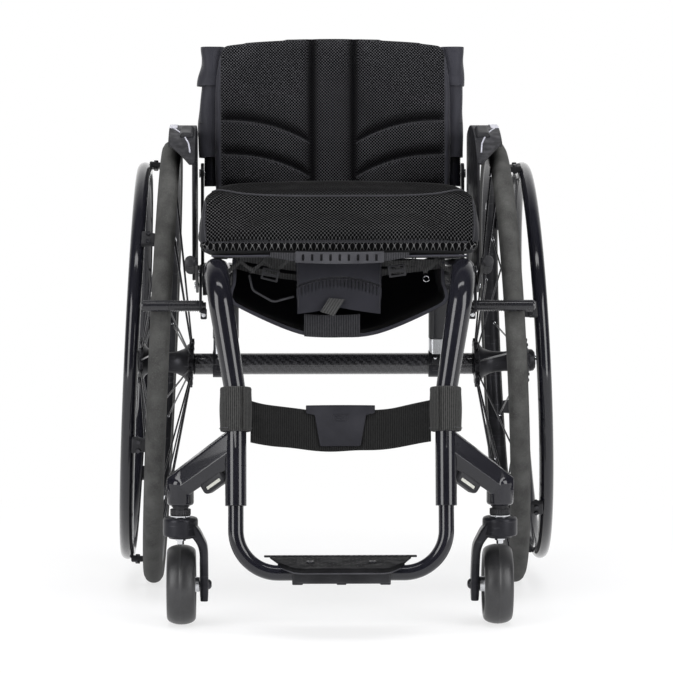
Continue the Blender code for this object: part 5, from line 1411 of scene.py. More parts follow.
def caster_bolt():
    """The axle bolt with a domed head outside the fork, a sleeve to the hub and a nut beyond the wheel."""
    end, outer = CASTER_WIDTH / 2 - 0.0035, FORK_OUTER
    shaft = turned("caster_bolt_left", [
        (0, -outer - 0.004), (0.003, -outer - 0.004), (0.0048, -outer - 0.003), (0.0062, -outer - 0.0012),
        (0.0066, -outer + 0.0002), (0.0039, -outer + 0.0006), (0.0039, end), (0.0066, end),
        (0.0066, end + 0.002),
        (0.0058, end + 0.0026), (0, end + 0.0026),
    ], 32, Z_TO_X, False)
    socket = rod("bolt_socket", (-outer - 0.01, 0, 0), (-outer - 0.0016, 0, 0), 0.0022, 6)
    return put(cut(shaft, socket), Matrix.Translation((0, CASTER_TRAIL, CASTER_RADIUS)))


def caster_tyre():
    """A wide rounded tyre with a moulding line round its crown and a step at the bead."""
    half = CASTER_WIDTH / 2
    side = [
        (0.0345, half - 0.0046), (0.0362, half - 0.003), (0.0372, half - 0.0012), (0.0388, half - 0.0003),
        (0.041, half),
        (0.0434, half - 0.0006), (0.0456, half - 0.0024), (0.0473, half - 0.0052), (0.0485, half - 0.0084),
        (0.0493, half - 0.0118), (0.0497, 0.0034), (0.0498, 0.0006), (0.05, 0.0003),
    ]
    return turned("caster_tyre_left", side + [(radius, -out) for radius, out in reversed(side)], 112, Z_TO_X)


def caster_hub():
    """A turned alloy hub: a rim, a web with six round windows, and a boss that reaches the fork."""
    half = 0.0145
    outline = [
        (0.0066, -0.0226), (0.0086, -0.0226), (0.0092, -0.022), (0.0096, -half), (0.012, -0.0102),
        (0.015, -0.0056),
        (0.0262, -0.0052), (0.029, -0.01), (0.0306, -half + 0.0004), (0.0338, -half),
        (0.0342, -half + 0.0006),
        (0.0342, half - 0.0006), (0.0338, half), (0.0306, half - 0.0004), (0.029, 0.01), (0.0262, 0.0052),
        (0.015, 0.0056), (0.012, 0.0102), (0.0104, half - 0.0004), (0.0066, half),
    ]
    hub = turned("caster_hub_left", outline, 72)
    window = rod("window", (0.0208, 0, -0.02), (0.0208, 0, 0.02), 0.0043, 24)
    cut(hub, ring_of("windows", window, 6, lambda i: Matrix.Rotation(pi / 3 * i, 4, "Z")))
    seals = [
        turned("seal", [(0.0046, z), (0.0068, z), (0.0068, z + step), (0.0046, z + step)], 40)
        for z, step in ((-0.022, 0.001), (half - 0.0014, 0.0008))
    ]
    return put(bevel(hub, 0.0003, 1, radians(55)), Z_TO_X), put(together("caster_seals_left", *seals), Z_TO_X)


def caster_pieces():
    arm, root, stem = caster_arm()
    keep_both(arm, GLOSS_BLACK, "frame", ["caster_arm_left"], 45)
    shell, lens = arm_capsule(root, stem)
    keep_both(shell, MOULDED, "frame")
    keep_both(lens, PALE_PLASTIC, "frame")
    keep_both(caster_nut(), MOULDED, "frame", ["caster_nut_left"])
    axle_place = SWIVEL @ Matrix.Translation((0, CASTER_TRAIL, CASTER_RADIUS))
    fork = put(caster_fork(), SWIVEL)
    keep_both(fork, FORK_BLACK, "caster_fork_left", ["caster_fork_left"], 50)
    keep_both(put(caster_stem(), SWIVEL), BRIGHT, "caster_fork_left")
    bolt = put(caster_bolt(), SWIVEL)
    keep_both(bolt, DARK_STEEL, "caster_fork_left", ["caster_bolt_left"])
    rubber_ring = put(caster_tyre(), axle_place)
    keep_both(rubber_ring, CASTER_RUBBER, "caster_wheel_left", ["caster_tyre_left"], 50)
    hub, seals = caster_hub()
    keep_both(put(hub, axle_place), SILVER, "caster_wheel_left", ["caster_hub_left"])
    keep_both(put(seals, axle_place), MOULDED, "caster_wheel_left")


caster_pieces()


# Footplate

PLATE_FRONT = AXLE_Y - FOOTPLATE_REACH
PLATE_REAR = PLATE_FRONT + FOOTPLATE_DEPTH
PLATE_SCREW_X = 0.038
FOOT_TUBE_Y = on_leg(0, FOOT_TUBE_HEIGHT).y
PLATE_TILT = (
    Matrix.Translation((0, FOOT_TUBE_Y, FOOTPLATE_LOW)) @ Matrix.Rotation(radians(1.6), 4, "X")
    @ Matrix.Translation((0, -FOOT_TUBE_Y, -FOOTPLATE_LOW))
)


def footplate():
    """A thin carbon plate with a tapered, rounded front and a finger's radius round its edge."""
    half_way = PLATE_REAR - FOOTPLATE_DEPTH / 2
    corners = [
        (0.088, PLATE_REAR), (-0.088, PLATE_REAR), (-0.077, half_way), (-0.056, PLATE_FRONT),
        (0.056, PLATE_FRONT), (0.077, half_way),
    ]
    bends = [0.004, 0.004, 0.03, 0.018, 0.018, 0.03]
    outline = [(p.x, p.y) for p in rounded(corners, bends, True, radians(5))]
    middle = Matrix.Translation((0, 0, FOOTPLATE_LOW + 0.0015))
    board = plate("footplate", outline, 0.003, middle, 0.0007, 2)
    front = [(x, y) for x, y in outline if y < PLATE_REAR - 0.03]
    behind = [(x * 0.977, y + 0.0018) for x, y in reversed(front)]
    middle = Matrix.Translation((0, 0, FOOTPLATE_LOW - 0.0008))
    lip = plate("footplate_lip", front + behind, 0.0062, middle, 0.0005, 2)
    return mapped(put(together("footplate", board, lip), PLATE_TILT)), front


def tread():
    """Raised studs in rows across the plate's top, left out round the screws."""
    stud = turned("stud", [(0, -0.0004), (0.0012, -0.0004), (0.001, 0.0001), (0, 0.0002)], 8, None, False)
    studs = []
    rows, pitch = 8, 0.0096
    for row in range(rows):
        y = PLATE_FRONT + 0.016 + row * 0.0094
        half = 0.044 + 0.0335 * row / (rows - 1)
        count = 2 * int(half / pitch) + row % 2
        for k in range(count + 1):
            x = (k - count / 2) * pitch
            if abs(abs(x) - PLATE_SCREW_X) < 0.008 and row == 3:
                continue
            studs.append(copied(stud, "stud", Matrix.Translation((x, y, FOOTPLATE_LOW + 0.003))))
    bpy.data.objects.remove(stud)
    return together("footplate_studs", *studs)


def heel_edge():
    """The knurled strip along the plate's rear edge, where the heel's strap would rest."""
    y, low = PLATE_REAR - 0.0046, FOOTPLATE_LOW
    bar = block("heel_bar", (-0.0021, y - 0.0026, low + 0.0029), (0.0021, y + 0.0026, low + 0.004), 0.0005, 1)
    slant = Matrix.Rotation(radians(35), 4, "Z")
    put(bar, Matrix.Translation((0, y, 0)) @ slant @ Matrix.Translation((0, -y, 0)))
    bars = [copied(bar, "heel_bar", Matrix.Translation(((k - 12) * 0.0066, 0, 0))) for k in range(25)]
    bpy.data.objects.remove(bar)
    rear = y + 0.0046
    rest = block(
        "heel_rest", (-0.0942, rear - 0.003, low + 0.0012), (0.0942, rear + 0.0006, low + 0.0038), 0.0008,
        3,
    )
    return together("heel_knurl", rest, *bars)


def footplate_clamp():
    """The saddle under the footrest tube, with three feet, and the screws through the plate."""
    y, height = FOOT_TUBE_Y, FOOT_TUBE_HEIGHT
    reach = FOOT_TUBE_RADIUS + 0.0003 + 0.0035
    low, top = height - reach, FOOTPLATE_LOW - 0.0007
    saddle = block("footplate_clamp", (-0.06, y - reach, low + 0.0012), (0.06, y + reach, top), 0.003, 3)
    for x, half in ((-0.0535, 0.0065), (0, 0.006), (0.0535, 0.0065)):
        corners = (x - half, y - reach * 0.94, low), (x + half, y + reach * 0.94, height)
        join(saddle, block("clamp_foot", *corners, 0.0012, 2))
    sides = (-PLATE_SCREW_X, PLATE_SCREW_X)
    for x in sides:
        cut(saddle, rod("screw_well", (x, y, low - 0.01), (x, y, low + 0.0022), 0.0048, 24))
    cut(saddle, rod("tube_space", (-0.07, y, height), (0.07, y, height), FOOT_TUBE_RADIUS + 0.0003, 48))
    head = FOOTPLATE_LOW + 0.0026
    screws = [cap_screw("plate_screw", (x, y, head), (0, 0, 1), 0.0046, 0.0022, 28) for x in sides]
    screws += [cap_screw("clamp_nut", (x, y, low + 0.0022), (0, 0, -1), 0.004, 0.002, 6) for x in sides]
    return saddle, together("footplate_screws", *screws)


def foot_pieces():
    board, front = footplate()
    keep(board, FOOT_BOARD, "frame", ["footplate"])
    # Painted highlight: a grey cord under the plate's front edge stands for the pale line where that edge
    # catches the light.
    edge = cording("footplate_edge_highlight", [(x, y, FOOTPLATE_LOW - 0.0034) for x, y in front], 0.0009, 8)
    keep(put(edge, PLATE_TILT), GREY_PLASTIC, "frame")
    keep(put(tread(), PLATE_TILT), TREAD_RUBBER, "frame")
    keep(put(heel_edge(), PLATE_TILT), MOULDED, "frame")
    saddle, screws = footplate_clamp()
    keep(saddle, MOULDED, "frame", ["footplate_clamp"])
    keep(screws, DARK_STEEL, "frame")


foot_pieces()


# Calf strap

STRAP_REACH = LEG_X - SLEEVE_RADIUS + 0.0018


def strap_middle(x):
    """The strap's middle line, bowed back and sagging between the sleeves."""
    belly = 1 - (x / STRAP_REACH) ** 2
    return Vector((x, on_leg(0, SLEEVE_LEVEL).y + STRAP_BOW * belly, STRAP_LEVEL - STRAP_SAG * belly))


def calf_strap():
    """The elastic band, bowed back between the sleeves, puckered where it is sewn and wavy at its edges."""
    def place(u, v):
        x = u * (STRAP_REACH - 0.0001)
        belly = 1 - u * u
        height = STRAP_HEIGHT / 2 - 0.0008 * belly
        pucker = 0.0011 * abs(u) ** 5 * cos(v * 9) + 0.0009 * sin(17 * u + 2 * v) * (1 - belly * 0.4)
        return strap_middle(x) + Vector((0, pucker, v * height + 0.0007 * sin(9 * u) * v * v))

    spots = [strap_middle(STRAP_REACH * k / 20) for k in range(-20, 21)]
    length = sum((there - here).length for here, there in zip(spots, spots[1:]))
    return cloth_panel("calf_strap", (length, STRAP_HEIGHT), (90, 14), place, 0.0019), length


def strap_sleeve():
    """The sewn sleeve on the leg: a slightly full tube with rolled rims and a lapped seam outside."""
    low, high = [on_leg(LEG_X, SLEEVE_LEVEL + end * SLEEVE_HEIGHT / 2) for end in (-1, 1)]
    length = (high - low).length
    middle = Matrix.Translation((low + high) / 2) @ turn_to(high - low)
    half = length / 2
    rim = [(0.0148, 0.003), (0.015, 0.0008), (0.0166, 0), (0.0186, 0.0006), (0.0194, 0.0028)]
    outline = [(radius, -half + inward) for radius, inward in rim]
    outline += [(0.0196 + 0.0004 * cos(pi * k / 6), half * k / 6.6) for k in range(-5, 6)]
    outline += [(radius, half - inward) for radius, inward in reversed(rim)]
    sleeve = turned("strap_sleeve_left", outline, 64, middle)
    lap = block("sleeve_lap", (-0.0028, -0.0205, -half + 0.0012), (0.0105, -0.019, half - 0.0012), 0.0006, 2)
    put(lap, middle @ Matrix.Rotation(radians(128), 4, "Z"))
    back = middle.inverted()

    def roll(co, normal):
        place = back @ co
        return (atan2(place.x, place.y) * SLEEVE_RADIUS, place.z)

    return mapped(together("strap_sleeve_left", sleeve, lap), roll), middle, half


def sleeve_stitches(middle, half):
    """The rows that close the sleeve: one down its inner side and one round its lower hem."""
    rows = []
    for k in range(14):
        rows.append((radians(-28), half * (2 * (k + 0.5) / 14 - 1) * 0.93, True))
    for k in range(30):
        rows.append((radians(-150 + 10 * k), -half + 0.0042, False))
    made = []
    stitch = rod("stitch", (0, 0, -0.0011), (0, 0, 0.0011), 0.00032, 6, 0.0002)
    for angle, z, upright in rows:
        out = Vector((sin(angle), -cos(angle), 0))
        along = Vector((0, 0, 1)) if upright else Vector((cos(angle), sin(angle), 0))
        seat = middle @ Matrix.Translation(out * 0.0201 + Vector((0, 0, z))) @ turn_to(along)
        made.append(copied(stitch, "stitch", seat))
    bpy.data.objects.remove(stitch)
    return together("sleeve_stitches_left", *made)


def buckle():
    """The T-shaped plate on the band: wings, a tapering body with a raised rim and a small window."""
    top = 0.2783
    wing, body, foot = 0.0425, 0.0318, 0.025
    corners = [
        (-wing, 0), (wing, 0), (wing, -0.0098), (body, -0.012), (foot, -0.051), (-foot, -0.051),
        (-body, -0.012), (-wing, -0.0098),
    ]
    bends = [0.0008, 0.0008, 0.0022, 0.0022, 0.0034, 0.0034, 0.0022, 0.0022]
    outline = [(p.x, p.y) for p in rounded(corners, bends, True, radians(15))]
    shield = plate("calf_buckle", outline, 0.0026)
    edit(shield)
    select("FACE", lambda co, normal: normal.z > 0.9)
    bpy.ops.mesh.bevel(offset=0.0014, segments=2, affect="EDGES")
    close()
    window = block("window", (-0.0105, -0.0205, 0.0006), (0.0105, -0.011, 0.01), 0.001, 2)
    edit(window)
    select("VERT", lambda co, normal: co.y < -0.016)
    bpy.ops.transform.resize(value=(0.86, 1, 1), center_override=(0, 0, 0))
    close()
    cut(shield, window)
    for y in (-0.0135, -0.0158, -0.0181):
        join(shield, block("ridge", (-0.0066, y - 0.0006, 0.0003), (0.0066, y + 0.0006, 0.0011), 0.0003, 1))
    edit(shield)
    for k in range(-5, 6):
        bpy.ops.mesh.select_all(action="SELECT")
        bpy.ops.mesh.bisect(plane_co=(k * 0.0075, 0, 0), plane_no=(1, 0, 0))
    close()
    put(shield, FRONT_VIEW)
    half_band, gap, half_shield = 0.00125, 0.0003, 0.0013
    for vertex in shield.data.vertices:
        vertex.co.y += strap_middle(vertex.co.x).y - half_band - gap - half_shield
        vertex.co.z += top
    return shield


def strap_pieces():
    band, length = calf_strap()
    keep(band, ELASTIC, "frame", ["calf_strap"], 50)
    sleeve, middle, half = strap_sleeve()
    seams = sleeve_stitches(middle, half)
    keep_both(seams, THREAD, "frame")
    keep_both(sleeve, SLEEVE_CLOTH, "frame", ["strap_sleeve_left"], 50)
    keep(buckle(), BUCKLE_PLASTIC, "frame", ["calf_buckle"], 40)


strap_pieces()


# Cloth and padding


EDGE_PULL = 1.9
FILLING_PRESSURE = 4.0
FILLING_FRAMES = 20


def cage(name, cuts, form):
    """A coarse block cut into cells and formed point by point, then rounded off."""
    clear()
    bpy.ops.mesh.primitive_cube_add(size=2, location=(0, 0, 0))
    obj = added(name)
    edit(obj)
    for axis, count in enumerate(cuts):
        for k in range(1, count):
            normal = [0, 0, 0]
            normal[axis] = 1
            place = [0, 0, 0]
            place[axis] = 2 * k / count - 1
            bpy.ops.mesh.select_all(action="SELECT")
            bpy.ops.mesh.bisect(plane_co=place, plane_no=normal)
    close()
    for vertex in obj.data.vertices:
        vertex.co = form(*[copysign(1 - (1 - abs(c)) ** EDGE_PULL, c) for c in vertex.co])
    return smooth(obj, 3)


def stuffed(obj, grain, most, held):
    """Fills the sewn cover: an even cloth, blown up, its travel capped and its seams held."""
    skin = obj.modifiers.new("even cloth", "REMESH")
    skin.mode = "VOXEL"
    skin.voxel_size = grain
    applied(obj)
    start = [vertex.co.copy() for vertex in obj.data.vertices]
    seams = obj.vertex_groups.new(name="seams")
    for number, place in enumerate(start):
        seams.add([number], held(place), "REPLACE")
    cloth = obj.modifiers.new("filling", "CLOTH")
    cloth.settings.use_pressure = True
    cloth.settings.uniform_pressure_force = FILLING_PRESSURE
    cloth.settings.effector_weights.gravity = 0
    cloth.settings.vertex_group_mass = "seams"
    cloth.point_cache.frame_start = 1
    cloth.point_cache.frame_end = FILLING_FRAMES
    for number in range(1, FILLING_FRAMES + 1):
        bpy.context.scene.frame_set(number)
    applied(obj)
    for vertex, place in zip(obj.data.vertices, start):
        travel = vertex.co - place
        vertex.co = place + travel * min(1, most / max(travel.length, 0.00001))
    obj.vertex_groups.clear()
    bpy.context.scene.frame_set(1)
    return smooth(obj, 1)


def shaped(obj, form):
    """Moves every point of the shape by its place and the way that the surface faces there."""
    places = [(vertex.co.copy(), vertex.normal.copy()) for vertex in obj.data.vertices]
    for vertex, (place, out) in zip(obj.data.vertices, places):
        vertex.co = form(place, out)
    return obj


def shared_out(obj, materials, zone, back):
    """Adds the finishes and gives each face, moved back to where it was drawn, the one of its zone."""
    for material in materials:
        obj.data.materials.append(material)
    for face in obj.data.polygons:
        face.material_index = zone(back @ face.center, back.to_3x3() @ face.normal)


def laid_line(name, obj, points, toward, radius):
    """A thin cord sewn on a surface: each point is moved along the direction until it touches."""
    touched = []
    for point in points:
        hit, place, normal, _ = obj.ray_cast(Vector(point), Vector(toward))
        if hit:
            touched.append(place + normal * radius * 0.3)
    return cording(name, touched, radius)


# Seat

CUSHION_LOW = 0.0196
CUSHION_HALF_HEIGHT = 0.0425
PANEL_EDGE = 0.1655
POUCH_TOP = 0.0144


def cushion_form(u, v, w):
    side_pull = 1 - 0.02 * (1 - v * v) * abs(u) ** 3 - 0.035 * w * w * abs(u) ** 3
    end_pull = 1 - 0.012 * (1 - u * u) * abs(v) ** 3 - 0.03 * w * w * abs(v) ** 3
    crown = 0.006 * (1 - u * u) * (0.4 + 0.6 * cos(pi * u)) * (1 - 0.5 * v * v)
    rise = crown if w > 0 else 0
    drop = 0.01 * max(0, abs(u) - 0.85) / 0.15 if w > 0.5 else 0
    size = 0.985 if w > -0.9 else 0.995
    return Vector((
        u * 0.1808 * side_pull * size, -0.391 + 0.21 + v * 0.21 * end_pull * size,
        CUSHION_LOW + CUSHION_HALF_HEIGHT
        + (w * CUSHION_HALF_HEIGHT + (rise - drop) * w) * (0.98 if w > 0 else 1),
    ))


def cushion_folds(place):
    """Small creases at the front corners and down the side panels, in metres outward."""
    side = abs(place.x)
    near = hill(side, 0.16, 0.022) * hill(place.y, -0.388, 0.03)
    slant = hill(place.z, 0.088, 0.02) * sin((side * 0.7 + place.z) * 2 * pi / 0.0085)
    low = hill(place.z, 0.03, 0.014) * sin((place.z - side * 0.5) * 2 * pi / 0.007)
    sides = hill(side, 0.176, 0.01) * 0.6 * sin(place.y * 2 * pi / 0.034 + 3 * sin(place.z * 60))
    return 0.0011 * near * (slant + 0.7 * low) + 0.0009 * sides


def hill(value, middle, width):
    """A smooth hill from 0 to 1 about the middle."""
    return max(0.0, 1 - ((value - middle) / width) ** 2) ** 2


def seat_cushion():
    """The cushion: a crowned cover blown full, creased at its corners, with a mesh top darkened by painted
    shade.
    """
    cover = cage("seat_cushion", (6, 5, 3), cushion_form)

    def held(place):
        return 1.0 if place.z < 0.023 else 0.35 * hill(place.z, 0.03, 0.008)

    stuffed(cover, 0.0048, 0.0055, held)
    shaped(cover, lambda place, out: place + out * (
        cushion_folds(place) - 0.0012 * hill(place.z, 0.0345, 0.0035) * (place.y < -0.3)
    ))
    for vertex in cover.data.vertices:
        vertex.co.z = max(vertex.co.z, CUSHION_LOW)

    def zone(place, normal):
        if place.z < 0.034 and normal.z > -0.75:
            return 2
        at_rear = place.y > 0.0 and normal.y > 0.6
        return 1 if abs(place.x) > PANEL_EDGE or normal.z < -0.7 or at_rear else 0

    def lay(co, normal):
        sideways = abs(normal.x) > 0.8
        return (co.x + co.y * sideways, co.z + co.y * (not sideways))

    mapped(cover, lay)
    front = [(x * 0.001, -0.376 + 0.01 * (abs(x) / 158) ** 6, 0.2) for x in range(-158, 159, 6)]
    lines = [laid_line("cushion_piping", cover, front, (0, 0, -1), 0.0011)]
    for side in (-1, 1):
        bow = [PANEL_EDGE + 0.002 * sin(k / 16 * pi) for k in range(18)]
        down = [(side * x, -0.45, 0.036 + 0.0028 * k) for k, x in enumerate(bow)]
        lines.append(laid_line("side_piping", cover, down, (0, 1, 0), 0.0008))
    hem = [(x * 0.001, -0.45, 0.0346) for x in range(-160, 161, 8)]
    lines.append(laid_line("hem_piping", cover, hem, (0, 1, 0), 0.0007))
    piping = put(together("cushion_piping", *lines), SEAT)
    # Painted shade: this crease attribute follows no crease; it darkens the mesh's threads where the cover
    # faces up, so the top is darker than the front.
    crease = cover.data.attributes.new("crease", "FLOAT", "POINT")
    for spot, vertex in zip(crease.data, cover.data.vertices):
        spot.value = min(1, 1.25 * max(0, vertex.normal.z - 0.2))
    put(cover, SEAT)
    keep(cover, CUSHION_MESH, "frame", ["seat_cushion"], 60)
    shared_out(cover, [CUSHION_CLOTH, BORDER_MESH], zone, SEAT.inverted())
    keep(piping, PIPING, "frame")


def seat_sling():
    """The sling under the cushion: a stretched cloth with a doubled hem along its front and sides."""
    def place(u, v):
        dip = -0.0008 * (1 - u * u) * (1 - v ** 4) + 0.0003 * sin(u * 9) * cos(v * 7)
        return SEAT @ Vector((u * 0.1588, -0.165 + v * 0.2198, 0.0173 + dip + 0.0004))

    sling = cloth_panel("seat_sling", (0.3176, 0.4396), (30, 40), place, 0.0019)
    keep(sling, SLATE_NYLON, "frame", ["seat_sling"])
    hems = []
    for x in (-0.15, 0.15):
        low, high = (x - 0.0075, -0.3845, 0.0155), (x + 0.0075, 0.0545, 0.0168)
        hems.append(block("hem", low, high, 0.0004, 1, SEAT))
    hems.append(block("hem", (-0.142, -0.3849, 0.0155), (0.142, -0.369, 0.0167), 0.0004, 1, SEAT))
    keep(mapped(together("sling_hems", *hems)), WEBBING, "frame")


def cushion_grip():
    """The grey slotted bar at the cushion's front, on a strap that runs off to both sides."""
    top = [(x * 0.001, 0.023 - 0.0006 * (1 - (x / 55) ** 2)) for x in range(-55, 56, 5)]
    foot = [(x * 0.001, 0.009 - 0.0016 * (1 - (x / 55) ** 2)) for x in range(55, -56, -5)]
    front = SEAT @ Matrix.Translation((0, -0.3885, 0)) @ FRONT_VIEW
    bar = plate("cushion_grip", top + foot, 0.005, front, 0.001, 2)
    slots = []
    for k in range(9):
        x = (k - 4) * 0.01135
        low, high = (x - 0.0016, -0.4, 0.0112), (x + 0.0016, -0.3872, 0.0194)
        slots.append(block("slot", low, high, 0.0008, 2, SEAT))
    cut(bar, together("slots", *slots))
    ends = []
    for side in (-1, 1):
        def place(u, v, side=side):
            run = (u + 1) / 2
            z = 0.0158 + 0.003 * run + v * (0.0056 - 0.0026 * run)
            return SEAT @ Vector((side * (0.053 + 0.033 * run), -0.3878 + 0.0012 * run, z))
        ends.append(cloth_panel("grip_strap", (0.033, 0.011), (8, 4), place, 0.0014))
    keep(bar, GREY_PLASTIC, "frame", ["cushion_grip"], 40)
    keep(together("grip_strap", *ends), WEBBING, "frame")


def pouch_corners():
    half = SEAT_TUBE_X - SEAT_TUBE_RADIUS - 0.0056
    right = [
        (half, POUCH_TOP), (half, -0.0155), (half + 0.004, -0.031), (half - 0.004, -0.0448),
        (0.052, -0.0785), (0.0, -0.0842),
    ]
    return right + [(-x, z) for x, z in reversed(right[:-1])]


def pouch_point(share):
    """A point on the pouch's section, from its left top (-1) round the bottom to its right top (1)."""
    run = eased([(-x, 0, z) for x, z in pouch_corners()], 8)
    lengths = [0.0]
    for a, b in zip(run, run[1:]):
        lengths.append(lengths[-1] + (b - a).length)
    want = (share + 1) / 2 * lengths[-1]
    for i in range(len(run) - 1):
        if lengths[i + 1] >= want:
            return run[i].lerp(run[i + 1], (want - lengths[i]) / (lengths[i + 1] - lengths[i])), lengths[-1]
    return run[-1], lengths[-1]


def seat_pouch():
    """The cloth hammock under the seat, open in front, gathered in at its rear, with a taped mouth."""
    section = {k: pouch_point(k / 24) for k in range(-24, 25)}
    length = section[0][1]

    def place(u, v):
        point = section[round(u * 24)][0]
        rear = (v + 1) / 2
        lift = (1 - 0.1 * rear ** 2) * sqrt(1 - max(0, (rear - 0.78) / 0.22) ** 2.4)
        sway = 0.0018 * sin(u * 7 + v * 5) * (1 - abs(u)) * (0.3 + rear)
        z = POUCH_TOP + (point.z - POUCH_TOP) * lift + sway
        return SEAT @ Vector((point.x * (1 - 0.02 * rear), -0.3296 + 0.219 * rear, z))

    pouch = cloth_panel("seat_pouch", (length, 0.24), (48, 22), place, 0.0014)
    keep(pouch, BLACK_NYLON, "frame", ["seat_pouch"], 60)

    def mouth(u, v):
        point = section[round(u * 24)][0]
        inward = Vector((point.x, 0, point.z - POUCH_TOP)).normalized() * 0.002
        place = Vector((point.x, 0, point.z)) - inward * (v + 1)
        return SEAT @ Vector((place.x, -0.3309, place.z))

    tape = cloth_panel("pouch_binding", (length, 0.004), (48, 2), mouth, 0.0014)
    keep(tape, BACK_NYLON, "frame")


def pocket_flap():
    """The pocket flap: a belly, pleats gathered under a curved seam, and an arched lower edge."""
    def place(u, v):
        share = (1 - v) / 2
        low = 0.069 - 0.008 * (1 - abs(u)) ** 1.2 * share ** 3
        z = FLAP_TOP - low * share
        seam = 0.34 + 0.17 * u * u
        gathers = 0.0026 * hill(share, seam + 0.11, 0.14) * cos(u * 74) * (0.6 + 0.4 * hill(u, 0.55, 0.6))
        crease = -0.0046 * hill(share, seam, 0.026)
        belly = 0.004 * sin(pi * share) + 0.0015 * share * (1 - u * u)
        y = -0.342 - belly - gathers - crease + 0.002
        return SEAT @ Vector((u * 0.0535 * (1 - 0.03 * share), y, z - 0.0006))

    flap = cloth_panel("pouch_flap", (0.107, 0.067), (110, 60), place, 0.0016)
    keep(flap, FLAP_NYLON, "frame", ["pouch_flap"], 60)
    lines = []

    def sew(name, points, radius):
        seated = [SEAT @ Vector(point) for point in points]
        lines.append(laid_line(name, flap, seated, SEAT.to_3x3() @ Vector((0, 1, 0)), radius))

    across = []
    for x in range(-51, 52, 3):
        across.append((x * 0.001, -0.4, FLAP_TOP - 0.068 * (0.34 + 0.17 * (x / 53.5) ** 2) - 0.0012))
    sew("flap_seam", across, 0.0008)
    sew("flap_seam", [(x, y, z - 0.0022) for x, y, z in across], 0.0004)
    for side in (-1, 1):
        edge = [(side * (0.0518 - 0.0014 * k / 14), -0.4, 0.0135 - 0.0044 * k) for k in range(15)]
        sew("flap_edge", edge, 0.0007)
    keep(together("flap_seams", *lines), PIPING, "frame")

    def tab_place(u, v):
        top = Vector((-0.0125, -0.03)).lerp(Vector((0.007, -0.0318)), (u + 1) / 2)
        foot = Vector((-0.0235, -0.047)).lerp(Vector((-0.0062, -0.0525)), (u + 1) / 2)
        point = top.lerp(foot, (1 - v) / 2)
        y = -0.3484 - 0.0026 * (1 - v) / 2 - 0.0008 * cos(v * 3)
        return SEAT @ Vector((point.x, y, point.y - 0.005))

    tab = cloth_panel("pull_tab", (0.019, 0.021), (8, 10), tab_place, 0.0018)
    keep(tab, TAB_WEBBING, "frame")

    def patch_place(u, v):
        return SEAT @ Vector((u * 0.035 - 0.0085, -0.3322, -0.069 + v * 0.014 - 0.0016 * (1 - u * u)))

    patch = cloth_panel("ribbed_patch", (0.07, 0.028), (20, 6), patch_place, 0.0016)
    keep(patch, WEBBING, "frame")


def under_straps():
    """Webbing that laces the sling's two halves under the seat, with a slide and a small ring."""
    strips = []
    crossings = (
        (0.33, 0.004, 0.12), (0.318, 0.015, 0.3), (0.306, 0.023, -0.3), (0.18, 0.006, 0), (0.1, 0.006, 0),
    )
    for ahead, drop, lean in crossings:
        def place(u, v, ahead=ahead, drop=drop, lean=lean):
            sag = drop * (1 - u * u) + lean * 0.02 * u
            return SEAT @ Vector((u * 0.133, -ahead + 0.0055 * v, 0.0128 - sag - 0.0035 * v * (ahead > 0.3)))
        strips.append(cloth_panel("lacing", (0.268, 0.011), (36, 3), place, 0.0012))
    for side in (-1, 1):
        for number in range(5):
            def place(u, v, side=side, number=number):
                run = (u + 1) / 2
                lean = (-1) ** number * (0.5 - run) * 0.016
                x = side * (0.062 + 0.0145 * number + 0.02 * run)
                z = 0.006 + lean + 0.0028 * v - 0.0016 * sin(pi * run)
                return SEAT @ Vector((x, -0.342 - 0.0016 * number, z))
            strips.append(cloth_panel("cross_lacing", (0.026, 0.0056), (10, 2), place, 0.001))
    keep(together("sling_lacing", *strips), TAB_WEBBING, "frame")
    route = [
        (-0.112, -0.3335, -0.006), (-0.108, -0.3335, -0.025), (-0.082, -0.3345, -0.04),
        (-0.056, -0.3335, -0.033),
    ]
    loop = bent_tube("hanging_loop", route, [0, 0.01, 0.012, 0], 0.0014, 10)
    keep(put(loop, SEAT), WEBBING, "frame")
    slide = block("slide", (-0.011, -0.0022, -0.0075), (0.011, 0.0022, 0.0075), 0.0012, 2)
    for z in (-0.0035, 0.0035):
        cut(slide, block("window", (-0.008, -0.01, z - 0.0016), (0.008, 0.01, z + 0.0016), 0.0005, 1))
    places = [
        SEAT @ Matrix.Translation((0.072, -0.36, -0.001)) @ Matrix.Rotation(radians(-8), 4, "Y"),
        SEAT @ Matrix.Translation((-0.086, -0.348, -0.006)) @ Matrix.Rotation(radians(14), 4, "Y"),
    ]
    slides = [copied(slide, "slide", place) for place in places]
    bpy.data.objects.remove(slide)
    keep(together("strap_slides", *slides), MOULDED, "frame")
    clear()
    bpy.ops.mesh.primitive_torus_add(
        major_radius=0.0036, minor_radius=0.0008, major_segments=28, minor_segments=10,
    )
    hung = SEAT @ Matrix.Translation((0.109, -0.345, -0.011)) @ Matrix.Rotation(radians(75), 4, "X")
    keep(put(added("lacing_ring"), hung), BRIGHT, "frame")


seat_cushion()
seat_sling()
cushion_grip()
seat_pouch()
pocket_flap()
under_straps()


# Backrest


def from_side(x, view=SIDE_VIEW):
    """Stands a drawn side view up at this side distance."""
    return Matrix.Translation((x, AXLE_Y, 0)) @ view


PAD_BACK = -0.0144
PAD_HALF = 0.161
PAD_LOW, PAD_HIGH = -0.045, 0.178
CHANNEL_X = 0.028
CHANNEL_FEET = (0.04, -0.006, -0.052)
CHANNEL_DEPTH = 0.0068
BINDING_X = 0.1512
SLEEVE_INSIDE = 0.149
SLEEVE_SEAM = 0.068


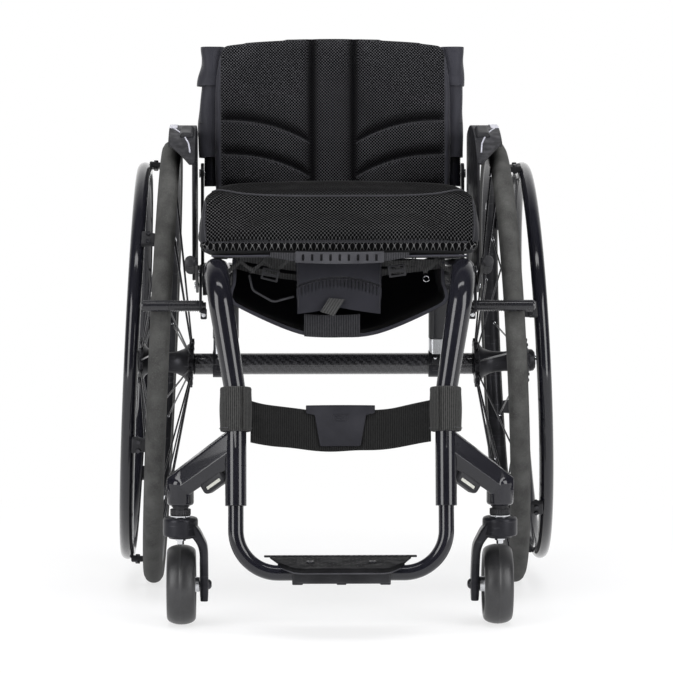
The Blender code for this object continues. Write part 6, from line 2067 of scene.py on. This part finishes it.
def back_frame():
    """The canes, the stabiliser bar between them, and the brackets on the side tubes."""
    cane = rod("back_cane_left", (CANE_X, 0, -0.018), (CANE_X, 0, CANE_TOP), CANE_RADIUS, 40)
    cut(cane, rod("cane_bore", (CANE_X - 0.03, 0, 0), (CANE_X + 0.03, 0, 0), 0.0046, 24))
    put(bevel(cane, 0.0007, 2, radians(60)), HINGE)
    keep_both(cane, GLOSS_BLACK, "backrest", ["back_cane_left"])
    reach = CANE_X - CANE_RADIUS - 0.0003
    bar = turned("back_bar", [
        (0, -reach), (0.0074, -reach), (0.008, -reach + 0.0008), (0.008, -reach + 0.016),
        (0.007, -reach + 0.018),
        (0.007, reach - 0.018), (0.008, reach - 0.016), (0.008, reach - 0.0008), (0.0074, reach), (0, reach),
    ], 36, HINGE @ Matrix.Translation((0, 0, 0.011)) @ Z_TO_X, False)
    keep(bar, ANODISED, "backrest", ["back_bar"])
    pivot_y = AXLE_Y - BACK_PIVOT_AHEAD
    base_z = seat_tube_height(BACK_PIVOT_AHEAD)
    low = base_z - SEAT_TUBE_RADIUS - 0.004
    top_z = base_z + SEAT_TUBE_RADIUS - 0.0052
    clamp = block(
        "back_bracket_left", (0.1352, pivot_y - 0.0248, low), (0.1785, pivot_y + 0.0248, top_z), 0.003, 3,
    )
    foot = [(BACK_PIVOT_AHEAD - 0.021, low + 0.002), (BACK_PIVOT_AHEAD + 0.021, low + 0.002)]
    top = arc((BACK_PIVOT_AHEAD, BACK_PIVOT_HEIGHT), 0.014, 0, pi, 14)
    upright = plate("upright", foot + top, 0.0042, from_side(0.1766), 0.0007, 2)
    for height, radius in ((0.468, 0.0085), (0.5, 0.007)):
        cut(upright, rod("window", (0.17, pivot_y, height), (0.185, pivot_y, height), radius, 32))
    ends = on_seat(SEAT_TUBE_X, -0.02, 0), on_seat(SEAT_TUBE_X, -0.2, 0)
    cut(join(clamp, upright), rod("tube_space", *ends, SEAT_TUBE_RADIUS + 0.0003, 48))
    slit = block("slit", (0.134, pivot_y - 0.03, base_z - 0.0006), (0.14, pivot_y + 0.03, base_z + 0.0006))
    keep_both(cut(clamp, slit), ANODISED, "frame", ["back_bracket_left"], 40)

    def pivot(x):
        return (x, pivot_y, BACK_PIVOT_HEIGHT)

    fixings = [rod("pin", pivot(CANE_X - CANE_RADIUS), pivot(0.1776), 0.0042, 28, 0.0004)]
    fixings.append(cap_screw("pin_head", pivot(0.1784), (1, 0, 0), 0.0062, 0.0026, 28))
    for y in (-0.016, 0.016):
        fixings.append(cap_screw("clamp_screw", (0.143, pivot_y + y, low), (0, 0, -1), 0.0034, 0.0024, 20))
    keep_both(together("back_fixings_left", *fixings), BRIGHT, "frame")


def squared(value, power):
    """The sine or cosine of a rounded box in place of a circle."""
    return copysign(abs(value) ** power, value)


def cane_cloth(name, low, high, reach, inside, flare, folds):
    """A cloth sleeve that hangs loose round the cane: its outer reach changes with the height."""
    def place(u, v):
        z = low + (high - low) * (v + 1) / 2
        outer = reach(z)
        middle, half = (outer + inside) / 2, (outer - inside) / 2
        angle = pi * u
        depth = 0.0143 + flare * hill(v, -1, 0.5)
        wave = 1 + folds * sin(3 * angle + z * 90) * (1 - v * v) * 0.5
        x = middle - half * squared(cos(angle), 0.8) * wave
        y = depth * squared(sin(angle), 0.85) * wave
        return HINGE @ Vector((x, y, z))

    flat = (2.2 * (reach(low) - inside) + 0.05, high - low)
    return cloth_panel(name, flat, (64, 26), place, 0.0013, -1.0)


def upholstery():
    """The sewn back: a panel between the canes, tension straps behind, a sleeve and a flap each side."""
    def place(u, v):
        z = 0.0975 + v * 0.073
        bow = 0.001 * sin(u * 8) * cos(v * 5)
        return HINGE @ Vector((u * 0.152, -0.012 + bow + 0.0004, z))

    panel = cloth_panel("back_upholstery", (0.304, 0.146), (30, 16), place, 0.0016)
    keep(panel, BACK_NYLON, "backrest", ["back_upholstery"])
    straps = []
    for z in (0.048, 0.092, 0.136):
        def strap_place(u, v, z=z):
            y = -0.0086 + 0.0022 * (1 - u ** 4) + 0.0004 * v
            return HINGE @ Vector((u * 0.15, y, z + v * 0.0165 + 0.0006 * sin(u * 6)))
        straps.append(cloth_panel("strap", (0.3, 0.033), (36, 4), strap_place, 0.0015))
        for x in (-0.06, 0.085):
            corners = (x - 0.004, -0.0072, z - 0.016), (x + 0.004, -0.005, z + 0.016)
            straps.append(mapped(block("strap_end", *corners, 0.0006, 1, HINGE)))
    keep(together("tension_straps", *straps), WEBBING, "backrest")

    for side, slack, name in ((1, 0.0006, "left"), (-1, 0.0075, "right")):
        def lower_reach(z, slack=slack):
            return 0.1756 + slack * (0.75 * hill(z, 0.064, 0.06) + 0.4 * hill(z, 0.02, 0.03))

        def upper_reach(z, slack=slack):
            return 0.1764 + slack * (0.75 * hill(z, 0.112, 0.036) - 0.1 * hill(z, 0.15, 0.02)) + 0.0012

        other = None if side > 0 else MIRROR_X
        lower = cane_cloth(f"back_sleeve_{name}", 0.0215, 0.124, lower_reach, SLEEVE_INSIDE, 0.001, 0.09)
        upper = cane_cloth(f"cane_flap_{name}", 0.1185, 0.1712, upper_reach, 0.148, 0.0022, 0.15)
        for sleeve, length in ((lower, 0.1025), (upper, 0.0527)):
            put(sleeve, other)
            keep(sleeve, BACK_NYLON, "backrest", (), 60)
            if other:
                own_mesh(sleeve)
        reach = lower_reach(SLEEVE_SEAM)
        middle, half = (reach + SLEEVE_INSIDE) / 2, (reach - SLEEVE_INSIDE) / 2 + 0.0006
        ring = []
        for k in range(-40, 41):
            angle = pi * k / 40
            x, y = middle - half * squared(cos(angle), 0.8), 0.0149 * squared(sin(angle), 0.85)
            ring.append(HINGE @ Vector((x, y, SLEEVE_SEAM)))
        seam = put(cording(f"sleeve_seam_{name}", ring, 0.0007), other)
        keep(seam, PIPING, "backrest")


def pad_form(u, v, w):
    """A point of the pad's cage: u across, v through from the front at -1 to the back, w up."""
    middle, half = (PAD_HIGH + PAD_LOW) / 2, (PAD_HIGH - PAD_LOW) / 2
    draw_in = 1 - 0.06 * (abs(u * w)) ** 4 * (w > 0) - 0.02 * abs(u * w) ** 5
    thick = 0.0175 * (1 - 0.3 * abs(u) ** 6) * (1 - 0.3 * abs(w) ** 8)
    top = 0.011 * u * u * max(0, w) ** 4
    y = PAD_BACK - 0.0004 - thick * (1 - v) / 2
    return Vector((u * PAD_HALF * draw_in * 0.998, y, middle + w * half * (1.045 if w > 0 else 0.995) - top))


def channel_height(x, foot):
    share = min(1, max(0, (abs(x) - CHANNEL_X) / (0.152 - CHANNEL_X)))
    return foot + 0.0325 * (1 - (1 - share) ** 2.4)


def channel_depth(place):
    """How far the sewn channels pull the cover in at this place."""
    side = abs(place.x)
    upright = 0.0072 * falloff(side - CHANNEL_X, 0.0042) + 0.0026 * falloff(side - CHANNEL_X, 0.013)
    deep = 0.0
    if side > CHANNEL_X:
        for foot in CHANNEL_FEET:
            off = place.z - channel_height(side, foot)
            deep = max(deep, CHANNEL_DEPTH * (falloff(off, 0.003) if off < 0 else falloff(off, 0.0085)))
        deep *= 1 - falloff(side - 0.154, 0.006)
    binding = 0.0012 * falloff(side - 0.1505, 0.0018)
    return max(upright, deep) + binding


def falloff(off, width):
    return 2.718 ** (-((off / width) ** 2))


def back_pad():
    """The quilted pad: filled, sewn in along its channels, piped below each curve and bound at its sides."""
    pad = cage("back_pad", (8, 1, 6), pad_form)

    def held(place):
        if place.y > PAD_BACK - 0.003:
            return 1.0
        return min(0.9, 0.75 * (channel_depth(place) / 0.006))

    stuffed(pad, 0.0045, 0.0045, held)

    def sewn(place, out):
        front = min(1, max(0, (PAD_BACK - 0.004 - place.y) / 0.008))
        wrinkle = 0.0004 * sin(place.x * 260 + place.z * 190) * hill(abs(place.x), 0.045, 0.02)
        return Vector((place.x, min(place.y + (channel_depth(place) + wrinkle) * front, PAD_BACK), place.z))

    shaped(pad, sewn)
    lines = []
    for side in (-1, 1):
        for foot in CHANNEL_FEET:
            points = []
            for k in range(31):
                x = CHANNEL_X + 0.004 + (0.1495 - CHANNEL_X - 0.004) * k / 30
                if channel_height(x, foot) > PAD_LOW + 0.006:
                    points.append((side * x, -0.1, channel_height(x, foot) - 0.0034))
            lines.append(laid_line("pad_piping", pad, points, (0, 1, 0), 0.0008))
        edge = [(side * BINDING_X, -0.1, PAD_LOW + 0.01 + 0.006 * k) for k in range(34)]
        lines.append(laid_line("binding_seam", pad, edge, (0, 1, 0), 0.0005))
    piping = put(together("pad_piping", *lines), HINGE)
    mapped(pad)

    def zone(place, normal):
        return 1 if abs(place.x) > BINDING_X or normal.y > 0.3 else 0

    # Painted shade: the crease attribute darkens the mesh's threads in the sewn channels, as deep as each
    # channel is.
    crease = pad.data.attributes.new("crease", "FLOAT", "POINT")
    for spot, vertex in zip(crease.data, pad.data.vertices):
        spot.value = min(1, channel_depth(vertex.co) / CHANNEL_DEPTH)
    put(pad, HINGE)
    keep(pad, PAD_MESH, "backrest", ["back_pad"], 60)
    shared_out(pad, [BACK_NYLON], zone, HINGE.inverted())
    keep(piping, PIPING, "backrest")


back_frame()
upholstery()
back_pad()


# Side guards

FENDER_RADIUS = 0.3165
FENDER_FROM, FENDER_TO = radians(59), radians(108)
FENDER_REACH = 0.03387
SLANT_OUTER = (GUARD_X + FENDER_REACH + 0.0006, 0.108)
SLANT_INNER = (0.1905, 0.16)


def beyond_slant(margin):
    """What lies in front of the fender's slanted front edge."""
    outer, inner = on_floor(*SLANT_OUTER, 0), on_floor(*SLANT_INNER, 0)
    run = inner - outer
    away = Vector((-run.y, run.x, 0)).normalized()
    middle = (outer + inner) / 2 + away * (0.05 + margin) + Vector((0, 0, 0.58))
    corner = block("corner", (-0.05, -0.05, -0.05), (0.05, 0.05, 0.05))
    return put(corner, Matrix.Translation(middle) @ Matrix.Rotation(atan2(run.y, run.x), 4, "Z"))


def over_tyre(outer, inner, start=FENDER_FROM, end=FENDER_TO, steps=40):
    """The side view of a strip that follows the tyre between two radii."""
    axle = (0, AXLE_HEIGHT)
    return arc(axle, outer, start, end, steps) + arc(axle, inner, end, start, steps)


def side_guard():
    """A thin shaped plate with a fender that curls out over the tyre, its front corner cut off."""
    rim = arc((0, AXLE_HEIGHT), FENDER_RADIUS, FENDER_FROM, FENDER_TO, 28)
    outline = [(-0.095, 0.405), (0.16, 0.415)] + rim
    corners = [Vector((*point, 0)) for point in outline]
    radii = [0.014, 0.008, 0.01] + [0] * (len(rim) - 2) + [0.012]
    soft = [(p.x, p.y) for p in rounded(corners, radii, True, radians(15))]
    guard = plate("side_guard_left", soft, 0.0035, from_side(GUARD_X), 0.0008, 2)
    reach = FENDER_REACH + 0.001
    band = over_tyre(FENDER_RADIUS, FENDER_RADIUS - 0.003)
    fender = plate("fender", band, reach, from_side(GUARD_X + reach / 2 - 0.001), 0.0009, 2)
    lip = over_tyre(FENDER_RADIUS + 0.0002, FENDER_RADIUS - 0.0052)
    rolled = plate("lip", lip, 0.003, from_side(GUARD_X + FENDER_REACH - 0.0017), 0.0012, 3)
    join(guard, fender, rolled)
    cut(guard, beyond_slant(0))
    boss = [
        (0.0045, 0.1686), (0.0072, 0.1686), (0.008, 0.1694), (0.008, 0.176), (0.0068, 0.1772),
        (0.0068, 0.1829), (0.0045, 0.1829),
    ]
    bosses, screws = [], []
    for ahead in (0.05, 0.13):
        y, height = AXLE_Y - ahead, seat_tube_height(ahead)
        bosses.append(turned("boss", boss, 32, Matrix.Translation((0, y, height)) @ Z_TO_X))
        screws.append(cap_screw("guard_screw", (0.1862, y, height), (1, 0, 0), 0.0048, 0.0018, 28))
        screws.append(rod("screw_shank", (0.168, y, height), (0.1866, y, height), 0.004, 20))
    whole = together("side_guard_left", guard, *bosses)
    keep_both(whole, GUARD_SATIN, "frame", ["side_guard_left"], 40)
    keep_both(together("guard_screws_left", *screws), BRIGHT, "frame")


def fender_trim():
    """Painted highlight: a pale strip in the fender's outer top and a pale bead on its slanted edge, where
    the fender catches the light; and the pad inside it.
    """
    # Painted highlight: the pale strip and bead stand for light caught by the fender's top and its slanted
    # edge.
    outline = over_tyre(FENDER_RADIUS + 0.0011, FENDER_RADIUS - 0.001, radians(82), radians(101), 20)
    pale = cut(
        plate("fender_strip_left", outline, 0.0104, from_side(0.2128), 0.0006, 2), beyond_slant(-0.002),
    )
    keep_both(pale, PAINTED_FENDER_HIGHLIGHT, "frame")
    points = []
    corners = [(0.2155, 0.034), (0.199, 0.082), (0.1914, 0.116), (0.1893, 0.14)]
    for x, ahead, _ in rounded(corners, [0, 0.03, 0.03, 0], False, radians(4)):
        points.append(on_floor(x, ahead, AXLE_HEIGHT + sqrt((FENDER_RADIUS + 0.0006) ** 2 - ahead ** 2)))
    keep_both(cording("fender_bead_left", points, 0.0011, 8), PAINTED_FENDER_HIGHLIGHT, "frame")
    pad = block("fender_pad_left", (-0.0092, -0.022, -0.005), (0.0088, 0.022, 0.0052), 0.0046, 5)
    ahead = 0.072
    seat = on_floor(0.1945, ahead, AXLE_HEIGHT + sqrt(FENDER_RADIUS ** 2 - ahead ** 2))
    tilt = Matrix.Rotation(asin(ahead / FENDER_RADIUS), 4, "X")
    keep_both(put(pad, Matrix.Translation(seat) @ tilt), MOULDED, "frame")


side_guard()
fender_trim()


# Wheel locks

LOCK_VIEW = Matrix(((0, 0, 1, 0), (1, 0, 0, 0), (0, 1, 0, 0), (0, 0, 0, 1)))
LOCK_BAR = (0.28909, 0.39112)
ARM_PIVOT = (0.27489, 0.43107)
LEVER_PIVOT = (0.25589, 0.41507)
LEVER_TIP = (0.35989, 0.45107)


def link(name, x, width, first, second, first_radius, second_radius):
    """A flat steel link with two round ends, drawn from the side and given its thickness."""
    a, b = Vector((-first[0], first[1])), Vector((-second[0], second[1]))
    run = b - a
    heading = atan2(run.y, run.x)
    lean = acos((first_radius - second_radius) / run.length)
    first_end = (a, first_radius, heading + lean, 2 * pi - 2 * lean)
    second_end = (b, second_radius, heading - lean, 2 * lean)
    outline = []
    for centre, radius, start, turn in (first_end, second_end):
        for k in range(17):
            angle = start + turn * k / 16
            outline.append((centre.x + radius * cos(angle), centre.y + radius * sin(angle)))
    return plate(name, outline, width, from_side(x, LOCK_VIEW), 0.0008, 2)


def lock_pieces():
    tyre_x = WHEEL_X - (LOCK_BAR[1] - AXLE_HEIGHT) * tan(CAMBER)
    bar_end = tyre_x + 0.0255
    bar_y, bar_z = AXLE_Y - LOCK_BAR[0], LOCK_BAR[1]
    place = Matrix.Translation((0, bar_y, bar_z)) @ Z_TO_X
    bar = turned("lock_bar", [
        (0, 0.1668), (0.0046, 0.1668), (0.0046, 0.17), (0.0066, 0.1704), (0.0066, bar_end - 0.035),
        (0.0072, bar_end - 0.0346), (0.0072, bar_end - 0.004), (0.006, bar_end - 0.0012),
        (0.004, bar_end), (0, bar_end),
    ], 36, place, False)
    rings = []
    x = 0.1738
    while x < bar_end - 0.006:
        outline = [(0.0064, x), (0.0073, x + 0.0003), (0.0073, x + 0.0013), (0.0064, x + 0.0016)]
        rings.append(turned("grip_ring", outline, 28, place))
        x += 0.0029
    arm = link("lock_arm_left", 0.1738, 0.0035, ARM_PIVOT, LOCK_BAR, 0.01, 0.0085)
    low, high = (0.1658, bar_y - 0.0062, bar_z - 0.0168), (0.1738, bar_y + 0.0062, bar_z - 0.0038)
    lug = block("bar_lug", low, high, 0.0016, 3)
    lug_screw = cap_screw(
        "lug_screw", (0.1698, bar_y - 0.0058, bar_z - 0.0112), (0, -1, 0), 0.0028, 0.0016, 20,
    )
    keep_both(lug_screw, BRIGHT, "lock_arm_left")
    arm = together("lock_arm_left", arm, lug)
    keep_both(arm, ANODISED, "lock_arm_left", ["lock_arm_left"], 40)
    keep_both(together("lock_bar_left", bar, *rings), GUARD_BLACK, "lock_arm_left")
    lever = link("lock_lever_left", 0.1782, 0.0034, LEVER_PIVOT, LEVER_TIP, 0.0095, 0.0055)
    keep_both(lever, ANODISED, "lock_lever_left", ["lock_lever_left"], 40)
    tip = Vector((0.1851, AXLE_Y - LEVER_TIP[0], LEVER_TIP[1]))
    along = Vector((0, LEVER_PIVOT[0] - LEVER_TIP[0], LEVER_TIP[1] - LEVER_PIVOT[1])).normalized()
    ribs = [(0, -0.034), (0.0058, -0.034), (0.007, -0.0328)]
    for k in range(9):
        z = -0.03 + k * 0.0036
        ribs += [(0.0074, z), (0.0074, z + 0.0022), (0.0066, z + 0.0027), (0.0066, z + 0.0032)]
    ribs += [(0.0072, 0.0026), (0.006, 0.005), (0.0034, 0.006), (0, 0.006)]
    grip = turned("lever_grip_left", ribs, 32, Matrix.Translation(tip) @ turn_to(along), False)
    keep_both(grip, MOULDED, "lock_lever_left")


def lock_mount():
    """The clamp that hangs the lock from the side tube, its plate, and the pins of the two links."""
    low = LEVER_PIVOT[1] - 0.012
    corners = [
        (-0.2435, low), (-0.244, LEVER_PIVOT[1] + 0.0105), (-0.264, ARM_PIVOT[1] + 0.011),
        (-0.286, ARM_PIVOT[1] + 0.011), (-0.2875, ARM_PIVOT[1] - 0.008), (-0.272, low),
    ]
    bends = [0.003, 0.008, 0.008, 0.008, 0.008, 0.003]
    outline = [(p.x, p.y) for p in rounded(corners, bends, True, radians(20))]
    mount = plate("lock_mount_left", outline, 0.0045, from_side(0.169, LOCK_VIEW), 0.0007, 2)
    box_low, box_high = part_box("lock_mount_left")
    y, foot, top = (box_low[1] + box_high[1]) / 2, low + 0.001, box_high[2] - 0.0004
    clamp = block("lock_clamp", (0.148, y - 0.014, foot), (0.1712, y + 0.014, top), 0.0022, 3)
    cut(clamp, seat_tube_space())
    cut(clamp, block("clamp_slit", (0.14, y - 0.02, low + 0.018), (0.153, y + 0.02, low + 0.0192)))
    screws = []
    for off in (-0.0075, 0.0075):
        screws.append(cap_screw("clamp_screw", (0.1512, y + off, foot), (0, 0, -1), 0.0032, 0.0022, 20))
    for (ahead, height), x in ((ARM_PIVOT, 0.1757), (LEVER_PIVOT, 0.1797)):
        end = (x, AXLE_Y - ahead, height)
        screws.append(cap_screw("link_pin", end, (1, 0, 0), 0.0042, 0.0022, 24))
        screws.append(rod("pin_shank", (0.1668, AXLE_Y - ahead, height), end, 0.003, 20))
    mount = together("lock_mount_left", mount, clamp)
    keep_both(mount, ANODISED, "frame", ["lock_mount_left"], 40)
    keep_both(together("lock_screws_left", *screws), BRIGHT, "frame")


lock_pieces()
lock_mount()


# Floor, lamps and background


def floor():
    """A pale seamless floor that runs out to plain white round the chair and keeps its shadow."""
    clear()
    bpy.ops.mesh.primitive_plane_add(size=40)
    ground = added("studio_floor")
    finish = Finish("pale floor", (0.9, 0.905, 0.93), 0.5, 0.0, Specular_IOR_Level=0.2)
    where = finish.place()
    cloud = finish.spread(finish.noise(where, 2.2, 3), 0.3, 0.7)
    finish.colour(finish.mix(cloud, (0.9, 0.905, 0.935), (0.93, 0.932, 0.945)))
    reach = finish.node("VectorMath", {0: where}, operation="LENGTH").outputs["Value"]
    path = finish.node("LightPath", {}).outputs
    clear_ray = finish.math("MAXIMUM", path["Is Glossy Ray"], path["Is Transmission Ray"])
    seen = finish.math("MAXIMUM", path["Is Camera Ray"], clear_ray)
    share = finish.times(seen, finish.spread(reach, 0.3, 1.1, 0.7, 1.0))
    white = finish.node("Emission", {"Color": (1, 1, 1, 1), "Strength": 1.0})
    output = finish.tree.nodes["Material Output"]
    mixed = finish.node("MixShader", {0: share, 1: finish.shader.outputs[0], 2: white.outputs[0]})
    finish.tree.links.new(mixed.outputs[0], output.inputs["Surface"])
    ground.data.materials.append(finish.material)


def lamp(name, place, target, size, power):
    data = bpy.data.lights.new(name, "AREA")
    data.shape = "RECTANGLE"
    data.size, data.size_y = size
    data.energy = power
    obj = bpy.data.objects.new(name, data)
    bpy.context.scene.collection.objects.link(obj)
    obj.location = place
    obj.rotation_euler = (Vector(target) - Vector(place)).to_track_quat("-Z", "Y").to_euler()
    return obj


def studio():
    """Two side softboxes and a large top lamp. The surround is white to the camera and dim to gloss."""
    lamp("left_softbox", (2.3, -2.4, 1.3), (0, 0, 0.4), (1.6, 2.4), 62)
    lamp("right_softbox", (-2.3, -2.4, 1.3), (0, 0, 0.4), (1.6, 2.4), 62)
    lamp("top_softbox", (0, -0.4, 3.2), (0, 0, 0), (3.0, 3.0), 84).visible_glossy = False
    lamp("overhead_strip", (0, -1.2, 2.8), (0, 0, 0.3), (2.0, 0.35), 12)
    world = bpy.data.worlds.new("white surround")
    bpy.context.scene.world = world
    world.use_nodes = True
    tree = world.node_tree
    tree.nodes.clear()

    def node(kind, inputs, **settings):
        return shader_node(tree, kind, inputs, **settings).outputs

    path = node("LightPath", {})
    heading = node("SeparateXYZ", {0: node("TexCoord", {})["Generated"]})["Y"]
    behind = node("MapRange", {"Value": heading, 1: 0.2, 2: 0.85, 3: 0.03, 4: 1.0}, clamp=True)[0]
    straight = node(
        "Math", {0: path["Is Camera Ray"], 1: path["Is Transmission Ray"]}, operation="MAXIMUM",
    )[0]
    dull = node("Background", {"Color": (1, 1, 1, 1), "Strength": 0.45})[0]
    gloss = node("Background", {"Color": (1, 1, 1, 1), "Strength": behind})[0]
    white = node("Background", {"Color": (1, 1, 1, 1), "Strength": 1.0})[0]
    shiny = node("MixShader", {0: path["Is Glossy Ray"], 1: dull, 2: gloss})[0]
    shown = node("MixShader", {0: straight, 1: shiny, 2: white})[0]
    output = tree.nodes.new("ShaderNodeOutputWorld")
    tree.links.new(shown, output.inputs["Surface"])
    bpy.context.scene.view_settings.view_transform = "Standard"


floor()
studio()
